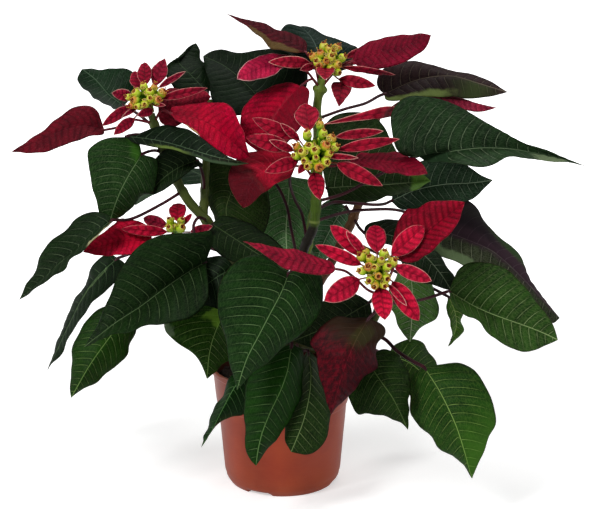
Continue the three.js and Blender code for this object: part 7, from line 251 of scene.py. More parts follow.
  [(29.2,14.6,311.1),(52.5,24,317.7),(70.2,32,321.3),(81.3,38,326.3),(85.5,39,327.8)],
  [(85.52,39,327.79),(89.94,40.16,329.6),(94.37,41.32,331.42),(100.22,43,333.94),(107.16,44.66,336.65),(115.47,45.74,339.15),(123.97,46.09,340.99),(133.74,45.36,342.25),(143.46,44.04,342.3),(152.84,42.43,340.2),(162.12,40.66,337.29),(170.43,39.2,334.98),(177.71,37.94,332.97),(183.98,36.88,331.33),(189.2,35.99,329.97)],
  [(85.52,39,327.79),(81.12,40.47,331.84),(79.38,42.19,337.29),(81.96,45.4,344.53),(89.44,49.31,349.98),(99.95,53.53,352.84),(111.04,56.79,353.42),(123.17,58.33,350.59),(134.84,58.17,346.52),(146.96,56.04,345.11),(158.76,52.53,342.98),(168.77,48.45,339.94),(176.89,44.15,336.13),(183.67,39.83,332.8),(189.2,35.99,329.97)],
  [(85.52,39,327.79),(86.73,36.06,323.56),(91.23,33.67,322.79),(97.64,32.23,323.59),(105.14,31.47,324.58),(113.66,31.24,326.07),(122.3,31.33,326.69),(132.07,31.34,326.54),(141.85,31.48,326.68),(151.5,31.81,325.1),(161.27,32.37,325.14),(169.93,33.2,326.24),(177.54,34.13,327.13),(183.96,35.11,328.45),(189.2,35.99,329.97)]),
 "leaf_middle_rear": ("leaf", None, 1.5,
  [(14.1,-22.4,193.9),(7.5,-6,223),(3.3,8,240.2),(-6.8,17,257),(-21.9,21,264.7),(-35.3,21,266.5)],
  [(-35.31,21,266.45),(-36.37,20.45,263.93),(-37.43,19.9,261.41),(-38.86,19.22,258.04),(-40.49,18.27,254.14),(-42.29,16.7,249.79),(-43.93,14.82,245.52),(-45.67,12.23,240.85),(-46.79,9.6,236.12),(-46.6,7.41,231.06),(-45.72,5.39,225.9),(-44.56,3.72,221.39),(-43.38,2.3,217.45),(-42.49,1.05,214.06),(-41.77,0,211.23)],
  [(-35.31,21,266.45),(-30.98,22.23,264.28),(-26.54,22.95,262.44),(-20.67,22.32,260.06),(-14.89,20.71,255.75),(-11.5,18.2,248.4),(-10.31,15.43,240.43),(-10.43,12.41,231.35),(-12.15,9.6,222.4),(-15.57,7.37,213.8),(-20.63,5.39,205.98),(-26.76,3.72,200.49),(-33.46,2.3,202.44),(-37.96,1.05,207.29),(-41.77,0,211.23)],
  [(-35.31,21,266.45),(-39.11,21.98,268.93),(-42.77,22.59,271.67),(-47.84,22.22,275.21),(-54.7,21.38,276.16),(-61.52,20.64,271.81),(-64.29,19.93,264.28),(-63.9,19.39,254.97),(-62.81,18.53,245.78),(-60.77,16.91,236.91),(-58.26,14.42,228.34),(-55.32,10.9,221.27),(-51.2,7.11,216.11),(-46.13,3.34,213.3),(-41.77,0,211.23)]),
 "leaf_center_rear": ("leaf", None, 1.5,
  [(20.7,-32.1,217.9),(16.6,-14,236.9),(10.8,6,244.1),(6.6,26,253.3),(6.5,34,258.5)],
  [(6.53,34,258.53),(6.29,34.44,255.07),(6.05,34.89,251.61),(5.73,35.67,247),(5.35,36.25,241.63),(4.89,36.01,235.44),(4.42,34.95,229.39),(3.78,32.46,222.93),(3.29,29.28,216.73),(3.19,25.7,210.78),(3.35,21.97,205.03),(3.76,19.07,200.03),(4.22,16.15,195.82),(4.58,12.43,192.5),(4.88,8.98,189.82)],
  [(6.53,34,258.53),(10.77,38.71,256.48),(15.09,42.76,254.83),(20.87,46.28,252.97),(27.24,48.89,249.85),(29.84,50.19,242.35),(28.41,49.93,234.49),(26.27,47.72,226.17),(23.33,44.04,218.45),(20.39,38.86,211.12),(18.97,33,203.62),(17.47,28.55,196.85),(13.39,23.52,192.58),(8.72,16.09,190.94),(4.88,8.98,189.82)],
  [(6.53,34,258.53),(1.75,38,257.3),(-3.07,41.34,256.53),(-9.48,43.89,255.73),(-16.6,45.43,253.26),(-21.03,45.64,245.92),(-22.39,44.53,237.53),(-22.62,41.82,228.3),(-21.53,37.97,219.4),(-19.12,33.13,211.01),(-15.26,27.59,203.34),(-10.56,22.26,197.36),(-5.5,17.3,193.02),(-0.01,12.81,190.9),(4.88,8.98,189.82)]),
 "leaf_center_right": ("leaf", None, 1.5,
  [(57.3,30.9,215.9),(57.6,36,225),(54.2,36,232)],
  [(54.19,36,231.99),(52.82,36.69,229.88),(51.46,37.37,227.78),(49.64,38.3,224.98),(47.55,39.29,221.67),(45.25,40.18,217.76),(43.04,40.88,213.77),(40.64,41.46,209.19),(38.36,41.86,204.54),(36.25,42.08,199.8),(34.24,42.17,195),(32.55,42.14,190.7),(31.11,42.06,186.93),(29.85,42.03,183.7),(28.8,42,181.01)],
  [(54.19,36,231.99),(56.15,40.38,228.76),(58.21,44.22,225.74),(60.33,47.8,221.61),(60.33,50.81,216.41),(58.54,52.96,211.05),(56.13,54.11,206.19),(53.18,54.44,201.08),(49.97,53.94,196.32),(46.35,52.7,192.04),(42.45,50.82,188.18),(38.72,48.62,185.15),(35.12,46.32,183.01),(31.7,44.03,181.83),(28.8,42,181.01)],
  [(54.19,36,231.99),(51.16,39.05,232.59),(48.2,41.67,233.49),(44.14,43.9,234.83),(39.05,45.74,235.01),(34.26,47.24,231.17),(30.8,48.28,225.93),(27.81,49.14,219.52),(26.2,49.51,212.68),(25.35,49.22,205.83),(24.94,48.35,199.07),(25.24,46.94,193.21),(26.29,45.3,188.3),(27.67,43.57,184.31),(28.8,42,181.01)]),
 "leaf_center_behind": ("leaf", None, 1.5,
  [(65.7,33.3,237.5),(53.7,20,244.3),(44.2,8,250.5),(36.5,0,255.7)],
  [(36.54,0,255.66),(40.45,0.03,255.89),(44.36,0.05,256.12),(49.57,0.12,256.43),(55.66,0.14,256.79),(62.61,0.03,257.22),(69.56,-0.19,257.67),(77.37,-0.6,258.17),(85.17,-1.16,258.72),(92.94,-1.88,259.38),(100.69,-2.75,260.15),(107.54,-3.7,260.97),(113.52,-4.61,261.72),(118.65,-5.36,262.36),(122.93,-6,262.89)],
  [(36.54,0,255.66),(35.15,1.78,263.06),(33.72,3.05,270.55),(32.3,3.16,280.94),(31.86,2.54,293.25),(34.57,1.51,306.99),(43.92,0.41,316.59),(58.81,-0.42,319.53),(73.78,-1.16,316.92),(84.75,-1.92,306.84),(91.48,-2.75,292.94),(98.12,-3.7,280.97),(107.7,-4.61,273.91),(116.31,-5.36,268.36),(122.93,-6,262.89)],
  [(36.54,0,255.66),(37.59,-8.05,253.03),(38.54,-15.01,250.15),(41.68,-21.1,246.65),(48.33,-26,247),(56.03,-29.45,248.77),(63.79,-31.17,249.82),(72.51,-31.43,251.04),(81.16,-30.27,252.65),(89.71,-27.89,254.68),(98.28,-24.38,256.66),(105.98,-20.27,258.25),(112.71,-15.75,259.74),(118.32,-10.65,261.37),(122.93,-6,262.89)]),
 "leaf_right_inner": ("leaf", None, 1.5,
  [(60.7,32.2,223.7),(64.1,22,217.9),(68.8,10,214.8)],
  [(68.75,10,214.76),(71.54,5.78,215.72),(74.33,1.57,216.68),(78,-4.07,218.12),(82.36,-10.62,219.51),(87.62,-18.08,220.34),(93.08,-25.37,220.37),(99.48,-33.38,219.36),(106.05,-40.74,217.06),(112.77,-47.17,213),(119.49,-52.1,207.47),(125.34,-53.82,200.94),(130.25,-54.24,194.4),(134.05,-54.35,188.43),(137.09,-54.25,183.27)],
  [(68.75,10,214.76),(69.5,9.65,220.15),(73.22,8.77,223.7),(79.82,6.05,225.99),(87.45,1.84,228.88),(96.25,-4.04,230.15),(104.42,-10.67,228.46),(111.87,-18.87,223.83),(118.18,-27.29,218.1),(124.35,-35.69,212.37),(130.26,-43.23,206.23),(135.38,-47.77,200.03),(139.83,-50.77,194.3),(139.35,-52.8,188.17),(137.09,-54.25,183.27)],
  [(68.75,10,214.76),(69.51,1.25,212.66),(71.81,-6.77,211.37),(76.99,-15.46,212.45),(83.11,-23.87,213.57),(90.12,-31.17,214.17),(95.11,-36.94,210.68),(97.12,-42.11,203.71),(101.19,-46.38,197.48),(106.84,-50.39,192.42),(113.9,-53.65,189.23),(121.04,-55.55,188.39),(127.1,-56.24,186.37),(132.4,-55.41,184.19),(137.09,-54.25,183.27)]),
 "leaf_right_small": ("leaf", None, 1.5,
  [(49.3,27,199.7),(102.1,-16,184.5),(123.6,-30,178.1),(137.2,-36,172.1)],
  [(137.24,-36,172.11),(138.02,-36.63,170.4),(138.81,-37.26,168.68),(139.9,-38.12,166.42),(141.05,-39.06,163.72),(142.06,-39.97,160.45),(142.77,-40.73,157.09),(143.23,-41.38,153.18),(143.23,-41.84,149.25),(142.51,-42.08,145.38),(141.35,-42.18,141.57),(140.01,-42.14,138.31),(138.71,-42.07,135.5),(137.67,-42.03,133.06),(136.82,-42,131.02)],
  [(137.24,-36,172.11),(139.73,-34.57,171.13),(142.21,-33.42,170.27),(145.11,-32.67,168.47),(147.19,-32.31,165.05),(148.68,-32.34,160.82),(149.4,-32.72,156.5),(147.81,-33.53,152.03),(149.28,-34.6,147.6),(150.1,-35.85,143.13),(147.34,-37.24,139.41),(144.22,-38.52,136.65),(141.46,-39.74,134.29),(138.93,-40.95,132.5),(136.82,-42,131.02)],
  [(137.24,-36,172.11),(136.32,-38.83,171.08),(135.35,-41.35,169.99),(134.4,-43.83,168.19),(134.18,-46.05,165.76),(134.83,-47.84,162.84),(135.83,-49.03,159.82),(136.96,-49.75,156.23),(137.83,-49.89,152.36),(138.68,-49.43,148.3),(139.29,-48.43,144.01),(139.17,-47.03,140.03),(138.43,-45.41,136.56),(137.63,-43.63,133.53),(136.82,-42,131.02)]),
 "leaf_rear_left": ("leaf", None, 1.5,
  [(-62,18.1,291.1),(-57,44,272),(-60,70,246)],
  [(-60,70,246),(-63.87,75.01,246.81),(-67.73,80.01,247.64),(-72.86,86.69,249),(-78.89,94.46,250.11),(-85.92,103.35,250.02),(-92.97,112.08,248.74),(-100.94,121.58,245.74),(-108.67,130.74,241.38),(-115.91,139.51,235.65),(-122.57,147.76,228.62),(-127.55,154.21,220.82),(-131.58,159.54,213.41),(-135.09,164.17,207.21),(-138,168,202)],
  [(-61.75,68.73,245.5),(-73.31,68.23,244.15),(-83.75,68.41,243.1),(-94.45,70.59,242.78),(-104.5,74.57,242.6),(-113.07,80.71,241.87),(-119.9,87.99,240.53),(-126.66,97.17,237.92),(-132.14,107.3,234.37),(-136.33,118.48,229.83),(-139.06,130.39,224.24),(-139.49,141.52,217.85),(-139.03,151.6,211.7),(-138.53,160.49,206.44),(-138,168,202)],
  [(-58.33,71.38,245.5),(-54.9,82.41,244.15),(-52.46,92.57,243.1),(-51.96,103.65,242.78),(-53.53,114.67,242.6),(-57.98,125.04,241.87),(-64.1,133.81,240.53),(-72.17,142.32,237.92),(-81.3,149.49,234.37),(-91.21,155.3,229.83),(-101.94,159.92,224.24),(-112.33,162.69,217.85),(-121.95,164.63,211.7),(-130.61,166.47,206.44),(-138,168,202)]),
 "leaf_rear_middle": ("leaf", None, 1.5,
  [(15.4,12.3,180.5),(24,36,188),(12,66,196)],
  [(12,66,196),(13.2,71.57,196.6),(14.4,77.15,197.2),(16.03,84.59,198.28),(17.87,93.25,198.9),(19.81,103.17,197.83),(21.58,112.84,195.36),(23.31,123.21,190.83),(24.77,132.95,184.93),(25.94,141.8,177.79),(26.82,149.76,169.62),(27.26,155.62,161.34),(27.51,160.33,153.72),(27.78,164.52,147.33),(28,168,142)],
  [(9.78,66.53,195.47),(1.33,74.52,193.79),(-5.83,82.02,192.41),(-11.66,90.63,191.71),(-15.67,99.59,191.01),(-17.05,108.44,189.41),(-16.35,116.51,187.05),(-14.09,125.17,183.16),(-10.29,133.31,178.3),(-5.05,140.84,172.49),(1.55,147.93,165.8),(8.91,153.77,158.81),(16.09,158.88,152.28),(22.51,163.79,146.7),(28,168,142)],
  [(14.24,65.57,195.47),(25.23,69.32,193.79),(34.85,73.25,192.41),(43.81,79.02,191.71),(51.25,86.13,191.01),(56.09,94.69,189.41),(58.52,103.49,187.05),(59.48,113.52,183.16),(58.56,123.54,178.3),(55.79,133.4,172.49),(51.23,142.96,165.8),(45.04,150.79,158.81),(38.66,157.42,152.28),(32.94,163.2,146.7),(28,168,142)]),
 "leaf_rear_right": ("leaf", None, 1.5,
  [(59.7,31.9,221.5),(66,58,234),(78,82,232)],
  [(78,82,232),(81.63,86.81,233.16),(85.25,91.61,234.33),(90.04,98.03,236.22),(95.71,105.48,237.81),(102.47,114.02,237.86),(109.28,122.3,236.38),(116.94,131.03,232.55),(124.32,139.28,227.2),(131.12,147.07,220.64),(137.34,154.3,212.96),(142.04,159.93,204.94),(145.86,164.57,197.48),(149.21,168.63,191.23),(152,172,186)],
  [(76.33,83.38,231.51),(72.68,94.24,230.53),(70.01,104.22,229.84),(69.19,115.06,230.03),(70.42,125.78,230.31),(74.6,135.8,229.75),(80.47,144.14,228.25),(88.25,151.94,224.94),(97.06,158.29,220.5),(106.58,163.21,215.15),(116.91,166.88,208.87),(127,168.8,202.17),(136.38,169.96,195.87),(144.81,171.09,190.51),(152,172,186)],
  [(79.79,80.77,231.51),(91.27,80.29,230.53),(101.57,80.42,229.84),(111.93,82.32,230.03),(121.48,85.8,230.31),(129.39,91.12,229.75),(135.57,97.49,228.25),(141.73,105.61,224.94),(146.73,114.73,220.5),(150.54,125.02,215.15),(153.02,136.14,208.87),(153.37,146.65,202.17),(152.92,156.26,195.87),(152.47,164.78,190.51),(152,172,186)]),
 "leaf_rear_lower": ("leaf", None, 1.5,
  [(-10.6,-6.2,148.4),(-30,38,164),(-44,66,152)],
  [(-44,66,152),(-46.68,70.86,152),(-49.36,75.71,152.03),(-52.93,82.22,152.37),(-57.09,89.74,152.29),(-61.88,98.24,150.82),(-66.54,106.37,148.03),(-71.53,114.78,142.87),(-76.21,122.51,136.38),(-80.47,129.51,128.92),(-84.23,135.64,120.51),(-86.83,139.8,112.01),(-88.82,142.95,104.18),(-90.57,145.73,97.55),(-92,148,92)],
  [(-45.8,65.01,151.52),(-56.36,65.61,149.45),(-65.78,66.71,147.69),(-75.12,69.64,146.46),(-83.5,74.03,145.22),(-89.99,79.95,143.34),(-94.54,86.49,140.72),(-98.31,94.23,136.23),(-100.64,102.43,130.74),(-101.61,111.21,124.49),(-101.17,120.3,117.4),(-98.97,128.44,110.02),(-96.32,135.77,103.1),(-94.01,142.38,97.09),(-92,148,92)],
  [(-42.2,66.99,151.52),(-37.07,76.22,149.45),(-32.99,84.79,147.69),(-30.52,94.39,146.46),(-29.9,104.05,145.22),(-31.84,113.19,143.34),(-35.45,120.95,140.72),(-40.68,128.48,136.23),(-47.08,134.81,130.74),(-54.53,139.98,124.49),(-62.92,143.89,117.4),(-71.28,145.68,110.02),(-79.09,146.59,103.1),(-86.06,147.4,97.09),(-92,148,92)]),
}
# small bracts, mm: head, midrib, left and right margins
TS_SMALL = (0, .09, .22, .38, .56, .74, .89, 1.0)
SMALL = [
 ("A1", "A", [(-111.8,4,340.2),(-112,5.3,342.1),(-112.2,7.3,344.8),(-112.4,9.9,347.9),(-112.7,13.2,351),(-112.9,16.8,353.7),(-113.1,20.1,355.8),(-113.3,22.5,357.2)], [(-112.4,3.9,340.2),(-114.7,5.1,342.1),(-117.1,6.8,344.9),(-118.5,9.3,348),(-118.5,12.6,351.1),(-117.5,16.4,353.8),(-115.6,19.9,355.8),(-113.3,22.5,357.2)], [(-111.2,4,340.3),(-109.2,5.2,342.5),(-107.3,7,345.5),(-106.4,9.5,348.8),(-106.9,12.7,351.9),(-108.5,16.5,354.4),(-110.7,19.9,356.1),(-113.3,22.5,357.2)]),
 ("A2", "A", [(-104.8,8,338.7),(-104,9.2,341),(-102.9,11,344.2),(-101.5,13.4,348),(-100,16.6,351.9),(-98.6,20.2,355.4),(-97.5,23.6,358.1),(-96.7,26.1,360)], [(-105.5,8,339),(-106.4,9.1,341.9),(-107.4,10.9,346),(-107.8,13.5,350.4),(-106,16.6,354.2),(-102.7,20.2,357),(-99.4,23.5,358.8),(-96.7,26.1,360)], [(-104.1,7.9,338.6),(-101.5,8.7,340.4),(-98.1,10.1,343.1),(-95,12.3,346.5),(-93.8,15.5,350.4),(-94.5,19.5,354.4),(-95.6,23.2,357.6),(-96.7,26.1,360)]),
 ("A3", "A", [(-115.3,6,336.6),(-116.2,7.6,338.1),(-117.4,9.9,340.2),(-118.7,12.9,342.6),(-120.2,16.6,344.9),(-121.4,20.5,346.8),(-122.4,24,348.2),(-123.1,26.6,349.1)], [(-115.9,5.9,336.4),(-118.3,7.2,337.4),(-121.4,9.2,338.9),(-124.3,11.9,340.8),(-125.5,15.6,343.2),(-125,19.9,345.7),(-124.1,23.7,347.6),(-123.1,26.6,349.1)], [(-114.8,6,336.9),(-114.2,7.7,339.2),(-113.6,10,342.3),(-113.5,13.1,345.5),(-115.2,16.8,347.7),(-118.1,20.7,348.7),(-120.8,24.1,349),(-123.1,26.6,349.1)]),
 ("A4", "A", [(-121.5,0,331.8),(-122.9,-0.7,332.2),(-125,-1.6,332.8),(-127.6,-2.6,333.5),(-130.7,-3.4,334.2),(-133.8,-3.8,334.9),(-136.5,-4,335.4),(-138.5,-4,335.7)], [(-121.5,-0.2,331.3),(-123.2,-1.5,330.1),(-125.5,-3.1,329),(-128.3,-4.4,328.8),(-131.3,-5.2,329.7),(-134.3,-5.2,331.4),(-136.8,-4.7,333.4),(-138.5,-4,335.7)], [(-121.4,0.1,332.3),(-122.4,-0.4,334.4),(-124.2,-1.1,336.8),(-126.6,-1.9,338.4),(-129.7,-2.7,339),(-133.1,-3.3,338.6),(-136.1,-3.7,337.4),(-138.5,-4,335.7)]),
 ("A5", "A", [(-123,-3,324.9),(-124.9,-4.5,323.8),(-127.8,-6.6,322.2),(-131.3,-8.9,320.1),(-135.4,-11,317.5),(-139.6,-12.5,314.7),(-143.2,-13.4,312.2),(-145.9,-14,310.3)], [(-122.7,-3.1,324.5),(-123.7,-5.1,322.3),(-125.5,-7.7,319.5),(-128.6,-10.3,316.8),(-132.8,-12.3,314.3),(-137.6,-13.5,312.2),(-142.1,-14,310.8),(-145.9,-14,310.3)], [(-123.2,-3,325.2),(-126.1,-4.3,325.4),(-129.8,-6.3,325.1),(-133.8,-8.5,323.7),(-137.8,-10.6,321),(-141.5,-12.2,317.4),(-144.3,-13.2,313.7),(-145.9,-14,310.3)]),
 ("A6", "A", [(-117.1,-5,324.4),(-118.2,-6.1,323.9),(-119.7,-7.6,323.1),(-121.7,-9.4,322.1),(-124.1,-11.1,320.7),(-126.6,-12.4,319.3),(-128.7,-13.4,317.9),(-130.3,-14,316.9)], [(-117,-5.1,324.2),(-117.6,-6.4,323.2),(-118.7,-8.1,321.9),(-120.5,-10,320.6),(-122.9,-11.6,319.3),(-125.6,-12.9,318.2),(-128.2,-13.6,317.3),(-130.3,-14,316.9)], [(-117.2,-5,324.5),(-118.7,-6,324.6),(-120.6,-7.5,324.5),(-122.8,-9.2,323.7),(-125.1,-10.8,322.4),(-127.4,-12.3,320.5),(-129.1,-13.3,318.6),(-130.3,-14,316.9)]),
 ("A7", "A", [(-119.7,-10,316.2),(-121,-11.6,315.4),(-122.8,-13.9,314.2),(-125.2,-16.6,312.7),(-128.1,-19.2,310.7),(-131.1,-21.3,308.4),(-133.7,-22.9,306.3),(-135.6,-24,304.8)], [(-119.4,-10.1,315.9),(-119.5,-12.2,314),(-120.1,-15,311.8),(-121.9,-17.9,309.7),(-124.9,-20.4,307.8),(-128.6,-22.3,306.1),(-132.3,-23.5,305.1),(-135.6,-24,304.8)], [(-120,-10,316.5),(-122.3,-11.4,317),(-125.2,-13.6,317.2),(-128.2,-16.1,316.2),(-130.9,-18.7,314.1),(-133.3,-21,311.1),(-134.9,-22.7,307.8),(-135.6,-24,304.8)]),
 ("A8", "A", [(-104.8,-6,322.1),(-105.7,-7.3,322),(-107,-9.2,321.8),(-108.8,-11.3,321.5),(-110.9,-13.5,321),(-113.2,-15.5,320.4),(-115.3,-17,319.8),(-116.8,-18,319.3)], [(-104.6,-6.1,321.7),(-104.8,-7.9,320.5),(-105.4,-10.2,319.1),(-106.8,-12.6,318.2),(-108.9,-14.7,317.9),(-111.7,-16.4,317.9),(-114.5,-17.5,318.4),(-116.8,-18,319.3)], [(-105,-5.9,322.4),(-106.4,-7,323.7),(-108.2,-8.7,324.9),(-110.2,-10.7,325.2),(-112.3,-13,324.6),(-114.3,-15,323.2),(-115.9,-16.7,321.3),(-116.8,-18,319.3)]),
 ("A9", "A", [(-105.5,-6,327),(-104.6,-6.8,327.1),(-103.2,-7.8,327.1),(-101.4,-9,327.2),(-99.3,-10.1,327.2),(-97.1,-11,327.1),(-95.1,-11.6,326.9),(-93.7,-12,326.8)], [(-105.5,-6,327.2),(-104.5,-6.6,328),(-103,-7.6,328.8),(-101.2,-8.7,329.2),(-99.1,-9.9,329.1),(-96.9,-10.8,328.5),(-95.1,-11.5,327.8),(-93.7,-12,326.8)], [(-105.6,-6.1,326.8),(-104.8,-7.1,326.2),(-103.5,-8.4,325.6),(-101.8,-9.7,325.3),(-99.7,-10.8,325.4),(-97.4,-11.6,325.7),(-95.3,-11.9,326.2),(-93.7,-12,326.8)]),
 ("A10", "A", [(-101.4,6,338.2),(-99.3,6.2,339.5),(-96.2,6.6,341.4),(-92.5,7.4,343.7),(-88.4,8.7,346),(-84.4,10.6,348.1),(-81.1,12.5,349.8),(-78.7,14,351)], [(-101.5,6,338.5),(-99.9,6.4,340.6),(-97.4,6.9,343.4),(-94,7.7,346.1),(-89.8,9,348.3),(-85.5,10.8,350),(-81.7,12.6,350.8),(-78.7,14,351)], [(-101.2,5.9,338),(-98.5,5.8,338.5),(-94.9,5.9,339.6),(-91,6.5,341.5),(-86.9,7.8,343.9),(-83.2,9.9,346.5),(-80.5,12.1,348.9),(-78.7,14,351)]),
 ("A11", "A", [(-99.4,0,330.1),(-95.9,-0.6,331.1),(-90.8,-1.3,332.5),(-84.5,-1.8,334.1),(-77.5,-1.6,335.7),(-70.4,-0.5,337.1),(-64.5,0.9,338.1),(-60.2,2,338.9)], [(-99.5,0.1,330.5),(-96.3,-0.4,332.8),(-91.5,-0.9,335.5),(-85.4,-1.3,337.8),(-78.3,-1.1,339.3),(-71,-0.1,339.9),(-64.9,1.1,339.7),(-60.2,2,338.9)], [(-99.3,-0.1,329.8),(-95.5,-1.2,329.5),(-90.1,-2.4,329.6),(-83.7,-3.2,330.6),(-76.7,-2.9,332.3),(-69.8,-1.5,334.5),(-64.2,0.3,336.7),(-60.2,2,338.9)]),
 ("B1", "B", [(24,8,358.5),(21,6.6,358.9),(16.7,4.6,359.4),(11.2,1.9,360),(5,-0.4,360.5),(-1.5,-0.9,360.6),(-7,-0.2,360.5),(-11,-0.1,360.5)], [(24,7.8,358),(21.1,5.8,356.7),(16.8,3.1,355.5),(11.4,0.2,355.2),(5.1,-2.6,356),(-1.4,-2.8,357.2),(-6.9,-1.1,358.6),(-11,-0.1,360.5)], [(24,8.1,359),(21.1,6.9,361.1),(16.8,5.2,363.5),(11.4,3.1,364.9),(5.1,1.1,365.2),(-1.4,0.2,364.3),(-6.9,0.2,362.6),(-11,-0.1,360.5)]),
 ("B2", "B", [(26.4,4,356.6),(25.5,3.1,356.6),(24.2,1.7,356.4),(22.5,0.2,356.2),(20.5,-1.2,355.8),(18.3,-2.5,355.4),(16.4,-3.4,354.9),(15,-4,354.6)], [(26.5,3.9,356.3),(26.1,2.6,355.3),(25.2,0.9,354.1),(23.8,-0.8,353.4),(21.7,-2.3,353.2),(19.3,-3.3,353.3),(16.9,-3.8,353.8),(15,-4,354.6)], [(26.3,4,356.9),(25.1,3.3,358),(23.5,2.1,358.9),(21.6,0.7,359.3),(19.6,-0.8,358.8),(17.7,-2.1,357.7),(16.1,-3.2,356.2),(15,-4,354.6)]),
 ("B3", "B", [(35.4,2,355.3),(35.4,-0.9,355.5),(35.3,-5.1,355.6),(35.3,-10.1,355.4),(35.2,-15.8,354.7),(35.1,-21.3,353.2),(35,-25.8,351.6),(35,-29.1,350.3)], [(36.1,2,355.4),(38.8,-1,355.8),(41.6,-5.2,356.1),(42.9,-10.4,356.1),(42.6,-16,355.3),(40.8,-21.4,353.7),(38.2,-25.9,351.9),(35,-29.1,350.3)], [(34.6,2,355.4),(31.9,-0.9,356),(29.1,-5.1,356.5),(27.7,-10.2,356.6),(27.9,-15.8,355.8),(29.4,-21.3,354.1),(31.9,-25.8,352.1),(35,-29.1,350.3)]),
 ("B4", "B", [(51.1,12,362),(53.7,12.1,363),(57.6,15.4,364.1),(62.4,17.1,365.6),(67.6,16.4,367.7),(72.8,15.8,369.6),(77.1,15.7,371.1),(80.2,16.3,372.1)], [(50.9,12,362.4),(53.1,12.4,364.6),(56.6,16.7,366.7),(61.2,19.3,368.8),(66.5,18.7,370.7),(71.9,17.5,372),(76.6,16.5,372.4),(80.2,16.3,372.1)], [(51.2,11.9,361.7),(54.3,11.5,361.6),(58.7,13.6,361.6),(63.6,14.4,362.6),(68.8,13.8,364.8),(73.7,14,367.4),(77.6,14.8,369.9),(80.2,16.3,372.1)]),
 ("B5", "B", [(49.4,9,357.5),(51.7,8.6,358),(55.1,9.6,358.4),(59.3,10,359),(63.9,8.7,359.9),(68.6,7.8,360.6),(72.6,7.7,361.2),(75.5,8,361.5)], [(49.3,9,357.8),(51.5,8.7,359),(54.8,9.2,360.3),(59,10.9,361.1),(63.6,9.4,361.9),(68.4,7.9,362.3),(72.4,7.8,362.1),(75.5,8,361.5)], [(49.4,8.9,357.3),(51.8,8.1,357.1),(55.3,8,356.8),(59.5,8.3,357.1),(64.2,7.3,358),(68.8,6.8,359.2),(72.7,7.3,360.3),(75.5,8,361.5)]),
 ("B6", "B", [(48.5,5,355.7),(52.4,3.3,355.4),(58,-1.5,355.5),(64.8,-7.4,355.4),(72.7,-10.8,354.8),(80.8,-11.4,353.6),(87.9,-4.3,351.4),(93,-2.7,350.3)], [(48.5,5,355.9),(52.6,3.4,356.7),(58.3,-1.3,357.7),(65.2,-7.5,358.3),(73,-11.7,357.6),(81,-12.4,355.9),(88.1,-4.4,352.6),(93,-2.7,350.3)], [(48.4,4.9,355.4),(52.2,2.9,354.2),(57.6,-0.8,353.1),(64.5,-5,352.3),(72.4,-7.3,351.6),(80.6,-7.7,351),(87.8,-3.7,350.1),(93,-2.7,350.3)]),
 ("B7", "B", [(46.1,4,346),(48.7,2.4,345.8),(52.4,-0.4,345.6),(57.1,-2.8,345.2),(62.6,-3.9,344.3),(68.3,-5,343.4),(73.2,-5.6,342.5),(76.7,-6,341.8)], [(46.2,4.1,346.5),(49.1,2.8,348.1),(53.2,0.6,349.7),(58.1,-1.6,350.2),(63.6,-3.1,349.3),(69,-4.4,347.2),(73.5,-5.3,344.6),(76.7,-6,341.8)], [(45.9,3.8,345.5),(48.1,1.3,343.6),(51.3,-4.3,342.1),(55.8,-7.6,340.9),(61.4,-6.4,339.8),(67.4,-6.5,339.8),(72.6,-6.4,340.5),(76.7,-6,341.8)]),
 ("B8", "B", [(49.3,1,344),(49.1,-1.7,343.1),(48.8,-2.8,341.4),(48.4,-10.6,339.9),(47.8,-17,337.4),(47.2,-22.5,334.2),(46.7,-26.7,331.1),(46.2,-29.7,328.6)], [(51.8,0.8,343.9),(54.9,-2.2,343),(56.9,-3.3,341.2),(56.8,-11.2,339.7),(55,-17.6,337.3),(51.9,-22.9,334.1),(48.9,-26.9,331),(46.2,-29.7,328.6)], [(46.8,0.9,344.6),(43.3,-2,344.5),(41,-4.8,343.5),(40.1,-11.3,342),(40.8,-17.3,339.1),(42.6,-22.6,335.3),(44.5,-26.7,331.6),(46.2,-29.7,328.6)]),
 ("C1", "C", [(22.1,-54,312.9),(21.8,-51,315.1),(21.3,-46.7,318.2),(20.7,-41.1,321.7),(20.1,-34.5,324.9),(19.6,-27.6,327.2),(19.3,-21.6,328.8),(19,-17.1,329.7)], [(21.1,-54.1,312.9),(18,-51.3,315.1),(14.1,-47.2,318.2),(10.8,-41.9,321.6),(10.7,-35.3,324.8),(13.3,-28.1,327.2),(16.3,-21.8,328.7),(19,-17.1,329.7)], [(23.1,-54,313.1),(25.5,-51.1,316),(28.3,-46.8,319.8),(30.4,-41.3,323.9),(29.4,-34.7,327),(25.9,-27.7,328.7),(22.2,-21.7,329.4),(19,-17.1,329.7)]),
 ("C2", "C", [(11,-54,307.3),(8,-54.4,308.9),(3.6,-54.8,311.2),(-1.9,-54.9,314),(-8,-54.3,316.9),(-14.1,-52.9,319.7),(-19.2,-51.3,321.8),(-22.9,-50,323.4)], [(10.8,-54.2,306.8),(6.8,-55.3,306.7),(1.5,-56.4,307.2),(-4.4,-56.9,309.1),(-10.4,-56.2,312.2),(-16,-54.4,316),(-20.3,-52.1,319.8),(-22.9,-50,323.4)], [(11.3,-53.9,307.8),(9.2,-54.1,311.3),(5.7,-54.2,315.5),(0.7,-54.2,319.3),(-5.5,-53.6,322),(-12.2,-52.4,323.6),(-18.1,-51,324),(-22.9,-50,323.4)]),
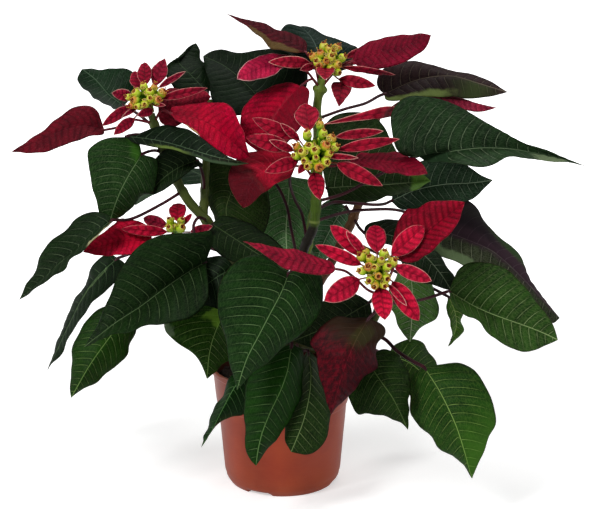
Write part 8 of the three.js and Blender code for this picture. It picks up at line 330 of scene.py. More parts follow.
 ("C3", "C", [(15,-57,306.3),(13.6,-57.3,307.6),(11.6,-57.7,309.5),(9.1,-58,311.9),(6.3,-57.9,314.5),(3.4,-57.3,317),(1,-56.6,319),(-0.7,-56,320.5)], [(14.8,-57.1,306),(12.6,-57.8,306.5),(9.9,-58.5,307.6),(7,-59,309.6),(4.2,-58.9,312.2),(1.8,-58.1,315.2),(0.1,-57,318),(-0.7,-56,320.5)], [(15.2,-57,306.5),(14.6,-57.2,308.7),(13.5,-57.5,311.6),(11.4,-57.7,314.3),(8.5,-57.6,316.8),(5.1,-57.1,318.8),(2,-56.5,320),(-0.7,-56,320.5)]),
 ("C4", "C", [(7.1,-60,301.2),(4.2,-61.4,302.3),(-0.2,-63.3,303.8),(-5.6,-65.3,305.6),(-11.9,-66.6,307.4),(-18.4,-67.2,309.1),(-24,-66,310.2),(-28.3,-59.6,310)], [(7,-60.2,300.6),(3.6,-62.5,299.5),(-1.2,-65.3,298.8),(-6.8,-67.7,299.5),(-13.1,-69.1,301.6),(-19.3,-69.2,304.6),(-24.5,-68,307.9),(-28.3,-59.6,310)], [(7.3,-59.9,301.9),(4.9,-61,305.2),(1.2,-62.6,309),(-3.9,-64.4,312),(-10.3,-65.7,313.6),(-17.2,-65.3,313.7),(-23.4,-60.3,311.8),(-28.3,-59.6,310)]),
 ("C5", "C", [(10.3,-63,299.4),(8.7,-63.9,300.3),(6.3,-65,301.7),(3.3,-66.3,303.3),(-0.2,-67.3,305.1),(-3.8,-67.8,306.8),(-6.9,-68,308.2),(-9.3,-68.1,309.2)], [(10.1,-63.1,299.1),(8.1,-64.4,298.9),(5.2,-66.1,299),(2,-67.6,300.1),(-1.4,-68.5,301.9),(-4.8,-68.7,304.4),(-7.5,-68.5,306.8),(-9.3,-68.1,309.2)], [(10.4,-63,299.8),(9.4,-63.7,301.9),(7.6,-64.7,304.4),(4.8,-65.8,306.6),(1.3,-66.8,308.3),(-2.7,-67.5,309.3),(-6.3,-67.8,309.6),(-9.3,-68.1,309.2)]),
 ("C6", "C", [(14.2,-64,292.4),(12,-65.6,292),(8.7,-67.8,291.3),(4.6,-70.3,290.4),(-0.2,-72.6,289.2),(-5.3,-74.3,287.7),(-9.6,-75.3,286.3),(-12.7,-76,285.3)], [(14.4,-64.2,291.9),(12.9,-66.5,289.7),(10.5,-69.4,287.3),(6.7,-72.2,285.5),(1.8,-74.4,284.5),(-3.7,-75.7,284.1),(-8.7,-76.1,284.3),(-12.7,-76,285.3)], [(14,-63.9,292.9),(11.2,-65.3,294.4),(7.3,-67.2,295.7),(2.8,-69.6,295.7),(-1.9,-71.9,294.3),(-6.6,-73.7,291.7),(-10.3,-75,288.5),(-12.7,-76,285.3)]),
 ("C7", "C", [(18.9,-68,290),(18.5,-69,289.7),(17.9,-70.5,289.1),(17.1,-72.2,288.4),(16.2,-74,287.3),(15.1,-75.7,286.1),(14.1,-76.9,285),(13.4,-77.8,284.1)], [(19.2,-68.1,289.9),(19.8,-69.3,289),(20.1,-71.1,288),(19.8,-72.9,287),(18.8,-74.7,286),(17.1,-76.2,285.1),(15.3,-77.2,284.4),(13.4,-77.8,284.1)], [(18.7,-68,290.2),(17.4,-68.9,290.5),(15.9,-70.3,290.7),(14.7,-72,290.3),(13.8,-73.8,289.2),(13.3,-75.5,287.5),(13.1,-76.8,285.8),(13.4,-77.8,284.1)]),
 ("C8", "C", [(26,-68,283.6),(26.4,-70.2,282.4),(26.9,-73.2,280.5),(27.5,-76.8,278.1),(28.4,-80.5,274.9),(29.2,-83.7,271.3),(30,-86.2,268.1),(30.6,-88,265.6)], [(26.7,-68,283.8),(29.3,-70.3,283.2),(32.1,-73.4,282),(33.9,-77,279.9),(34.5,-80.7,276.7),(34,-83.9,272.7),(32.6,-86.3,268.8),(30.6,-88,265.6)], [(25.3,-68.1,283.5),(23.4,-70.6,282.1),(21.5,-73.9,280),(21,-77.7,277.4),(22,-81.3,274.2),(24.3,-84.4,270.8),(27.3,-86.6,267.8),(30.6,-88,265.6)]),
 ("C9", "C", [(42.6,-56,309.3),(46.1,-56.6,309.9),(51.2,-57.2,310.7),(57.4,-57.7,311.6),(64.3,-57.5,312.4),(71.3,-56.4,313.1),(77.1,-55.1,313.4),(81.3,-54,313.7)], [(42.6,-55.9,309.7),(45.9,-56.3,311.7),(50.8,-56.8,314),(56.9,-57.1,315.6),(63.9,-56.9,316.3),(70.9,-56,316.1),(76.9,-54.9,315.1),(81.3,-54,313.7)], [(42.7,-56.2,308.9),(46.4,-57.2,308.1),(51.6,-58.5,307.6),(57.9,-59.2,307.8),(64.8,-58.9,308.8),(71.7,-57.6,310.2),(77.3,-55.7,311.9),(81.3,-54,313.7)]),
 ("C10", "C", [(44.2,-60,299.6),(48.5,-61.1,300.7),(54.9,-62.6,302.2),(62.7,-63.9,303.9),(71.5,-64.5,305.6),(80.5,-64,307),(88,-62.9,308.1),(93.6,-62,308.8)], [(44.1,-59.9,300.1),(48.2,-60.8,302.8),(54.2,-62.1,305.9),(61.8,-63.3,308.5),(70.8,-63.9,310),(79.9,-63.5,310.5),(87.7,-62.7,310),(93.6,-62,308.8)], [(44.2,-60.2,299.2),(48.9,-61.9,298.7),(55.5,-64,298.7),(63.4,-65.6,299.6),(72.3,-66.1,301.4),(81.1,-65.2,303.8),(88.3,-63.6,306.3),(93.6,-62,308.8)]),
 ("C11", "C", [(35.4,-66,296),(37.6,-67.2,296.2),(40.7,-68.9,296.3),(44.7,-70.7,296.5),(49.3,-72.2,296.5),(54,-73.2,296.4),(58.1,-73.7,296.2),(61.1,-74,296)], [(35.4,-66,296.3),(37.6,-67,297.3),(40.8,-68.6,298.4),(44.8,-70.3,299),(49.4,-71.8,298.9),(54.1,-72.9,298.3),(58.1,-73.6,297.2),(61.1,-74,296)], [(35.4,-66.1,295.8),(37.5,-67.6,295.1),(40.5,-69.6,294.4),(44.4,-71.6,294.1),(49,-73.1,294.3),(53.8,-73.9,294.6),(58,-74.1,295.2),(61.1,-74,296)]),
 ("C13", "C", [(43.3,-66,290.4),(46.4,-68.2,289.4),(50.8,-71.2,287.8),(56.5,-74.6,285.7),(63,-77.6,283.1),(69.7,-79.8,280.1),(75.5,-81.1,277.4),(79.7,-82,275.4)], [(43.6,-65.9,291),(47.5,-67.9,291.8),(52.9,-70.6,292.3),(59,-73.9,291.2),(65.4,-76.9,288.3),(71.6,-79.3,284.2),(76.5,-80.9,279.7),(79.7,-82,275.4)], [(43,-66.2,289.9),(45.1,-69.1,287.1),(48.5,-72.9,283.8),(53.6,-76.6,280.8),(60.2,-79.5,278.3),(67.5,-81.3,276.4),(74.3,-82,275.4),(79.7,-82,275.4)]),
 ("C14", "C", [(34.7,-52,318.9),(40.3,-52.6,320.2),(48.3,-53.4,322.1),(58.1,-53.5,324.1),(69.2,-51,325.9),(80.4,-42.6,326.4),(90.4,-25,325),(97.1,-22.6,325.8)], [(34.7,-51.9,319.3),(40.1,-52.5,321.2),(48,-53.1,323.8),(57.6,-53.2,326.7),(68.5,-50.8,329.6),(79.5,-43.8,331.3),(89.7,-26.1,328.6),(97.1,-22.6,325.8)], [(34.8,-52.1,318.6),(40.5,-53,319.3),(48.7,-54,320.4),(58.7,-53.9,321.6),(70,-50.5,322.1),(81.8,-35.9,320.7),(91.2,-23.2,321.4),(97.1,-22.6,325.8)]),
 ("D1", "D", [(65.4,-104,224.8),(62.9,-104.3,227.1),(59.5,-104.7,230.4),(55.1,-104.8,234.3),(50.3,-104.2,238.6),(45.3,-102.8,242.8),(41.2,-101.3,246.1),(38.2,-100,248.5)], [(64.9,-104.2,224.3),(61.1,-105.2,225.1),(56.1,-106.3,226.8),(51,-106.7,229.9),(46.1,-106.2,234.2),(41.8,-104.5,239),(39.1,-102.3,243.9),(38.2,-100,248.5)], [(65.8,-104,225.3),(64.8,-104.1,229.2),(62.9,-104.3,234.2),(59.4,-104.3,239.1),(54.5,-103.7,243.4),(48.9,-102.5,246.8),(43.3,-101,248.5),(38.2,-100,248.5)]),
 ("D2", "D", [(65.2,-107,227.2),(64,-107.5,228.9),(62.1,-108.3,231.3),(59.8,-108.9,234.3),(57.2,-109.2,237.7),(54.4,-108.9,241),(52.1,-108.4,243.7),(50.4,-108,245.7)], [(64.9,-107.1,227),(62.8,-108,227.9),(60,-109.1,229.6),(57.2,-109.9,232.2),(54.5,-110.2,235.5),(52.2,-109.8,239.2),(50.8,-108.9,242.7),(50.4,-108,245.7)], [(65.5,-107,227.4),(65.2,-107.5,229.9),(64.4,-108.1,233.1),(62.6,-108.7,236.6),(60,-109,239.9),(56.8,-108.8,242.9),(53.5,-108.4,244.9),(50.4,-108,245.7)]),
 ("D3", "D", [(62.9,-110,219.2),(59.8,-111.5,220.9),(55.4,-113.5,223.4),(49.8,-115.6,226.4),(43.3,-117.2,229.6),(36.5,-117.9,232.8),(30.7,-118.1,235.3),(26.5,-118,237.2)], [(62.7,-110.2,218.7),(59,-112.3,219),(53.9,-114.9,219.8),(48,-117.4,222),(41.5,-119,225.2),(35,-119.4,229.1),(29.9,-118.9,233.1),(26.5,-118,237.2)], [(63.1,-109.9,219.7),(60.8,-111.2,222.9),(57.1,-113,227.1),(51.9,-115,231),(45.4,-116.6,234.2),(38.3,-117.4,236.6),(31.8,-117.8,237.6),(26.5,-118,237.2)]),
 ("D5", "D", [(61.4,-112,208.5),(59.1,-114.4,207.8),(55.8,-117.7,206.6),(51.6,-121.4,205),(46.6,-125.1,203),(41.3,-128.1,200.5),(36.7,-130.3,198.3),(33.3,-131.8,196.6)], [(61.8,-112.3,207.9),(61.1,-115.5,204.9),(59.5,-119.8,201.5),(56.2,-124,198.6),(51.2,-127.7,196.5),(45.1,-130.3,195.2),(39,-131.6,195.1),(33.3,-131.8,196.6)], [(61,-111.9,209.3),(57.4,-113.9,211),(52.7,-116.9,212.5),(47.8,-120.4,212.3),(42.8,-124.1,210.3),(38.1,-127.3,206.6),(34.8,-129.8,201.9),(33.3,-131.8,196.6)]),
 ("D6", "D", [(76.7,-116,203.2),(76.9,-118.5,202),(77.2,-122.2,200.1),(77.7,-126.4,197.5),(78.2,-130.8,194.1),(78.8,-134.8,190.2),(79.3,-137.9,186.7),(79.6,-140.1,184)], [(77.5,-116,203.4),(80.3,-118.7,202.7),(83.4,-122.5,201.4),(85.4,-126.8,199.1),(85.9,-131.2,195.7),(85.2,-135.1,191.6),(83.1,-138.1,187.5),(79.6,-140.1,184)], [(75.9,-116.1,203.2),(73.4,-118.9,201.9),(70.9,-122.8,199.9),(69.8,-127.2,197.3),(70.3,-131.6,193.9),(72.2,-135.5,190.1),(75.4,-138.3,186.6),(79.6,-140.1,184)]),
 ("D7", "D", [(82.8,-116,205.6),(84,-117.6,204.7),(85.6,-119.9,203.2),(87.7,-122.6,201.3),(90.2,-125.2,198.9),(92.9,-127.3,196.3),(95.1,-128.9,193.9),(96.8,-130,192.1)], [(83,-116,205.8),(84.8,-117.6,205.5),(87.2,-119.8,204.7),(89.6,-122.4,203.1),(92.2,-125,200.8),(94.5,-127.2,197.8),(96.1,-128.8,194.8),(96.8,-130,192.1)], [(82.6,-116.1,205.5),(83,-117.9,204),(83.9,-120.5,202.1),(85.6,-123.2,199.9),(88.1,-125.8,197.5),(91.1,-127.9,195.1),(94.1,-129.2,193.2),(96.8,-130,192.1)]),
 ("D8", "D", [(86,-113,207.2),(87.8,-115,205),(90.3,-117.8,201.8),(93.5,-120.9,197.7),(97.1,-123.7,192.7),(100.9,-125.8,187.5),(104,-127.2,182.9),(106.4,-128,179.5)], [(86.7,-113,207.7),(90.5,-114.9,206.9),(95.3,-117.6,205.3),(99.6,-120.7,202),(103.3,-123.5,197.1),(106,-125.6,191.1),(107.1,-127,185.1),(106.4,-128,179.5)], [(85.4,-113.2,206.8),(85,-115.8,203.4),(85.2,-119.3,198.9),(87.2,-122.8,194),(90.8,-125.6,189.1),(95.6,-127.4,184.4),(100.9,-128.1,181.1),(106.4,-128,179.5)]),
 ("D9", "D", [(87.4,-114,219.5),(89.9,-115.3,218.8),(93.5,-117.1,217.8),(98,-119,216.4),(103.2,-120.5,214.7),(108.5,-121.4,212.7),(112.9,-121.8,211),(116.2,-122,209.7)], [(87.6,-113.9,220),(90.7,-115,221.1),(95.1,-116.5,222),(100,-118.3,221.6),(105.2,-119.8,219.9),(110.1,-120.9,217.1),(113.9,-121.5,213.6),(116.2,-122,209.7)], [(87.1,-114.2,219),(88.9,-116.2,216.6),(91.8,-118.6,213.9),(95.8,-120.9,211.6),(101,-122.5,209.8),(106.7,-123.1,208.7),(111.8,-122.8,208.6),(116.2,-122,209.7)]),
 ("D10", "D", [(85.3,-108,225.9),(87.8,-107.1,227.9),(91.5,-105.8,230.9),(95.8,-104,234.5),(100.6,-101.6,238.2),(105.1,-97.8,241.5),(108.9,-94.1,243.9),(111.5,-91.7,245.7)], [(84.7,-107.9,226.5),(85.5,-106.8,230.8),(87.3,-105.1,236.1),(90.6,-103.1,240.8),(95.3,-100.4,244.5),(100.8,-96.8,246.7),(106.3,-93.7,247.1),(111.5,-91.7,245.7)], [(85.9,-108.2,225.3),(90.3,-108.2,225.5),(96,-108.1,226.6),(101.5,-107.3,229.2),(106.2,-105,233),(109.8,-100.8,237.1),(111.7,-95.7,241.2),(111.5,-91.7,245.7)]),
 ("D12", "D", [(74.6,-104,227.2),(74.6,-101.9,229.1),(74.5,-98.8,231.9),(74.4,-94.8,234.9),(74.2,-90,237.9),(74.2,-84.9,240.2),(74.1,-80.5,241.9),(74,-77.1,243)], [(73.8,-104.1,227.3),(71.1,-102.1,229.4),(68.1,-99.2,232.4),(66.5,-95.4,235.5),(66.3,-90.6,238.5),(67.6,-85.4,240.7),(70.1,-80.7,242.2),(74,-77.1,243)], [(75.4,-104,227.3),(78,-102.1,229.6),(80.8,-99.1,232.7),(82.2,-95.2,236),(82.1,-90.5,238.9),(80.7,-85.3,241.1),(78,-80.7,242.4),(74,-77.1,243)]),
 ("E1", "E", [(-85.3,-18,231.1),(-85.5,-15.8,232.5),(-85.7,-12.6,234.4),(-86,-8.5,236.5),(-86.3,-3.7,238.4),(-86.6,1.3,239.7),(-86.8,5.5,240.5),(-86.9,8.7,240.9)], [(-86,-18,231.1),(-88.6,-16,232.5),(-91.5,-13,234.5),(-93.2,-9,236.6),(-93.6,-4.2,238.5),(-92.6,0.9,239.8),(-90.4,5.3,240.5),(-86.9,8.7,240.9)], [(-84.5,-18,231.2),(-82.3,-15.8,233.1),(-80.1,-12.7,235.6),(-79,-8.6,238),(-79.3,-3.8,239.9),(-80.7,1.2,241),(-83.3,5.5,241.2),(-86.9,8.7,240.9)]),
 ("E2", "E", [(-93.4,-20,228.2),(-95.5,-19.4,228.7),(-98.5,-18.5,229.4),(-102.1,-17.2,230.3),(-106,-15.3,231),(-109.7,-12.9,231.6),(-112.7,-10.7,232),(-114.8,-9,232.3)], [(-93.6,-20.2,227.7),(-96.3,-20.2,226.7),(-99.9,-19.9,225.8),(-103.9,-18.9,225.7),(-107.8,-17,226.5),(-111.2,-14.4,227.8),(-113.6,-11.6,229.7),(-114.8,-9,232.3)], [(-93.3,-19.9,228.7),(-94.9,-19.1,230.9),(-97.4,-17.9,233.4),(-100.8,-16.4,235.3),(-104.7,-14.5,236),(-108.6,-12.3,235.8),(-112,-10.3,234.5),(-114.8,-9,232.3)]),
 ("E3", "E", [(-82.6,-22,228.6),(-81.8,-22.1,229.6),(-80.6,-22.2,231),(-79.2,-22.1,232.7),(-77.5,-21.8,234.5),(-75.9,-21.2,236.2),(-74.5,-20.5,237.7),(-73.5,-20,238.7)], [(-82.8,-22,228.8),(-82.6,-22,230.3),(-82,-22.1,232.3),(-80.9,-22,234.3),(-79.3,-21.7,236.1),(-77.4,-21.1,237.6),(-75.4,-20.5,238.5),(-73.5,-20,238.7)], [(-82.4,-22.1,228.5),(-81,-22.4,229),(-79.2,-22.7,229.8),(-77.4,-22.8,231.2),(-75.7,-22.5,233),(-74.4,-21.8,235),(-73.6,-20.9,236.9),(-73.5,-20,238.7)]),
 ("E4", "E", [(-75.1,-24,224.1),(-73.6,-24.9,224.7),(-71.2,-26.2,225.7),(-68.3,-27.9,226.9),(-64.8,-30.5,228.4),(-60.8,-37.5,231.1),(-57.7,-38.6,232.1),(-55.5,-37.2,232.4)], [(-75.2,-24,224.4),(-74,-24.7,226.2),(-72.1,-25.8,228.4),(-69.3,-27.3,230.2),(-65.8,-29.3,231.6),(-61.9,-33.7,233.1),(-58.3,-36.7,233.4),(-55.5,-37.2,232.4)], [(-75.1,-24.1,223.7),(-73.2,-25.5,223.3),(-70.7,-27.2,223),(-67.6,-29.3,223.6),(-64,-32.2,225.2),(-60.1,-40.4,228.8),(-57.3,-41,230.9),(-55.5,-37.2,232.4)]),
 ("E5", "E", [(-92.9,-28,225.1),(-95.9,-29.8,225.7),(-100.4,-32.3,226.7),(-106.1,-34.9,227.7),(-112.7,-37.2,228.7),(-119.6,-38.7,229.6),(-125.5,-39.5,230.2),(-129.9,-40,230.6)], [(-92.9,-28.2,224.6),(-96,-30.5,223.8),(-100.5,-33.6,223.2),(-106.2,-36.6,223.4),(-112.8,-38.9,224.4),(-119.7,-40.1,226),(-125.6,-40.4,228),(-129.9,-40,230.6)], [(-92.8,-27.9,225.5),(-95.7,-29.5,227.7),(-100.1,-31.7,230.3),(-105.6,-34.3,232.2),(-112.3,-36.5,233.3),(-119.2,-38.2,233.3),(-125.3,-39.2,232.4),(-129.9,-40,230.6)]),
]
# flower heads, mm: node, hub, stalk points, stalk radius, mouths of the cyathia
HEADS = {
 "A": ("flower_head_left", (-109.1,2,326.5), [(-107.3,1.3,318.7),(-109.1,2,326.5)], 3.11, [(-119,-9.6,330.9),(-112,-3.4,340.6),(-103.9,-2.6,339.6),(-97.5,-2.1,335.4),(-106.7,-10.2,331.8),(-101.2,-8.3,330.7),(-121.5,-9.7,326.8),(-110.7,-12.3,328.1),(-118.3,-6.5,336.1),(-123.7,-6.1,332.4),(-116,-12.1,326),(-107.3,-6.7,337)]),
 "B": ("flower_head_top", (35.5,12,353.8), [(33.5,11.9,346),(35.5,12,353.8)], 3.34, [(34.6,9.1,371.5),(32.1,4,366.5),(41,3,366.6),(44.4,9,370.7),(26.4,5.8,363.7),(29.6,1.3,360.3),(40.2,0.4,363.7),(49.2,4.7,363.1),(45.1,-0.3,358.1),(40.2,-2.1,355.9),(31.3,-0.5,357.3),(45.1,-0.3,352.4),(36.5,-1.1,361.1),(38.6,5.8,369.5)]),
 "C": ("flower_head_center", (26.5,-52,288.3), [(26.9,-51.7,280.3),(26.5,-52,288.3)], 3.69, [(12.6,-65.4,303.1),(11.9,-68.7,296.6),(18.9,-72.7,293.4),(21.3,-74.2,289.7),(27.5,-73,295.8),(35.3,-73,292.7),(22.8,-68.4,303.7),(20.5,-60.6,311.7),(33.1,-60.1,312.4),(30.8,-53,318.3),(35.4,-67.1,304.2),(39.4,-61.9,308.8),(42.5,-65.1,303),(17.3,-69.4,299.9),(29.9,-74.7,289),(26.7,-70.5,300.9),(37.7,-70,298.4)]),
 "D": ("flower_head_right", (76.1,-102,209), [(76.9,-100.6,201.2),(76.1,-102,209)], 3.1, [(66,-107.1,228.8),(62.8,-109.8,225.5),(69.6,-114.2,225.1),(79.8,-109.6,227.9),(72.5,-119.9,219.5),(81.8,-117.6,219.6),(86.7,-112.1,222.1),(62.6,-117.8,216.5),(68.7,-122.1,210.6),(81,-121.1,211.1),(72.5,-122.5,206.7),(79.5,-121.6,206.4),(74.8,-122.3,213.8),(77.2,-115.7,223.9),(67.9,-118.6,219.9)]),
 "E": ("flower_head_small", (-87.1,-18,222.6), [(-43.5,-11.2,190.7),(-56.3,-11.9,188.5),(-69.1,-13,191.1),(-80,-14.2,198.1),(-85.5,-15.3,209.8),(-87.1,-18,222.6)], 2.6, [(-91.3,-24.4,233.4),(-91.2,-27.6,228.3),(-82.3,-24.4,233.4),(-82.2,-27.6,228.3)]),
}
# stems, mm: points along the axis, radius at each
STEMS = {
 "main_stem": ([(0,0,60.5),(0,0,84.7),(0.3,0,108.9),(2.4,0,133),(8.2,5.6,155.8),(14.8,11.9,178.2),(20.8,15.6,201.4),(26.1,16.9,224.9),(29.4,17.2,248.9),(30.3,16.7,273.1),(29.8,15.7,297.3),(29.2,13.7,321.4),(33.2,11.9,345.1)], (6.6, 6.51, 6.27, 5.59, 5.15, 4.7, 4.4, 4.23, 4.06, 3.96, 3.87, 3.67, 3.34)),
 "branch_left": ([(-5.6,-4.4,138.9),(-18,-8.2,161.5),(-31.8,-10.3,183.6),(-45.9,-12.2,205.5),(-59.9,-9.8,227.3),(-77.1,-5.5,246.2),(-89.5,-2.6,268.8),(-99.6,-0.7,292.8),(-107.1,1.3,317.7)], (4.55, 4.4, 4.26, 4.16, 4.05, 3.88, 3.66, 3.41, 3.11)),
 "branch_left_fork": ([(-64.9,-8.6,233),(-64.9,5,244.3),(-64.1,10,264.5),(-62.5,16,284.5),(-60.9,23,306.9),(-59.2,28,324.6)], (3.6, 3.5, 3.3, 3.2, 3, 2.6)),
 "branch_center": ([(5.2,-8.5,143.9),(9,-14.5,167.2),(13.3,-21.2,190.2),(18.7,-29.4,212.4),(26.2,-39.9,233),(27.8,-49.6,255.2),(26.9,-51.7,279.3)], (4.39, 4.28, 4.17, 4.01, 3.86, 3.9, 3.69)),
 "branch_front": ([(6.6,-8,124.6),(24.3,-26.2,124.9),(41.4,-44,130),(56.9,-60.4,141.6),(69,-75.8,157.6),(76.5,-89.7,177.2),(77,-100.4,200.2)], (4, 3.88, 3.76, 3.65, 3.52, 3.36, 3.1)),
 "branch_right": ([(12.4,8,140),(26.6,15.2,161.3),(40,22.1,183.2),(52.5,28.6,205.8),(63.2,32.8,229.7),(69.9,33.8,255.4),(75,33.8,281.4),(79.6,33,307.6)], (4.15, 4.04, 3.93, 3.81, 3.53, 3.31, 3.06, 2.8)),
}

# ------------------------------------------------------------------ curves and meshes
def hermite(A, T, ts):
    """points A given at stations T, as a smooth line evaluated at ts"""
    A = np.asarray(A, float); T = np.asarray(T, float); n = len(T)
    k = np.clip(np.searchsorted(T, ts, side="right") - 1, 0, n - 2)
    h = T[k + 1] - T[k]; x = ((ts - T[k]) / h)[:, None]; h = h[:, None]
    m = np.zeros_like(A)
    m[1:-1] = (A[2:] - A[:-2]) / (T[2:] - T[:-2])[:, None]
    m[0] = (A[1] - A[0]) / (T[1] - T[0]); m[-1] = (A[-1] - A[-2]) / (T[-1] - T[-2])
    return ((2*x**3 - 3*x**2 + 1)*A[k] + (x**3 - 2*x**2 + x)*h*m[k]
            + (-2*x**3 + 3*x**2)*A[k + 1] + (x**3 - x**2)*h*m[k + 1])

def spline(pts, n):
    """centripetal Catmull-Rom line through pts, resampled to n points by length"""
    p = np.asarray(pts, float)
    if len(p) == 2:
        return p[0] + (p[1] - p[0]) * np.linspace(0, 1, n)[:, None]
    ext = np.vstack([2*p[0] - p[1], p, 2*p[-1] - p[-2]]); out = []
    for i in range(1, len(ext) - 2):
        p0, p1, p2, p3 = ext[i - 1], ext[i], ext[i + 1], ext[i + 2]
        t0 = 0.0; t1 = t0 + max(1e-6, np.linalg.norm(p1 - p0))**.5
        t2 = t1 + max(1e-6, np.linalg.norm(p2 - p1))**.5; t3 = t2 + max(1e-6, np.linalg.norm(p3 - p2))**.5
        t = np.linspace(t1, t2, 16, endpoint=False)[:, None]
        A1 = (t1-t)/(t1-t0)*p0 + (t-t0)/(t1-t0)*p1; A2 = (t2-t)/(t2-t1)*p1 + (t-t1)/(t2-t1)*p2
        A3 = (t3-t)/(t3-t2)*p2 + (t-t2)/(t3-t2)*p3
        B1 = (t2-t)/(t2-t0)*A1 + (t-t0)/(t2-t0)*A2; B2 = (t3-t)/(t3-t1)*A2 + (t-t1)/(t3-t1)*A3
        out.append((t2-t)/(t2-t1)*B1 + (t-t1)/(t2-t1)*B2)
    d = np.vstack(out + [p[-1][None]])
    s = np.concatenate([[0], np.cumsum(np.linalg.norm(np.diff(d, axis=0), axis=1))]); s /= s[-1]
    ts = np.linspace(0, 1, n)
    return np.stack([np.interp(ts, s, d[:, k]) for k in range(3)], -1)

def sstep(x, a, b):
    t = np.clip((x - a) / (b - a), 0, 1); return t*t*(3 - 2*t)

def unit(a):
    return a / np.maximum(1e-9, np.linalg.norm(a, axis=-1, keepdims=True))

class Build:
    """gathers vertices, faces, material slots and point attributes of one object"""
    def __init__(s):
        s.v = []; s.f = []; s.m = []; s.a = []; s.b = []; s.n = 0
    def add(s, verts, faces, mat, fl=None, vn=None):
        verts = np.asarray(verts, float).reshape(-1, 3); k = len(verts)
        s.v.append(verts)
        s.a.append(np.zeros((k, 3)) if fl is None else np.asarray(fl, float).reshape(-1, 3))
        s.b.append(np.zeros((k, 3)) if vn is None else np.asarray(vn, float).reshape(-1, 3))
        for f in faces:
            s.f.append([int(i) + s.n for i in f]); s.m.append(mat)
        s.n += k
    def make(s, name, mats, nodes, smooth=True):
        V = np.vstack(s.v) * MM
        me = bpy.data.meshes.new(name)
        me.from_pydata(V.tolist(), [], s.f)
        me.polygons.foreach_set("material_index", np.asarray(s.m, dtype=np.int32))
        me.polygons.foreach_set("use_smooth", np.full(len(s.f), smooth))
        for key, arr in (("fl", np.vstack(s.a)), ("vn", np.vstack(s.b))):
            at = me.attributes.new(key, "FLOAT_VECTOR", "POINT"); at.data.foreach_set("vector", arr.ravel().astype(np.float32))
        for m in mats: me.materials.append(m)
        me.update()
        o = bpy.data.objects.new(name, me); bpy.context.scene.collection.objects.link(o)
        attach(o, "root")
        if nodes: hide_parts(*nodes)
        return o

def grid_faces(rows, cols, wrap):
    out = []
    for i in range(rows - 1):
        for j in range(cols if wrap else cols - 1):
            j2 = (j + 1) % cols
            out.append((i*cols + j, i*cols + j2, (i + 1)*cols + j2, (i + 1)*cols + j))
    return out

def tube(b, pts, rad, sides, mat, shape=None, cap=True, seed=0.0):
    """closed round tube along dense points; rad per point; shape(angle, s_mm) -> radius factor"""
    P = np.asarray(pts, float); n = len(P); rad = np.broadcast_to(rad, (n,)).astype(float)
    T = unit(np.gradient(P, axis=0))
    u = np.array([1.0, 0, 0]) if abs(T[0][0]) < .8 else np.array([0, 1.0, 0])
    s = np.concatenate([[0], np.cumsum(np.linalg.norm(np.diff(P, axis=0), axis=1))])
    ang = np.linspace(0, 2*math.pi, sides, endpoint=False)
    V = []; A = []
    for i in range(n):
        u = u - T[i]*np.dot(u, T[i]); u /= np.linalg.norm(u); w = np.cross(T[i], u)
        r = rad[i] * (shape(ang, s[i]) if shape else 1.0)
        V.append(P[i] + (r*np.cos(ang))[:, None]*u + (r*np.sin(ang))[:, None]*w)
        A.append(np.stack([ang, np.full(sides, s[i]), np.full(sides, seed)], -1))
    V = np.vstack(V); A = np.vstack(A); B = np.zeros_like(A); B[:, 0] = A[:, 1] / max(1e-6, s[-1]); B[:, 1] = np.repeat(rad, sides)
    F = grid_faces(n, sides, True)
    if cap:
        V = np.vstack([V, P[0] - T[0]*rad[0]*.25, P[-1] + T[-1]*rad[-1]*.25]); A = np.vstack([A, A[0], A[-1]]); B = np.vstack([B, B[0], B[-1]])
        k = n*sides
        F += [(k, (j + 1) % sides, j) for j in range(sides)]
        F += [(k + 1, (n - 1)*sides + j, (n - 1)*sides + (j + 1) % sides) for j in range(sides)]
    b.add(V, F, mat, A, B)

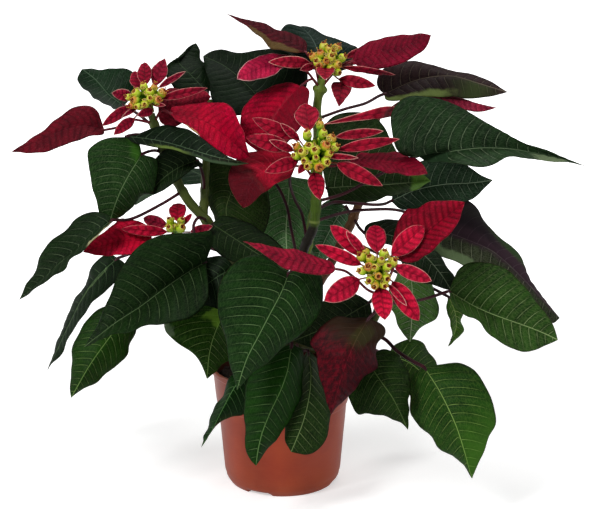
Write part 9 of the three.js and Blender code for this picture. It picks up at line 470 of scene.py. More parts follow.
def blade(b, T, M, L, R, pet, rp, kind, seed, mat_blade=0, mat_pet=1, stem_to=.86, **o):
    """thin closed blade with sunken midrib, lateral veins and puckers between them, and its petiole running on underneath as a ridge"""
    rs = np.random.default_rng(seed)
    M = np.asarray(M, float); L = np.asarray(L, float).copy(); R = np.asarray(R, float).copy()
    L[0] = R[0] = M[0]; L[-1] = R[-1] = M[-1]
    length = np.linalg.norm(np.diff(M, axis=0), axis=1).sum()
    hw = max(np.linalg.norm(L - M, axis=1).max(), np.linalg.norm(R - M, axis=1).max())
    nt = int(np.clip(length / o.get("dt", 1.35), 26, 92)); nh = int(np.clip(hw / o.get("dc", 2.0), 6, 16))
    ts = np.linspace(0, 1, nt + 1); ts = ts + .02*np.sin(2*math.pi*ts)*0
    m, l, r = (hermite(A, T, ts) for A in (M, L, R))
    cs = np.linspace(-1, 1, 2*nh + 1); nc = 2*nh
    a = np.abs(cs)[None, :]; tt = ts[:, None]
    side = np.where((cs >= 0)[None, :, None], l[:, None, :], r[:, None, :])
    P = m[:, None, :] + a[..., None]*(side - m[:, None, :])
    Tn = unit(np.gradient(m, axis=0)); N0 = unit(np.cross(Tn, l - r))
    for k in (0, 1): N0[k] = N0[2]
    for k in (-1, -2): N0[k] = N0[-3]
    h = np.linalg.norm(side - m[:, None, :], axis=2)              # half width at each place
    P = P + N0[:, None, :]*(o.get("arch", .20)*h*a*(1 - a))[..., None]
    # true normals of the smooth surface
    dT = np.gradient(P, axis=0); dC = np.gradient(P, axis=1); N = np.cross(dT, dC)
    ln = np.linalg.norm(N, axis=2); bad = ln < 1e-4
    N = unit(N); N[bad] = np.broadcast_to(N0[:, None, :], N.shape)[bad]
    N[0] = N0[0]; N[-1] = N0[-1]
    fl_ = (N*N0[:, None, :]).sum(2) < .15; N[fl_] = np.broadcast_to(N0[:, None, :], N.shape)[fl_]
    # vein phase: a lateral vein wherever it is a whole number
    nv = o.get("veins", 10); lean = []
    for E_ in (r, l):
        w_ = E_ - m; al = (w_*Tn).sum(1); pe = np.sqrt(np.maximum((w_*w_).sum(1) - al**2, 0))
        q = np.clip((o.get("fwd", .58)*pe - al)/length, 0, .55); k9 = np.ones(9)/9
        lean.append(np.convolve(np.pad(q, 4, mode="edge"), k9, "valid"))
    ks = np.where(cs[None, :] >= 0, lean[1][:, None], lean[0][:, None])
    off = np.where(cs >= 0, 0.0, .42)[None, :]
    ph = nv*(tt*(1.02 + .06*tt) - ks*a**1.3) + off + .09*np.sin(6*tt + seed) + .035*np.sin(2.6*a + seed*1.7 + 9*tt)*a
    fr = ph - np.floor(ph); q = 1 - np.abs(2*fr - 1)
    pillow = 1 - (1 - q)**2.4
    sc = np.clip(hw / 28.0, .3, 1.15)
    env = sstep(a, .02, .22)*(1 - .75*sstep(a, .78, 1))*sstep(tt, .0, .12)*(1 - sstep(tt, .84, .99))
    z = o.get("pucker", .55)*sc*(pillow - .55)*env
    z = z - o.get("groove", .40)*np.exp(-(a*h/1.0)**2)*sstep(tt, 0, .05)*(1 - tt*.6)
    wav = o.get("wave", 1.0)*sc
    f1, f2 = rs.uniform(2.2, 3.4), rs.uniform(4.6, 6.2); p1, p2, p3, p4 = rs.uniform(0, 6.28, 4)
    sg = np.where(cs >= 0, 1.0, 0.0)[None, :]
    z = z + wav*a**2.6*(np.sin(2*math.pi*f1*tt + p1 + 2.1*sg)*.75 + np.sin(2*math.pi*f2*tt + p2 + 1.3*sg)*.45)*sstep(tt, .04, .2)*(1 - sstep(tt, .86, 1))
    z = z + .35*sc*np.sin(3.1*tt*math.pi + p3)*np.sin(2.0*cs[None, :] + p4)*sstep(tt, 0, .15)*(1 - sstep(tt, .85, 1))
    P = P + N*z[..., None]
    th = o.get("thick", .5)/2*(1 - a**6)*(.25 + .75*sstep(tt, 0, .06))*(1 - .6*sstep(tt, .9, 1))
    top = P + N*th[..., None]; bot = P - N*th[..., None]
    across = cs[None, :]*h; along = np.broadcast_to(tt*length, across.shape)
    idx_t = np.zeros((nt + 1, nc + 1), int); idx_b = np.zeros_like(idx_t); V = []; A = []; B = []
    def put(p, sd, i, j):
        V.append(p); A.append((across[i, j], along[i, j], sd)); B.append((ph[i, j], a[0, j], h[i, j])); return len(V) - 1
    v0 = put(P[0, nh], 0, 0, nh); v1 = put(P[nt, nh], 0, nt, nh)
    idx_t[0, :] = idx_b[0, :] = v0; idx_t[nt, :] = idx_b[nt, :] = v1
    for i in range(1, nt):
        for j in range(nc + 1):
            if j in (0, nc):
                idx_t[i, j] = idx_b[i, j] = put(P[i, j], 0, i, j)
            else:
                idx_t[i, j] = put(top[i, j], 1, i, j); idx_b[i, j] = put(bot[i, j], -1, i, j)
    F = []
    for i in range(nt):
        for j in range(nc):
            for I, order in ((idx_t, ((0, 0), (1, 0), (1, 1), (0, 1))), (idx_b, ((0, 0), (0, 1), (1, 1), (1, 0)))):
                q4 = [I[i + di, j + dj] for di, dj in order]; u = []
                for k in q4:
                    if k not in u: u.append(k)
                if len(u) > 2: F.append(tuple(u))
    b.add(V, F, mat_blade, A, B)
    # petiole, then the ridge under the midrib
    if pet is not None:
        plen = np.linalg.norm(np.diff(np.asarray(pet), axis=0), axis=1).sum()
        npet = max(6, int(plen/2.2)); pp = spline(pet, npet)
        te = np.linspace(0, stem_to, max(8, int(length*stem_to/2.5)))[1:]
        Pm = P[:, nh]; mm_ = np.stack([np.interp(te, ts, Pm[:, k]) for k in range(3)], -1); Nn = unit(np.stack([np.interp(te, ts, N0[:, k]) for k in range(3)], -1))
        rr = np.maximum(.20, rp*(.92 - .84*te**.8))
        sink = rr*(.10 + .84*sstep(te, 0, .055)) + .20*sstep(te, 0, .04)
        line = np.vstack([pp, mm_ - Nn*sink[:, None]])
        rad = np.concatenate([rp*(1 + .35*np.exp(-np.linspace(0, plen, npet)/3.0)), rr])
        tube(b, line, rad, 10 if rp > 1 else 8, mat_pet, seed=seed % 7)
    return length/nv

# ------------------------------------------------------------------ materials
TONE = [1.0, 1.0, 1.0]
def tone(t=None):
    """how much darker or lighter the next materials are than their table colours"""
    TONE[:] = [1.0, 1.0, 1.0] if t is None else [float(t)]*3 if not hasattr(t, "__len__") else list(t)
def lin(c, p=1.0):
    """an sRGB colour as scene values, under the current tone"""
    return tuple(min(.92, ((x/255)/12.92 if x/255 <= .04045 else ((x/255 + .055)/1.055)**2.4)*k**p) for x, k in zip(c, TONE)) + (1.0,)

class Mat:
    def __init__(s, name):
        s.m = bpy.data.materials.new(name); s.m.use_nodes = True; s.t = s.m.node_tree; s.t.nodes.clear()
        s.out = s.t.nodes.new("ShaderNodeOutputMaterial"); s.bs = s.t.nodes.new("ShaderNodeBsdfPrincipled")
        s.t.links.new(s.bs.outputs[0], s.out.inputs[0])
    def put(s, sock, val):
        if isinstance(val, bpy.types.NodeSocket): s.t.links.new(val, sock)
        else: sock.default_value = val
    def node(s, kind, ins=(), **kw):
        n = s.t.nodes.new(kind)
        for k, v in kw.items(): setattr(n, k, v)
        for k, v in (ins.items() if isinstance(ins, dict) else enumerate(ins)): s.put(n.inputs[k], v)
        return n
    def math(s, op, a, b=0.0, c=0.0, clamp=False):
        n = s.node("ShaderNodeMath", operation=op, use_clamp=clamp); s.put(n.inputs[0], a); s.put(n.inputs[1], b); s.put(n.inputs[2], c); return n.outputs[0]
    def mul(s, a, b): return s.math("MULTIPLY", a, b)
    def add(s, a, b): return s.math("ADD", a, b)
    def mix(s, f, a, b, blend="MIX"):
        n = s.node("ShaderNodeMix", data_type="RGBA", blend_type=blend, clamp_factor=True)
        s.put(n.inputs[0], f); s.put(n.inputs[6], a); s.put(n.inputs[7], b); return n.outputs[2]
    def fmix(s, f, a, b):
        n = s.node("ShaderNodeMix", data_type="FLOAT", clamp_factor=True)
        s.put(n.inputs[0], f); s.put(n.inputs[2], a); s.put(n.inputs[3], b); return n.outputs[0]
    def attr(s, name): return s.node("ShaderNodeAttribute", attribute_name=name).outputs["Vector"]
    def sep(s, v):
        n = s.node("ShaderNodeSeparateXYZ"); s.put(n.inputs[0], v); return n.outputs[0], n.outputs[1], n.outputs[2]
    def comb(s, x, y, z=0.0):
        n = s.node("ShaderNodeCombineXYZ"); s.put(n.inputs[0], x); s.put(n.inputs[1], y); s.put(n.inputs[2], z); return n.outputs[0]
    def scale(s, v, k):
        n = s.node("ShaderNodeVectorMath", operation="MULTIPLY"); s.put(n.inputs[0], v); s.put(n.inputs[1], k); return n.outputs[0]
    def obj(s, k=1.0): return s.scale(s.node("ShaderNodeTexCoord").outputs["Object"], (k, k, k))
    def noise(s, v, scale, detail=2.0, rough=.5, dist=0.0):
        n = s.node("ShaderNodeTexNoise"); s.put(n.inputs["Vector"], v); n.inputs["Scale"].default_value = scale
        n.inputs["Detail"].default_value = detail; n.inputs["Roughness"].default_value = rough; n.inputs["Distortion"].default_value = dist
        return n.outputs[0]
    def voro(s, v, scale, feature="DISTANCE_TO_EDGE", rnd=1.0):
        n = s.node("ShaderNodeTexVoronoi", feature=feature); s.put(n.inputs["Vector"], v); n.inputs["Scale"].default_value = scale
        n.inputs["Randomness"].default_value = rnd; return n.outputs["Distance"]
    def step(s, x, a, b, lo=0.0, hi=1.0):
        n = s.node("ShaderNodeMapRange", interpolation_type="SMOOTHSTEP"); s.put(n.inputs[0], x)
        for i, v in ((1, a), (2, b), (3, lo), (4, hi)): s.put(n.inputs[i], v)
        return n.outputs[0]
    def done(s, col, rough, height=None, strength=.5, dist=.0004, spec=.5, sheen=0.0, sub=0.0, coat=0.0):
        s.put(s.bs.inputs["Base Color"], col); s.put(s.bs.inputs["Roughness"], rough); s.bs.inputs["Specular IOR Level"].default_value = spec
        if sheen: s.bs.inputs["Sheen Weight"].default_value = sheen; s.bs.inputs["Sheen Roughness"].default_value = .4
        if coat: s.bs.inputs["Coat Weight"].default_value = coat; s.bs.inputs["Coat Roughness"].default_value = .25
        if height is not None:
            n = s.node("ShaderNodeBump"); n.inputs["Strength"].default_value = strength; n.inputs["Distance"].default_value = dist
            s.put(n.inputs["Height"], height); s.put(s.bs.inputs["Normal"], n.outputs[0])
        return s.m

def veins_of(g, spacing, wide=(.40, .17), jitter=.018, midw=.50):
    """distances to the vein lines of a blade from its attributes, as masks"""
    fl = g.attr("fl"); vn = g.attr("vn"); x, y, sd = g.sep(fl); ph, a, hs = g.sep(vn)
    flat = g.comb(x, y, sd)
    wob = g.math("SUBTRACT", g.noise(flat, .10, 2.0, .5), .5)
    p2 = g.add(ph, g.mul(wob, jitter*2))
    fr = g.math("SUBTRACT", g.math("FRACT", g.add(p2, 100.5)), .5)
    dv = g.mul(g.math("ABSOLUTE", fr), spacing)
    w = g.fmix(a, wide[0], wide[1])
    lat = g.math("SUBTRACT", 1.0, g.step(g.math("DIVIDE", dv, w), .25, 1.0))
    lat = g.mul(lat, g.mul(g.step(a, 0.0, .05), g.step(a, 1.02, .55)))
    near = g.math("SUBTRACT", 1.0, g.step(dv, 0.0, spacing*.42))       # broad zone beside a vein
    ax = g.math("ABSOLUTE", x)
    mid = g.math("SUBTRACT", 1.0, g.step(g.add(ax, g.mul(a, .0)), midw*.25, midw))
    # net of small veins between the laterals, drawn out along them
    cell = g.voro(g.comb(g.mul(x, .62), g.mul(p2, .42*spacing*.62), sd), 1.0)
    net = g.math("SUBTRACT", 1.0, g.step(cell, .0, .13))
    fine = g.voro(g.comb(g.mul(x, 1.5), g.mul(y, 1.5), sd), 1.0)
    edge = g.mul(hs, g.math("SUBTRACT", 1.0, a))                          # mm in from the margin
    return dict(x=x, y=y, sd=sd, ph=ph, a=a, hs=hs, flat=flat, lat=lat, near=near, mid=mid, net=net, fine=fine, ax=ax, edge=edge)

def zones_of(g, v, topc, zones, length, seed):
    """patches of another colour on the upper face, each within a range of the length and of the width"""
    if not zones: return topc
    n = g.math("SUBTRACT", g.noise(g.comb(v["x"], v["y"], seed*2.3), .11, 4.0, .6), .5)
    t = g.add(g.mul(v["y"], 1.0/length), g.mul(n, .16)); c = g.add(g.math("DIVIDE", v["x"], g.math("MAXIMUM", v["hs"], .5)), g.mul(n, .42))
    for z in zones:
        col, t0, t1, c0, c1 = z[:5]; col = tuple(q*.82 for q in col); k = z[5] if len(z) > 5 else .9; e = z[6] if len(z) > 6 else .05
        m = g.mul(g.step(t, t0 - e, t0 + e), g.math("SUBTRACT", 1.0, g.step(t, t1 - e, t1 + e)))
        m = g.mul(m, g.mul(g.step(c, c0 - 1.5*e, c0 + 1.5*e), g.math("SUBTRACT", 1.0, g.step(c, c1 - 1.5*e, c1 + 1.5*e))))
        body = g.mix(g.mul(g.math("MAXIMUM", v["lat"], v["mid"]), .35), lin(col, 0), lin(tuple(min(255, q*1.3 + 20) for q in col), 0))
        body = g.mix(g.mul(v["net"], .2), body, lin(tuple(q*.7 for q in col), 0))
        if len(z) > 7: body = g.mix(g.mul(g.step(g.noise(g.comb(v["x"], g.mul(v["ph"], 5.0), seed*4.1), .23, 5.0, .75), .36, .62), z[7]), body, lin(tuple(q*.34 + 4 for q in col), 0))
        topc = g.mix(g.mul(m, k), topc, body)
    return topc

def leaf_material(name, spacing, dark, mid, vein, under, seed, patch=None, rough=.50, vein_k=.86, edge=(70, 34, 34), tip=None, spec=.055, zones=None, length=100.0, midc=None):
    g = Mat(name); v = veins_of(g, spacing)
    big = g.noise(g.comb(v["x"], v["y"], seed*3.7), .045, 3.0, .55)
    small = g.noise(g.comb(v["x"], v["y"], seed*1.3), .5, 4.0, .65)
    base = g.mix(g.step(big, .30, .70), lin(dark), lin(mid))
    base = g.mix(g.mul(g.step(small, .35, .75), .13), base, lin(tuple(c*.80 for c in dark)))
    # paler on the crests between the laterals and darker beside them: painted light and painted shade of the puckers
    base = g.mix(g.mul(g.math("SUBTRACT", 1.0, v["near"]), .30), base, lin(tuple(min(255, c*1.22 + 5) for c in mid)))
    base = g.mix(g.mul(v["near"], .24), base, lin(tuple(c*.82 for c in dark)))
    if patch:   # second colour in soft blotches
        pc, lo, hi, sc_ = patch
        pn = g.noise(g.comb(v["x"], v["y"], seed*9.1), sc_, 3.0, .6, .4)
        base = g.mix(g.step(pn, lo, hi), base, lin(pc))
    if tip:     # colour taken on towards the tip or one side: colour, axis, from, to
        tc, ax_, t0, t1 = tip
        src = v["y"] if ax_ == "y" else v["x"]
        base = g.mix(g.mul(g.step(src, t0, t1), g.add(.65, g.mul(small, .5))), base, lin(tc))
    base = g.mix(g.mul(v["net"], .12), base, lin(vein, .8))
    brk = g.add(.05, g.mul(g.step(g.noise(g.comb(v["x"], v["y"], seed), .07, 3.0, .6), .28, .62), .95))
    topc = g.mix(g.mul(g.mul(v["lat"], vein_k), brk), base, lin(vein, .5))
    topc = g.mix(g.mul(v["mid"], min(1, vein_k*1.05)), topc, lin(midc or vein, .5))
    topc = zones_of(g, v, topc, zones, length, seed)
    if edge:
        en = g.add(.34, g.mul(small, .34))
        topc = g.mix(g.mul(g.math("SUBTRACT", 1.0, g.step(v["edge"], 0.0, en)), .55), topc, lin(edge, .6))
    ub = g.mix(g.step(big, .3, .7), lin(under, .45), lin(tuple(c*.82 for c in under), .45))
    ub = g.mix(g.mul(v["net"], .22), ub, lin(tuple(c*.7 for c in under), .45))
    ub = g.mix(g.mul(g.math("MAXIMUM", v["lat"], v["mid"]), .6), ub, lin(tuple(min(255, c*1.25 + 12) for c in under), .45))
    col = g.mix(g.step(v["sd"], -.35, .0), ub, topc)
    ht = g.add(g.mul(v["fine"], .35), g.mul(small, .45)); ht = g.math("SUBTRACT", ht, g.add(g.mul(v["lat"], .7), g.mul(v["net"], .25)))
    ro = g.add(rough - .07, g.mul(small, .16))
    return g.done(col, ro, ht, .38, .0004, spec=spec)

def bract_material(name, spacing, deep, bright, vein, under, seed, margin=(206, 118, 104), margin_w=.36, rough=.52, vein_k=.20, fleck=None, shade=None, wide=(.95, .45), zones=None, length=70.0, spec=.06, margin_k=.60, band=.35):
    g = Mat(name); v = veins_of(g, spacing, wide, .05, .8)
    big = g.noise(g.comb(v["x"], v["y"], seed*2.9), .07, 3.0, .6)
    small = g.noise(g.comb(v["x"], v["y"], seed*1.9), .8, 4.0, .65)
    broad = g.noise(g.comb(v["x"], v["y"], seed*5.3), .032, 3.0, .6, .5)
    base = g.mix(g.step(big, .28, .68), lin(deep), lin(bright))
    base = g.mix(g.mul(g.step(broad, .58, .36), .42), base, lin(tuple(c*.70 for c in deep)))
    # painted highlight, lighter and pinker, on the crest between two veins; painted shade down beside them
    crest_highlight = g.mul(g.math("SUBTRACT", 1.0, v["near"]), g.step(small, .30, .75))
    base = g.mix(g.mul(crest_highlight, .25 + .5*band), base, lin(tuple(min(255, c*1.12 + 16) for c in bright)))
    base = g.mix(g.mul(g.mul(v["near"], g.add(.3, g.mul(g.step(big, .3, .7), 1.1))), .62*band), base, lin(tuple(c*.72 for c in deep)))
    base = g.mix(g.mul(v["net"], .30), base, lin(tuple(c*.62 for c in deep)))
    pk = g.mul(g.step(g.noise(g.comb(v["x"], v["y"], seed*4.1), .42, 3.0, .55), .50, .68), g.step(v["a"], .25, .80))
    base = g.mix(g.mul(pk, .42), base, lin(tuple(min(255, c*1.10 + 26) for c in bright)))        # blisters near the margin catch the light
    lines = g.math("MAXIMUM", g.mul(v["lat"], vein_k), g.mul(v["mid"], min(1.0, vein_k*1.7)))
    topc = g.mix(g.mul(lines, g.add(.6, g.mul(small, .8))), base, lin(vein))
    topc = zones_of(g, v, topc, zones, length, seed)
    if shade:   # darker or duller towards one side or the tip
        tc, ax_, t0, t1 = shade
        src = v["y"] if ax_ == "y" else v["x"]
        topc = g.mix(g.mul(g.step(src, t0, t1), g.add(.55, g.mul(small, .6))), topc, lin(tc))
    if fleck:
        topc = g.mix(g.mul(g.step(g.noise(g.comb(v["x"], v["y"], seed), .55, 3.0, .6), .64, .72), .8), topc, lin(fleck))
    if margin:
        mw = g.mul(margin_w, g.add(.55, g.mul(small, .9)))
        topc = g.mix(g.mul(g.mul(g.math("SUBTRACT", 1.0, g.step(g.math("DIVIDE", v["edge"], mw), .35, 1.25)), margin_k), g.add(.5, g.mul(g.step(big, .3, .65), .5))), topc, lin(margin, .35))
    ub = g.mix(g.step(big, .3, .7), lin(under, .6), lin(tuple(c*.8 for c in under), .6))
    ub = g.mix(g.mul(g.math("MAXIMUM", v["lat"], v["mid"]), .45), ub, lin(tuple(c*.62 for c in under), .6))
    col = g.mix(g.step(v["sd"], -.35, .0), ub, topc)
    ht = g.add(g.mul(v["fine"], .30), g.mul(small, .6)); ht = g.math("SUBTRACT", ht, g.add(g.mul(v["lat"], .8), g.mul(v["net"], .5)))
    ro = g.add(rough - .08, g.mul(small, .18))
    return g.done(col, ro, ht, .6, .0007, spec=spec)

def stalk_material(name, base, other, streak, rough=.42, k=.5, spec=.22):
    """petioles and stems: two tones along the length, fine streaks and pores"""
    g = Mat(name); ang, s_, sd = g.sep(g.attr("fl")); t, r, _ = g.sep(g.attr("vn"))
    p = g.obj(1000.0)
    n1 = g.noise(p, .09, 3.0, .55); n2 = g.noise(g.comb(g.mul(ang, 3.2), g.mul(s_, .10), sd), 1.0, 3.0, .6)
    col = g.mix(g.step(g.add(n1, g.mul(t, k*.4)), .35, .75), lin(base), lin(other))
    col = g.mix(g.mul(g.step(n2, .5, .72), .45), col, lin(streak))
    pores = g.voro(p, .55, "F1"); dot = g.math("SUBTRACT", 1.0, g.step(pores, .08, .20))
    col = g.mix(g.mul(dot, .35), col, lin(tuple(min(255, c*1.3 + 25) for c in streak)))
    ht = g.add(g.mul(n2, .5), g.mul(dot, .6))
    return g.done(col, g.add(rough - .06, g.mul(n1, .14)), ht, .4, .0004, spec=spec)

def stem_material(name, low, high, z0, z1, ring=None, rough=.45):
    """a stem whose colour changes with height, with pale lenticels, streaks and leaf scars"""
    g = Mat(name); ang, s_, sd = g.sep(g.attr("fl")); p = g.obj(1000.0); px, py, pz = g.sep(p)
    n1 = g.noise(p, .06, 4.0, .6); n2 = g.noise(g.comb(g.mul(ang, 4.5), g.mul(s_, .06), sd), 1.0, 4.0, .65); n3 = g.noise(p, .9, 3.0, .6)
    f = g.step(g.add(pz, g.mul(g.math("SUBTRACT", n1, .5), 46.0)), z0, z1)
    lo = g.mix(g.step(n2, .35, .7), lin(low), lin(tuple(c*.62 for c in low))); hi = g.mix(g.step(n2, .35, .75), lin(high), lin(tuple(c*.74 for c in high)))
    col = g.mix(f, lo, hi)
    if ring:
        for zc, w, c in ring:
            d = g.math("ABSOLUTE", g.math("SUBTRACT", pz, zc)); col = g.mix(g.mul(g.math("SUBTRACT", 1.0, g.step(d, w*.4, w)), .85), col, lin(c))
    pores = g.voro(g.comb(g.mul(ang, 2.2), g.mul(s_, .26), sd), 1.0, "F1"); dot = g.math("SUBTRACT", 1.0, g.step(pores, .10, .22))
    col = g.mix(g.mul(dot, .5), col, lin(tuple(min(255, c*1.2 + 45) for c in low)))
    ht = g.add(g.add(g.mul(n2, .7), g.mul(dot, .5)), g.mul(n3, .25))
    return g.done(col, g.add(rough - .05, g.mul(n3, .16)), ht, .5, .0006, spec=.22)

def plain_organic(name, c1, c2, scale, rough, bump=.4, spec=.25, c3=None):
    g = Mat(name); p = g.obj(1000.0); n1 = g.noise(p, scale, 4.0, .6); n2 = g.noise(p, scale*4, 3.0, .6)
    col = g.mix(g.step(n1, .32, .7), lin(c1), lin(c2))
    if c3: col = g.mix(g.step(n2, .55, .75), col, lin(c3))
    return g.done(col, g.add(rough - .08, g.mul(n2, .16)), g.add(n1, g.mul(n2, .5)), bump, .0004, spec=spec)

# ------------------------------------------------------------------ stems
PETIOLE_STARTS = [np.array(v[3][0], float) for v in BLADES.values() if v[3]]

def stem_path(pts, rad, step=1.7):
    P = np.asarray(pts, float); L = np.linalg.norm(np.diff(P, axis=0), axis=1).sum(); n = max(12, int(L/step))
    line = spline(P, n); s = np.linspace(0, 1, n)
    at = np.concatenate([[0], np.cumsum(np.linalg.norm(np.diff(P, axis=0), axis=1))]); at /= at[-1]
    return line, np.interp(s, at, rad), L

def stem_tube(b, pts, rad, mat, seed, nodes_every=0.0):
    """a stem, swollen a little where each petiole leaves it, with a scar ring and a faint three-sided section"""
    line, r, L = stem_path(pts, rad)
    s = np.linspace(0, L, len(line)); rs = np.random.default_rng(seed)
    marks = []
    for q in PETIOLE_STARTS:
        d = np.linalg.norm(line - q, axis=1); k = int(np.argmin(d))
        if d[k] < r[k] + 2.0 and 4 < s[k] < L - 4: marks.append(s[k])
    x = 14.0
    while nodes_every and x < L - 10:
        if all(abs(x - m) > 9 for m in marks): marks.append(x)
        x += nodes_every*rs.uniform(.75, 1.3)
    for mk in marks:
        r = r*(1 + .15*np.exp(-((s - mk)/2.6)**2) - .05*np.exp(-((s - mk - 3.4)/.8)**2))
    r = r*(1 + .02*np.sin(s*.21 + seed) + .012*np.sin(s*.67 + 2*seed))
    sc = [(mk, rs.uniform(0, 6.28)) for mk in marks]
    def shape(a, at):
        f = 1 + .028*np.cos(3*a + .02*at + seed) + .012*np.sin(7*a + .11*at) + .008*np.sin(13*a - .3*at)
        for mk, a0 in sc:      # a leaf scar: a small raised shield on one side
            da = np.angle(np.exp(1j*(a - a0)))
            f = f + .13*np.exp(-(da/.55)**2 - ((at - mk + 1.0)/1.6)**2) - .10*np.exp(-(da/.30)**2 - ((at - mk + 1.0)/.8)**2)
        return f
    tube(b, line, r, 28, mat, shape, seed=seed)

# ------------------------------------------------------------------ cyathia
def ring_of(c, u, w, r, n, ph=0.0, lobes=0, amp=0.0):
    a = np.linspace(0, 2*math.pi, n, endpoint=False) + ph
    rr = r*(1 + amp*np.cos(lobes*a)) if lobes else r*np.ones(n)
    return c + (rr*np.cos(a))[:, None]*u + (rr*np.sin(a))[:, None]*w

def cyathium(b, hub, top, seed, cup_r, cup_len, age, slots):
    """a small green cup on a stalk: lobed rim, dark mouth, one or two cream-lipped glands and a tuft of stamens"""
    rs = np.random.default_rng(seed); h = np.asarray(hub, float); p = np.asarray(top, float)
    d = unit(p - h); u = np.array([1.0, 0, 0]) - d*d[0]; u = unit(u); w = np.cross(d, u)
    tilt = rs.uniform(-.12, .12, 2); d2 = unit(d + tilt[0]*u + tilt[1]*w); N = 20
    base = h + d*1.0; neck = p - d*cup_len*.55
    rings = []; path = [(base, d, cup_r*.62), (base + (neck - base)*.5, d, cup_r*.50), (neck, d2, cup_r*.56)]
    for c, dd, r in path: rings.append(ring_of(c, u, w, r, N))
    prof = [(-.46, .55), (-.38, .80), (-.26, .97), (-.10, 1.04), (.06, 1.0), (.20, .90), (.30, .78), (.36, .70)]
    for zz, rr in prof: rings.append(ring_of(p + d2*cup_len*zz, u, w, cup_r*rr, N, 0, 5, .02 + .03*(zz > 0)))
    k0 = len(rings)
    rings.append(ring_of(p + d2*cup_len*.42, u, w, cup_r*.50, N, 0, 5, .14))
    rings.append(ring_of(p + d2*cup_len*.34, u, w, cup_r*.40, N, 0, 5, .16))
    rings.append(ring_of(p + d2*cup_len*.18, u, w, cup_r*.32, N, 0, 5, .06))
    V = np.vstack(rings); F = grid_faces(len(rings), N, True)
    mats = [slots[0] if i < k0 - 1 else slots[6] if i < k0 else slots[1] for i in range(len(rings) - 1) for _ in range(N)]
    V = np.vstack([V, base - d*.4, p + d2*cup_len*.15])
    F += [(len(V) - 2, (j + 1) % N, j) for j in range(N)]; mats += [slots[0]]*N
    k = (len(rings) - 1)*N; F += [(len(V) - 1, k + j, k + (j + 1) % N) for j in range(N)]; mats += [slots[1]]*N
    zz = ((V - p) @ d2)/cup_len; A = np.stack([zz, np.full(len(V), seed % 11.0), np.full(len(V), age)], -1)
    n0 = b.n; b.add(V, F, slots[0], A)
    for i, m in enumerate(mats): b.m[len(b.m) - len(F) + i] = m
    # glands: two-lipped cream cups on the side of the cup that faces out and up
    up = unit(np.array([0, -.75, .65]) - d2*np.dot([0, -.75, .65], d2)); a0 = math.atan2(np.dot(up, w), np.dot(up, u)) + rs.uniform(-.9, .9)
    for gi in range(2 if rs.random() < .35 else 1):
        a = a0 + gi*2.3; o = math.cos(a)*u + math.sin(a)*w; t = np.cross(d2, o)
        c = p + d2*cup_len*.10 + o*cup_r*.80; g = unit(o*.85 + d2*.55); g2 = np.cross(t, g); M_ = 16
        gr = cup_r*rs.uniform(.52, .66)
        def gring(off, rr, fl=1.0): return ring_of(c + g*off, t, g2, gr*rr, M_) if fl == 1.0 else None
        GR = [gring(-.5, .45), gring(.35, .72), gring(.95, .98), gring(1.30, 1.06), gring(1.45, .98), gring(1.30, .82), gring(.85, .60), gring(.45, .34)]
        GR = [c0 + 0 for c0 in GR]
        for q in range(len(GR)):       # squeezed from above, so that the mouth is a wide lip
            cc = GR[q].mean(0); e = GR[q] - cc; GR[q] = cc + e - np.outer(e @ g2, g2)*.38
        V = np.vstack(GR + [c - g*.7, c + g*.40]); F = grid_faces(len(GR), M_, True)
        mm = [slots[2] if i < 5 else slots[3] for i in range(len(GR) - 1) for _ in range(M_)]
        F += [(len(V) - 2, (j + 1) % M_, j) for j in range(M_)]; mm += [slots[2]]*M_
        k = (len(GR) - 1)*M_; F += [(len(V) - 1, k + j, k + (j + 1) % M_) for j in range(M_)]; mm += [slots[3]]*M_
        b.add(V, F, slots[2], np.tile([0, seed % 11.0, age], (len(V), 1)))
        for i, m in enumerate(mm): b.m[len(b.m) - len(F) + i] = m
    # stamens
    for q in range(int(rs.integers(4, 9))):
        a = rs.uniform(0, 6.28); r0 = cup_r*rs.uniform(.05, .42); o = math.cos(a)*u + math.sin(a)*w
        s0 = p + d2*cup_len*.24 + o*r0; ln = rs.uniform(1.6, 3.6)*(.7 + .5*age)
        bend = unit(d2 + o*rs.uniform(.2, .9)); s1 = s0 + d2*ln*.55; s2 = s1 + bend*ln*.55
        tube(b, spline([s0, s1, s2], 6), np.array([.24, .23, .22, .21, .20, .19]), 6, slots[4], seed=seed % 5)
        # a two-lobed anther
        for e in (-.22, .22):
            c = s2 + bend*.15 + np.cross(bend, o)*e; R_ = [ring_of(c + bend*z0, u, w, r1, 7) for z0, r1 in ((-.30, .16), (-.12, .36), (.12, .38), (.30, .18))]
            V = np.vstack(R_ + [c - bend*.38, c + bend*.38]); F = grid_faces(4, 7, True)
            F += [(len(V) - 2, (j + 1) % 7, j) for j in range(7)] + [(len(V) - 1, 21 + j, 21 + (j + 1) % 7) for j in range(7)]
            b.add(V, F, slots[5])

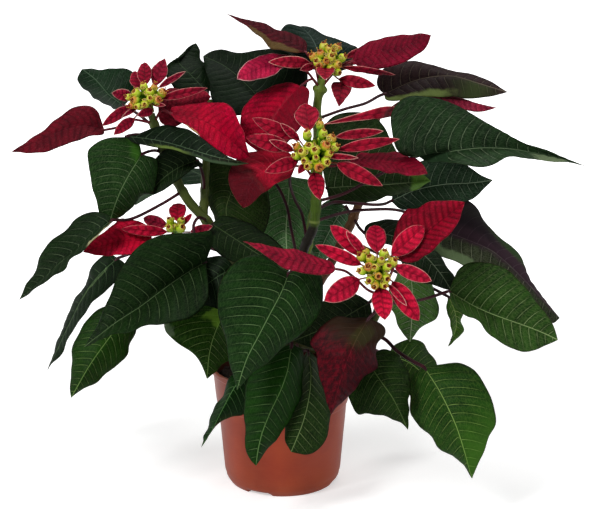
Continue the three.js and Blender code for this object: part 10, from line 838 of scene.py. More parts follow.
# ------------------------------------------------------------------ pot and soil
FOOT_GAPS = (-25.5, 78.5, 168.0, 258.0)   # degrees from the front towards +X
def pot_piece(mats):
    b = Build(); n = 144
    prof = [(44.6, 4.4), (46.4, 4.9), (47.4, 6.3), (48.2, 10), (49.6, 26), (51.0, 42), (52.4, 57), (53.3, 67.5), (53.7, 70.0), (54.3, 71.2), (55.0, 72.6), (55.6, 80), (56.4, 88.5), (57.2, 96.4), (57.6, 99.0), (57.9, 101.0), (58.2, 101.9), (58.7, 102.35),
            (59.4, 102.4), (59.95, 101.95), (60.25, 101.0), (60.32, 99.6), (60.25, 98.2), (59.9, 97.35), (59.2, 97.0), (58.75, 96.5), (58.6, 95.6), (58.1, 90.0), (57.3, 82.0), (56.5, 75.0), (56.1, 72.0), (55.75, 71.2), (55.2, 70.5), (54.9, 69.6), (54.75, 68.0), (53.8, 57), (52.4, 42), (51.0, 26), (49.9, 13), (49.6, 10.6), (49.3, 9.5), (48.8, 8.0), (48.5, 6.0), (47.6, 4.2), (46.2, 2.0), (45.2, .5), (44.5, 0.0), (43.6, 0.0), (42.4, 0.0), (41.4, .05), (41.1, .6), (40.6, 2.2), (40.1, 3.0)]
    th = np.linspace(0, 2*math.pi, n, endpoint=False)
    deg = (np.degrees(th)) % 360    # 0 at the front, towards +X
    V = []
    for r, z in prof:
        zz = np.full(n, float(z))
        if z < 6.2 and r > 39.9 and len(V) > 40*n:
            for g0 in FOOT_GAPS:
                d = np.abs((deg - g0 + 180) % 360 - 180); k = 1 - sstep(d, 11.8, 14.2); top = 2.95 if r < 46.8 else 3.4
                zz = np.where(z < top, zz + (top - zz)*k, zz)
        rr = r + .07*np.sin(3*th + .5)*(z > 60) + .05*np.sin(5*th + z*.05)
        V += list(np.stack([rr*np.sin(th), -rr*np.cos(th), zz], -1))
    m = len(prof); F = []
    for i in range(m - 1):
        for j in range(n):
            j2 = (j + 1) % n; F.append((i*n + j, i*n + j2, (i + 1)*n + j2, (i + 1)*n + j))
    A = np.repeat(np.arange(m), n)
    # floor with its drainage holes, above and below
    hn = 24; holes = []
    for i in range(6):
        a = 2*math.pi*(i + .25)/6; c = np.array([31*math.cos(a), 31*math.sin(a)])
        t = np.linspace(0, 2*math.pi, hn, endpoint=False); holes.append(np.stack([c[0] + 3.5*np.cos(t), c[1] + 3.5*np.sin(t)], -1))
    for ring, z, flip in ((0, 4.4, False), (m - 1, 3.0, True)):
        outer = [Vector(V[ring*n + j]) for j in range(n)]; loops = [[Vector((p[0], p[1], z)) for p in outer]]; ids = [[ring*n + j for j in range(n)]]
        for h in holes:
            k = len(V); V += [np.array([x, y, z]) for x, y in h]; loops.append([Vector((x, y, z)) for x, y in h]); ids.append(list(range(k, k + hn)))
        flat = [i for l in ids for i in l]
        from mathutils.geometry import tessellate_polygon
        for t3 in tessellate_polygon(loops):
            q = [flat[i] for i in t3]; P = [np.array(V[i]) for i in q]
            up = np.cross(P[1] - P[0], P[2] - P[0])[2]
            if (up < 0) != flip: q = q[::-1]
            F.append(tuple(q))
    k1 = m*n; k2 = m*n + 6*hn
    for h in range(6):
        for j in range(hn):
            j2 = (j + 1) % hn; F.append((k1 + h*hn + j, k1 + h*hn + j2, k2 + h*hn + j2, k2 + h*hn + j))
    b.add(np.array(V), F, 0)
    # the wall's inside takes the second, darker copy of the pot material: painted shade inside the pot
    if len(mats) > 1:      # the wall's inside
        for q in range(13*n): b.m[len(b.m) - len(F) + q] = 1
    return b.make("Pot", mats, ["pot"])

def lump(b, c, r, rs, mat, squash=.7):
    """a rough crumb: a rounded eight-sided lump with dents"""
    q = rs.uniform(.72, 1.25, (6, 8)); ax = Matrix.Rotation(rs.uniform(0, 6.28), 3, Vector(rs.normal(size=3)).normalized()); ax = np.array(ax)
    V = []
    for i, ph in enumerate(np.linspace(.45, math.pi - .45, 5)):
        for j in range(8):
            a = 2*math.pi*j/8 + i*.4; V.append([math.sin(ph)*math.cos(a)*q[i, j], math.sin(ph)*math.sin(a)*q[i, j], math.cos(ph)*q[i, j]])
    V += [[0, 0, 1.0], [0, 0, -1.0]]; V = np.array(V)*r; V = V @ ax.T; V[:, 2] *= squash; V += c
    F = []
    for i in range(4):
        for j in range(8):
            j2 = (j + 1) % 8; F.append((i*8 + j, (i + 1)*8 + j, (i + 1)*8 + j2, i*8 + j2))
    F += [(40, j, (j + 1) % 8) for j in range(8)] + [(41, 32 + (j + 1) % 8, 32 + j) for j in range(8)]
    b.add(V, F, mat)

def soil_piece(mats):
    b = Build(); rs = np.random.default_rng(21); n = 120
    r_in = 6.9; radii = list(np.linspace(r_in, 55.2, 44)); th = np.linspace(0, 2*math.pi, n, endpoint=False)
    amp = [(rs.uniform(.05, .9), rs.uniform(-1, 1, 2), rs.uniform(0, 6.28)) for _ in range(46)]
    def top(x, y, r):
        z = 91.0 + 2.2*(1 - np.clip(r/56, 0, 1)**1.5) + 1.3*np.exp(-((r - 7)/4.0)**2)
        for f, dr, p in amp: z = z + (.16/(f**.55))*np.sin(f*(x*dr[0] + y*dr[1])*1.7 + p)
        return z - 1.2*sstep(r, 52, 55.5)
    V = []
    for r in radii:
        x, y = r*np.sin(th), -r*np.cos(th); V += list(np.stack([x, y, top(x, y, r)], -1))
    k = len(radii)
    for r, z in ((55.3, 88.0), (54.2, 72.0), (52.7, 69.0), (47.7, 10), (44.2, 5.0)):
        V += list(np.stack([r*np.sin(th), -r*np.cos(th), np.full(n, z)], -1)); k += 1
    V += list(np.stack([r_in*np.sin(th), -r_in*np.cos(th), np.full(n, 5.0)], -1)); k += 1
    V = np.array(V); F = []
    for i in range(k - 1):
        for j in range(n):
            j2 = (j + 1) % n; F.append((i*n + j, (i + 1)*n + j, (i + 1)*n + j2, i*n + j2))
    for j in range(n):       # bore wall back up to the first ring
        j2 = (j + 1) % n; F.append(((k - 1)*n + j, j, j2, (k - 1)*n + j2))
    b.add(V, F, 0)
    for q in range(620):
        r = math.sqrt(rs.uniform(9.0**2, 54**2)); a = rs.uniform(0, 6.28); x, y = r*math.sin(a), -r*math.cos(a); R_ = rs.choice([.6, .8, 1.0, 1.4, 2.1], p=[.3, .3, .22, .13, .05])*rs.uniform(.8, 1.2)
        lump(b, np.array([x, y, top(x, y, r) + R_*.15]), R_, rs, 0 if rs.random() < .9 else 1)
    for q in range(46):      # fibres lying on the surface
        r = math.sqrt(rs.uniform(9**2, 50**2)); a = rs.uniform(0, 6.28); x, y = r*math.sin(a), -r*math.cos(a); d = rs.uniform(0, 6.28); ln = rs.uniform(4, 11); pts = []
        for t in np.linspace(-.5, .5, 4):
            px = x + math.cos(d)*ln*t + rs.uniform(-.5, .5); py = y + math.sin(d)*ln*t + rs.uniform(-.5, .5); rr = math.hypot(px, py)
            pts.append([px, py, top(px, py, rr) + .55])
        if max(math.hypot(p[0], p[1]) for p in pts) < 54 and min(math.hypot(p[0], p[1]) for p in pts) > 8.5:
            tube(b, spline(pts, 10), np.linspace(.34, .16, 10), 6, 2)
    return b.make("Soil", mats, ["soil"])

# ------------------------------------------------------------------ the plant
PET_LEAF = stalk_material("petiole_burgundy", (62, 16, 28), (38, 12, 20), (98, 34, 42), .38)
PET_GREEN = stalk_material("petiole_green_red", (84, 98, 38), (92, 30, 34), (118, 116, 62), .42, k=-.5)
PET_BRACT = stalk_material("petiole_bract", (112, 18, 34), (78, 14, 28), (150, 60, 54), .42)

# name: dark, mid, vein, underside, options of the material, options of the blade
G_DARK = dict(dark=(20, 38, 20), mid=(38, 66, 32), vein=(140, 162, 122), under=(96, 122, 84))
LOOK = {}
def look(names, **k):
    for n in names.split(): LOOK.setdefault(n, {}).update(k)
# how each piece is toned down or up against the table colours, (red, green, blue): partly each piece's own colour,
# partly painted shade on pieces that sit in shade and painted light on pieces that sit in light
COLOUR_AND_SHADE_TONES = {
 "bract_center_left": (0.29, 0.24, 0.21), "bract_center_right": (0.49, 0.25, 0.55), "bract_left_back": (0.57, 1.11, 0.74),
 "bract_left_inner": (1.06, 0.1, 0.81), "bract_left_outer": (0.32, 0.48, 0.36), "bract_right_large": (0.62, 0.1, 0.46),
 "bract_right_long": (0.74, 0.83, 0.91), "bract_right_top": (0.72, 2.6, 1.54), "bract_small_left": (1.81, 0.85, 1.31),
 "bract_top_drooping": (0.96, 0.17, 0.76), "bract_top_left": (1.14, 1.62, 1.84), "bract_top_rear": (0.2, 0.38, 0.27),
 "bract_top_right": (0.42, 0.26, 0.54), "leaf_behind_maroon": (0.23, 0.25, 0.13), "leaf_center_behind": (0.61, 0.56, 0.45),
 "leaf_center_rear": (2.6, 2.6, 2.6), "leaf_center_right": (1.89, 1.91, 2.51), "leaf_front_large": (0.27, 0.43, 0.2),
 "leaf_left_folded": (0.13, 0.17, 0.17), "leaf_left_front": (0.22, 0.3, 0.17), "leaf_left_inner": (0.15, 0.21, 0.1),
 "leaf_left_lower": (0.17, 0.25, 0.1), "leaf_left_narrow": (0.1, 0.18, 0.1), "leaf_left_outer": (0.24, 0.27, 0.22),
 "leaf_left_shaded": (0.64, 0.84, 0.22), "leaf_left_upper": (0.46, 0.6, 0.36), "leaf_maroon": (0.1, 0.1, 0.1),
 "leaf_middle_lower": (0.1, 0.17, 0.1), "leaf_middle_rear": (0.51, 0.48, 0.23), "leaf_middle_upper": (0.16, 0.21, 0.1),
 "leaf_pot_front": (0.1, 0.18, 0.1), "leaf_pot_left": (0.12, 0.34, 0.1), "leaf_pot_right": (0.41, 0.45, 0.2),
 "leaf_rear_left": (0.3, 0.36, 0.44), "leaf_right_bottom": (0.52, 0.64, 0.26), "leaf_right_dark": (0.69, 0.69, 0.97),
 "leaf_right_hanging": (1.1, 0.84, 1.69), "leaf_right_inner": (0.37, 0.33, 0.41), "leaf_right_lower": (0.29, 0.36, 0.12),
 "leaf_right_middle": (0.88, 0.92, 0.48), "leaf_right_purple": (1.26, 1.01, 1.1), "leaf_right_round": (0.38, 0.52, 0.11),
 "leaf_right_small": (0.55, 0.56, 0.22), "leaf_right_upper": (0.57, 0.58, 0.61), "leaf_top_curled": (0.1, 0.15, 0.1),
 "leaf_top_left": (0.24, 0.33, 0.37), "leaf_top_middle": (0.1, 0.12, 0.12), "leaf_top_rear": (0.19, 0.22, 0.45),
 "leaf_top_right": (0.68, 0.5, 0.49),
}

look("leaf_left_lower leaf_pot_front leaf_right_hanging leaf_right_small", dark=(34, 66, 20), mid=(58, 104, 28), vein=(160, 186, 124))
look("leaf_right_bottom", dark=(24, 50, 28), mid=(42, 78, 36), vein=(150, 176, 112))
look("leaf_maroon", dark=(62, 24, 28), mid=(92, 44, 36), vein=(176, 96, 84), under=(110, 70, 62))
look("leaf_top_right", dark=(30, 22, 26), mid=(46, 36, 38), vein=(112, 108, 92), under=(128, 142, 104))
look("leaf_right_purple", dark=(22, 30, 20), mid=(38, 50, 30), vein=(120, 132, 104), under=(128, 142, 104))
# folded margins, young tissue and patches: colour, from/to along the blade, from/to across it (+1 left margin, -1 right margin), strength, softness
look("leaf_right_upper", under=(44, 68, 42))
def tweak(names, **m):
    for n in names.split(): look(n, mat={**LOOK.get(n, {}).get("mat", {}), **m})
def zone(name, *z): look(name, mat={**LOOK.get(name, {}).get("mat", {}), "zones": list(z)})
zone("leaf_top_right", ((146, 168, 92), .02, .54, -1.3, -.70, .95, .07), ((66, 88, 42), .60, .86, -1.3, -.05, .6, .14))
zone("leaf_right_purple", ((60, 40, 52), -.2, 1.2, -.10, .66, .92, .10), ((34, 28, 32), -.2, .45, .30, 1.3, .85, .10), ((112, 134, 92), .04, .46, -1.3, -.66, .92, .04), ((48, 74, 38), .46, 1.1, .70, 1.3, .8, .06))
zone("leaf_maroon", ((60, 44, 28), -.2, .34, -1.3, 1.3, .70, .12), ((66, 70, 28), .10, .34, -.2, .5, .45, .08), ((118, 8, 28), .34, 1.2, -1.3, 1.3, .82, .09, .95), ((44, 12, 20), .36, 1.2, .20, 1.3, .50, .12))
zone("leaf_right_upper", ((118, 136, 98), .70, .88, -1.3, -.28, .9, .03))
zone("leaf_left_folded", ((112, 136, 60), .26, .50, -1.3, -.66, .85, .07), ((66, 92, 58), .56, 1.1, -1.3, -.62, .75, .08))
zone("leaf_left_upper", ((66, 118, 34), -.1, .17, -1.3, -.04, .85, .05))
zone("leaf_left_outer", ((206, 198, 150), .02, .30, .86, 1.3, .8, .03))
zone("leaf_left_shaded", ((132, 182, 58), .10, .36, -.44, -.02, .92, .03), ((116, 138, 104), .34, .60, -1.3, -.84, .7, .03))
zone("leaf_center_behind", ((104, 150, 56), .82, 1.1, -1.3, 1.3, .85, .03))
zone("leaf_right_bottom", ((76, 130, 34), .62, 1.1, -.02, 1.3, .62, .24))
zone("leaf_left_narrow", ((116, 146, 92), .12, .85, .02, .14, .40, .02))
zone("bract_top_rear", ((104, 82, 42), .10, .70, .52, 1.3, .9, .05))
# bract_center_left: a bright upper part as painted light and a dark tip as painted shade, with a thin pale margin line
# where it folds
zone("bract_center_left", ((214, 16, 52), .06, .52, -1.3, 1.3, .85, .09, .5), ((106, 16, 30), .60, 1.2, -1.3, 1.3, .70, .05, .35), ((150, 60, 62), .57, .62, -1.3, 1.3, .16, .012))
# bract_top_drooping: the right half darker as painted shade of the fold along the midrib, with a thin lighter line
# along the midrib
zone("bract_top_drooping", ((104, 10, 26), -.2, .80, .06, 1.3, .60, .08), ((170, 40, 56), -.2, .7, -.02, .05, .5, .02))
zone("bract_left_inner", ((120, 6, 26), -.2, .30, -1.3, 1.3, .30, .12), ((222, 186, 120), .22, .40, -1.3, -.90, .75, .012))
tweak("leaf_top_middle leaf_top_left leaf_top_rear leaf_top_curled leaf_middle_upper leaf_middle_lower leaf_left_inner leaf_middle_rear leaf_behind_maroon leaf_right_lower", vein_k=.42)
tweak("leaf_left_front leaf_left_upper leaf_left_narrow leaf_left_outer leaf_center_behind", vein_k=.66)
LOOK["leaf_maroon"]["mat"].update(midc=(168, 92, 92), edge=(120, 40, 40), vein_k=.55)
look("leaf_maroon", vein=(134, 58, 54), dark=(56, 16, 22), mid=(104, 26, 32))
look("bract_left_inner bract_top_drooping bract_center_left", pucker=.22, groove=.3)
tweak("bract_left_inner bract_top_drooping", vein_k=.20, band=.20)
tweak("bract_center_left", vein_k=.42, band=.50)
tweak("bract_left_outer bract_top_right bract_top_left bract_small_left bract_center_right bract_left_back", vein_k=.16, band=.22)
tweak("bract_right_large bract_right_long", vein_k=.22, band=.55)
# bract_top_left: its wide pale pink margin is partly the real pale margin, partly a painted sheen
tweak("bract_top_left", margin=(240, 176, 170), margin_w=.8, margin_k=.9)
look("bract_left_outer bract_top_right bract_right_large bract_small_left bract_top_left bract_center_right", pucker=.42)
look("bract_right_large bract_right_long", pucker=.62)
look("bract_left_back", pucker=.40)

FIX = {}
def shift(c, k):
    return tuple(min(255.0, x*k) for x in c)

def leaf_piece(name, seed):
    kind, head, rp, pet, M, L, R = BLADES[name]; rp = rp*.86
    length = np.linalg.norm(np.diff(np.array(M), axis=0), axis=1).sum()
    k = LOOK.get(name, {}); rs = np.random.default_rng(seed + 100)
    nv = k.get("veins", 8 + length/22.0)
    b = Build()
    if kind == "leaf":
        spacing = blade(b, TS, M, L, R, pet, rp, kind, seed, veins=nv, slope=k.get("slope", .13), pucker=k.get("pucker", .62), wave=k.get("wave", 1.1), arch=k.get("arch", .16), groove=.5, thick=.5)
        t = rs.uniform(.90, 1.10)
        tone(FIX.get(name, COLOUR_AND_SHADE_TONES.get(name)))
        m = leaf_material(name + "_leaf", spacing, shift(k.get("dark", G_DARK["dark"]), t), shift(k.get("mid", G_DARK["mid"]), t), k.get("vein", G_DARK["vein"]), k.get("under", G_DARK["under"]), seed*1.37 % 17, length=length, **k.get("mat", {})); tone()
        mats = [m, PET_GREEN if k.get("pet") == "green" else PET_LEAF]
    else:
        spacing = blade(b, TS, M, L, R, pet, rp, kind, seed, veins=nv + 1, slope=k.get("slope", .13), pucker=k.get("pucker", .80), wave=k.get("wave", 1.0), arch=k.get("arch", .14), groove=.55, thick=.45)
        tone(FIX.get(name, COLOUR_AND_SHADE_TONES.get(name)))
        m = bract_material(name + "_bract", spacing, k.get("deep", (112, 8, 30)), k.get("bright", (176, 16, 46)), k.get("vein", (70, 5, 22)), k.get("under", (150, 60, 66)), seed*1.37 % 17, length=length, **k.get("mat", {})); tone()
        mats = [m, PET_BRACT]
    node = HEADS[head][0] if head else "branch_right" if name == "bract_right_top" else name
    nice = "_".join(w.capitalize() for w in name.split("_"))
    return b.make(nice, mats, [node])

for i, nm in enumerate(BLADES):
    leaf_piece(nm, 11 + i*7)

# small bracts of each head, one object a head
# tones of the deep and bright small bracts of each head, (red, green, blue): each head's own colour together with
# painted shade and painted light from where the head sits
SM_COLOUR_AND_SHADE_TONE = {"A": ((.74, .62, .8), (.52, .62, .7)), "B": ((.62, .5, .62), (.66, .6, .66)), "C": ((1.0, .7, .9), (.68, .6, .68)), "D": ((1.65, .95, 1.4), (1.0, .75, .98)), "E": ((1.5, .9, 1.3), (.6, .7, .8))}
def small_mats(h):
    t0, t1 = SM_COLOUR_AND_SHADE_TONE[h]; tone(t0)
    m0 = bract_material("small_bract_deep_" + h, 3.0, (110, 8, 30), (160, 14, 42), (64, 5, 20), (140, 52, 60), 3.1, margin=(232, 150, 138), margin_w=.48, wide=(.60, .35), margin_k=.88, vein_k=.28, band=.55)
    tone(t1)
    m1 = bract_material("small_bract_bright_" + h, 3.0, (148, 10, 38), (200, 24, 56), (96, 6, 30), (168, 70, 76), 8.3, margin=(248, 184, 166), margin_w=.54, wide=(.60, .35), margin_k=.94, vein_k=.30, band=.55)
    tone(); return m0, m1
SM_STALK = stalk_material("small_bract_stalk", (116, 24, 34), (140, 50, 42), (170, 90, 70), .42)
HUB = plain_organic("flower_hub", (104, 120, 40), (140, 60, 44), .25, .5)
CUP = None
def cup_material(name, low, high, red):
    """cups: green below with painted shade at the foot, yellower above, blushed red with age; seen per cup through its
    own number
    """
    g = Mat(name); zz, sd, age = g.sep(g.attr("fl")); p = g.obj(1000.0)
    n1 = g.noise(p, .35, 3.0, .6); n2 = g.noise(p, 1.6, 3.0, .6)
    col = g.mix(g.step(g.add(zz, g.mul(n1, .3)), -.45, .50), lin(low), lin(high))
    # dark green at the foot of the cup, by the hub: painted shade
    col = g.mix(g.step(zz, -.55, -1.5), col, lin((40, 78, 8)))
    col = g.mix(g.mul(g.step(n2, .5, .8), .35), col, lin(tuple(min(255, c*1.15 + 20) for c in high)))
    blush = g.mul(g.step(g.add(zz, g.mul(n1, .5)), .10, .75), g.step(age, .35, .75))
    col = g.mix(blush, col, lin(red))
    return g.done(col, g.add(.34, g.mul(n2, .2)), g.add(n1, n2), .35, .0004, spec=.5)
CUP = cup_material("cyathium_green", (62, 120, 2), (178, 200, 30), (206, 80, 42))
MOUTH = plain_organic("cyathium_mouth", (168, 104, 40), (104, 36, 20), .8, .6)
def lip_material(name, young, old):
    """the frilled lip of a cup: cream when young, orange-red later"""
    g = Mat(name); zz, sd, age = g.sep(g.attr("fl")); p = g.obj(1000.0); n2 = g.noise(p, 1.1, 3.0, .6)
    col = g.mix(g.step(g.add(age, g.mul(g.math("SUBTRACT", n2, .5), .9)), .45, .95), lin(young), lin(old))
    return g.done(col, g.add(.36, g.mul(n2, .2)), n2, .35, .0003, spec=.35)
LIP = lip_material("cyathium_lip", (204, 192, 80), (172, 60, 36))
def gland_material(name, body, lip):
    g = Mat(name); zz, sd, age = g.sep(g.attr("fl")); p = g.obj(1000.0); n2 = g.noise(p, .9, 3.0, .6)
    col = g.mix(g.step(g.add(n2, g.mul(age, .25)), .4, .7), lin(body), lin(lip))
    return g.done(col, g.add(.26, g.mul(n2, .2)), n2, .25, .0003, spec=.55)
GLAND = gland_material("gland_lip", (156, 146, 22), (204, 186, 70))
GLAND_IN = plain_organic("gland_inside", (120, 96, 24), (150, 118, 40), .9, .35, spec=.6)
FILAMENT = plain_organic("stamen_filament", (150, 26, 28), (188, 60, 40), .8, .5)
ANTHER = plain_organic("anther", (196, 160, 50), (140, 60, 30), .9, .6)

CUP_SLOT = 0
def bud(b, hub, p, r, ln, age, slot, seed=0):
    """a closed young bud on its stalk, low between the open cups"""
    d = unit(p - hub); u = unit(np.array([1.0, 0, 0]) - d*d[0]); w = np.cross(d, u); N = 12
    rings = [ring_of(hub + d*.8, u, w, r*.7, N), ring_of(hub + (p - hub)*.55, u, w, r*.55, N)]
    for z_, r_ in ((-.45, .62), (-.22, .98), (.02, 1.06), (.24, .86), (.38, .50), (.46, .20)): rings.append(ring_of(p + d*ln*z_, u, w, r*r_, N, 0, 5, .05))
    V = np.vstack(rings + [hub + d*.4, p + d*ln*.49]); F = grid_faces(len(rings), N, True)
    F += [(len(V) - 2, (j + 1) % N, j) for j in range(N)]; k = (len(rings) - 1)*N; F += [(len(V) - 1, k + j, k + (j + 1) % N) for j in range(N)]
    zz = ((V - p) @ d)/ln; b.add(V, F, slot, np.stack([zz, np.full(len(V), seed % 11.0), np.full(len(V), age)], -1))

HEAD_AGE = {"A": .50, "B": .55, "C": .45, "D": .40, "E": .20}
for hi, (key, (node, hub, stalk, sr, cups)) in enumerate(HEADS.items()):
    b = Build(); hub = np.array(hub, float)
    for j, (nm, hd, M, L, R) in enumerate(SMALL):
        if hd != key: continue
        k = LOOK.get(nm, {})
        M0 = np.array(M[0], float); pet = [hub + unit(M0 - hub)*1.0, hub + (M0 - hub)*.55, M0]
        blade(b, TS_SMALL, M, L, R, pet, .62, "bract", 300 + j*5, mat_blade=1 if k.get("bright", j % 2) else 0, mat_pet=2, veins=k.get("veins", 5.4), slope=.16, pucker=.95, wave=1.5, arch=.16, groove=.35, thick=.42, dt=1.1, dc=1.15)
    b.make("Small_Bracts_" + key, list(small_mats(key)) + [SM_STALK], [node])
    b = Build()
    # hub: where the stalk swells and everything leaves
    st = spline([tuple(p) for p in stalk], 14 if key != "E" else 44)
    line = np.vstack([st, hub + unit(st[-1] - st[-3])*1.2, hub + unit(st[-1] - st[-3])*2.0]) if key != "Q" else st
    rad = np.concatenate([np.linspace(sr, sr*1.02, len(st) - 4), [sr*1.08, sr*1.16, sr*1.14, sr*1.0], [sr*.72, sr*.30]])
    tube(b, line, rad, 22, 0, lambda a, s_: 1 + .03*np.cos(3*a + s_*.2), seed=hi)
    b.make("Head_Stalk_" + key, [stem_material("stalk_" + key, (84, 116, 30), (110, 146, 36), hub[2] - 40, hub[2])], [node])
    b = Build(); rs = np.random.default_rng(77 + hi)
    for j, c in enumerate(cups):
        age = float(np.clip(HEAD_AGE[key] + rs.uniform(-.35, .35), 0, 1))
        cyathium(b, hub, c, 900 + hi*40 + j, 3.55*rs.uniform(.82, 1.14), 8.4*rs.uniform(.88, 1.12), age, (0, 1, 2, 3, 4, 5, 6))
    P_ = np.array([c for c in cups], float)
    for i_ in range(len(P_)):
        dd = np.linalg.norm(P_ - P_[i_], axis=1); near_ = np.argsort(dd)[1:4]
        for j_ in near_:
            if dd[j_] > 17 or (j_ < i_ and i_ in np.argsort(np.linalg.norm(P_ - P_[j_], axis=1))[1:4]): continue
            f_ = rs.uniform(.38, .62); q_ = P_[i_]*(1 - f_) + P_[j_]*f_; vd = q_ - hub; ln_ = np.linalg.norm(vd)
            if ln_ < 6: continue
            bud(b, hub, hub + vd*rs.uniform(.60, .80), rs.uniform(1.5, 2.5), rs.uniform(4.2, 6.4), float(rs.uniform(0, .5)), CUP_SLOT, seed=j_ + i_*7)
    b.make("Cyathia_" + key, [CUP, MOUTH, GLAND, GLAND_IN, FILAMENT, ANTHER, LIP], [node])

# stems
STEM_LOOK = {
 "main_stem": ((96, 82, 48), (124, 142, 62), 80, 230),
 "branch_left": ((78, 84, 34), (110, 130, 50), 140, 300),
 "branch_left_fork": ((104, 112, 46), (130, 110, 56), 220, 320),
 # branch_center is near-black brown below about 230 mm: its brown bark darkened further as painted shade
 "branch_center": ((40, 32, 26), (92, 124, 34), 228, 240),
 "branch_front": ((58, 62, 26), (88, 104, 38), 130, 200),
 "branch_right": ((104, 62, 42), (124, 86, 52), 140, 300),
}
for i, (nm, (pts, rad)) in enumerate(STEMS.items()):
    if nm == "branch_left_fork": continue
    b = Build(); lo, hi_, z0, z1 = STEM_LOOK[nm]; rg = [(237.5, 1.5, (140, 158, 88))] if nm == "branch_center" else None
    # the tone darkens each stem's colours: partly the stem's own colour, partly painted shade
    tone({"branch_left": (.46, .45, .44), "branch_center": (.58, .58, .42), "main_stem": (.74, .82, .54), "branch_front": (.78, .74, .66)}.get(nm))
    mats = [stem_material(nm + "_bark", lo, hi_, z0, z1, rg)]; tone()
    stem_tube(b, pts, rad, 0, 5 + i, 26.0)
    if nm == "branch_left":
        stem_tube(b, STEMS["branch_left_fork"][0], STEMS["branch_left_fork"][1], 0, 31, 24.0)
    b.make("Stem_" + nm.replace("_", " ").title().replace(" ", "_"), mats, [nm])

# pot and soil
def pot_material(name, k=1.0):
    """thin moulded brown plastic: even colour with faint flow lines round it, dust low down and a painted highlight
    round the top of the rim
    """
    g = Mat(name); p = g.obj(1000.0); px, py, pz = g.sep(p)
    n1 = g.noise(p, .035, 3.0, .5); n2 = g.noise(g.comb(px, py, g.mul(pz, 6.0)), .12, 3.0, .6); n3 = g.noise(p, 1.6, 4.0, .7); n4 = g.noise(p, .4, 4.0, .6)
    col = g.mix(g.step(n1, .3, .7), lin((140*k, 41*k, 5*k)), lin((153*k, 52*k, 10*k)))
    col = g.mix(g.mul(g.step(n2, .45, .75), .22), col, lin((160*k, 68*k, 30*k)))
    dust = g.mul(g.step(g.add(pz, g.mul(n4, 30.0)), 44.0, 8.0), .26)
    col = g.mix(dust, col, lin((152, 84, 46)))
    col = g.mix(g.mul(g.step(n4, .60, .74), .22), col, lin((120, 52, 34)))
    # paler band round the top of the rim: painted highlight on the lip
    rim = g.mul(g.step(pz, 100.6, 102.2), .35); col = g.mix(rim, col, lin((188, 122, 92)))
    ro = g.add(g.add(.27, g.mul(n3, .12)), g.mul(dust, .4))
    ht = g.add(g.mul(n3, .35), g.add(g.mul(n2, .5), g.mul(n4, .4)))
    return g.done(col, ro, ht, .18, .0004, spec=.42)

def soil_material(name, c1, c2, c3):
    g = Mat(name); p = g.obj(1000.0); n1 = g.noise(p, .18, 5.0, .7); n2 = g.noise(p, 1.4, 5.0, .75); v = g.voro(p, .9, "F1")
    col = g.mix(g.step(n1, .3, .7), lin(c1), lin(c2)); col = g.mix(g.mul(g.step(n2, .55, .75), .7), col, lin(c3))
    return g.done(col, g.add(.82, g.mul(n2, .15)), g.add(g.mul(n2, 1.0), g.mul(v, .6)), .9, .0012, spec=.2)

# the second, darker copy of the pot material is for the wall's inside: painted shade
pot_piece([pot_material("moulded_pot"), pot_material("moulded_pot_inside_painted_shade", .42)])
soil_piece([soil_material("peat", (20, 13, 9), (38, 26, 18), (70, 50, 36)), soil_material("bark_crumb", (84, 54, 34), (62, 40, 26), (104, 72, 48)), plain_organic("root_fibre", (112, 84, 56), (76, 54, 36), .5, .8)])

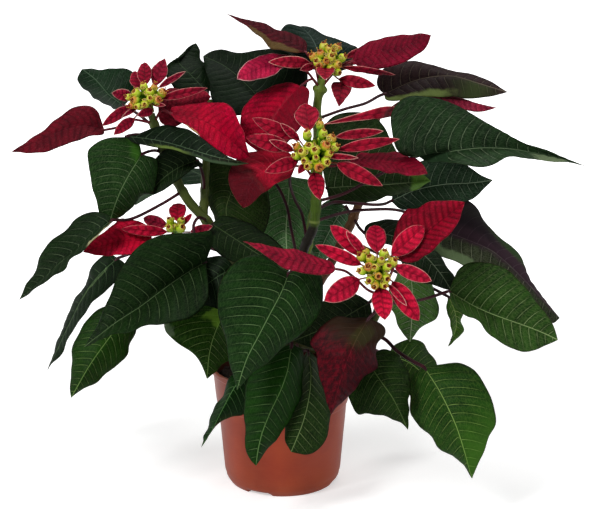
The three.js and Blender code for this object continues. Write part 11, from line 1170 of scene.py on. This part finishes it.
# ------------------------------------------------------------------ floor, light, camera
def floor():
    me = bpy.data.meshes.new("Floor"); n = 24; S = 6.0; V = []; F = []
    for i in range(n + 1):
        for j in range(n + 1): V.append((-S + 2*S*j/n, -S + 2*S*i/n, 0))
    for i in range(n):
        for j in range(n): a = i*(n + 1) + j; F.append((a, a + 1, a + n + 2, a + n + 1))
    me.from_pydata(V, [], F); o = bpy.data.objects.new("Floor", me); bpy.context.scene.collection.objects.link(o)
    g = Mat("pale_floor"); p = g.obj(1.0); n1 = g.noise(p, 3.0, 3.0, .5)
    m = g.done(g.mix(n1, lin((226, 226, 226)), lin((230, 230, 230))), g.add(.75, g.mul(n1, .1)), spec=.05)
    fx, fy, fz = g.sep(p); d = g.math("SQRT", g.add(g.mul(fx, fx), g.mul(fy, fy)))
    lpn = g.t.nodes.new("ShaderNodeLightPath"); seen = g.add(.50, g.step(d, .35, 1.3, 0.0, .9))      # the pale studio floor runs out into white
    g.bs.inputs["Emission Color"].default_value = (1, 1, 1, 1); g.put(g.bs.inputs["Emission Strength"], g.fmix(lpn.outputs["Is Camera Ray"], .12, seen))
    me.materials.append(m)
floor()
W = bpy.data.worlds.new("Studio"); bpy.context.scene.world = W; W.use_nodes = True
wt = W.node_tree; bg = wt.nodes["Background"]; bg.inputs[0].default_value = (1, 1, 1, 1)
lp = wt.nodes.new("ShaderNodeLightPath"); st_ = wt.nodes.new("ShaderNodeMix"); st_.data_type = "FLOAT"      # white behind the plant, dim all round it
st_.inputs[2].default_value = .17; st_.inputs[3].default_value = 1.0
wt.links.new(lp.outputs["Is Camera Ray"], st_.inputs[0]); wt.links.new(st_.outputs[0], bg.inputs[1])
def area(name, loc, target, size, power, col=(1, 1, 1)):
    d = bpy.data.lights.new(name, "AREA"); d.size = size; d.energy = power; d.color = col
    o = bpy.data.objects.new(name, d); bpy.context.scene.collection.objects.link(o); o.location = loc
    o.rotation_euler = (Vector(target) - Vector(loc)).to_track_quat("-Z", "Y").to_euler()
area("Key", (-1.1, -1.4, 1.7), (0, 0, .2), .7, 38)
area("Fill", (1.7, -1.3, .8), (0, 0, .2), 1.0, 10)
area("Top", (.3, .5, 1.9), (0, 0, .25), .9, 15)
area("Tent_Left", (-1.5, .25, .35), (0, 0, .15), .8, 4)
area("Tent_Right", (1.5, .25, .35), (0, 0, .15), .8, 4)

cd = bpy.data.cameras.new("Camera"); cd.lens = 103.8; cd.sensor_width = 36.0; cd.sensor_fit = "HORIZONTAL"; cd.clip_end = 30
co = bpy.data.objects.new("Camera", cd); bpy.context.scene.collection.objects.link(co)
co.location = (.015, -1.4, .566); co.rotation_euler = (math.radians(90 - 14.7), 0, 0)
bpy.context.scene.camera = co
bpy.context.scene.view_settings.view_transform = "Standard"; bpy.context.scene.view_settings.look = "None"
bpy.context.scene.view_settings.exposure = 0.0; bpy.context.scene.view_settings.gamma = 1.0

bpy.context.view_layer.update()
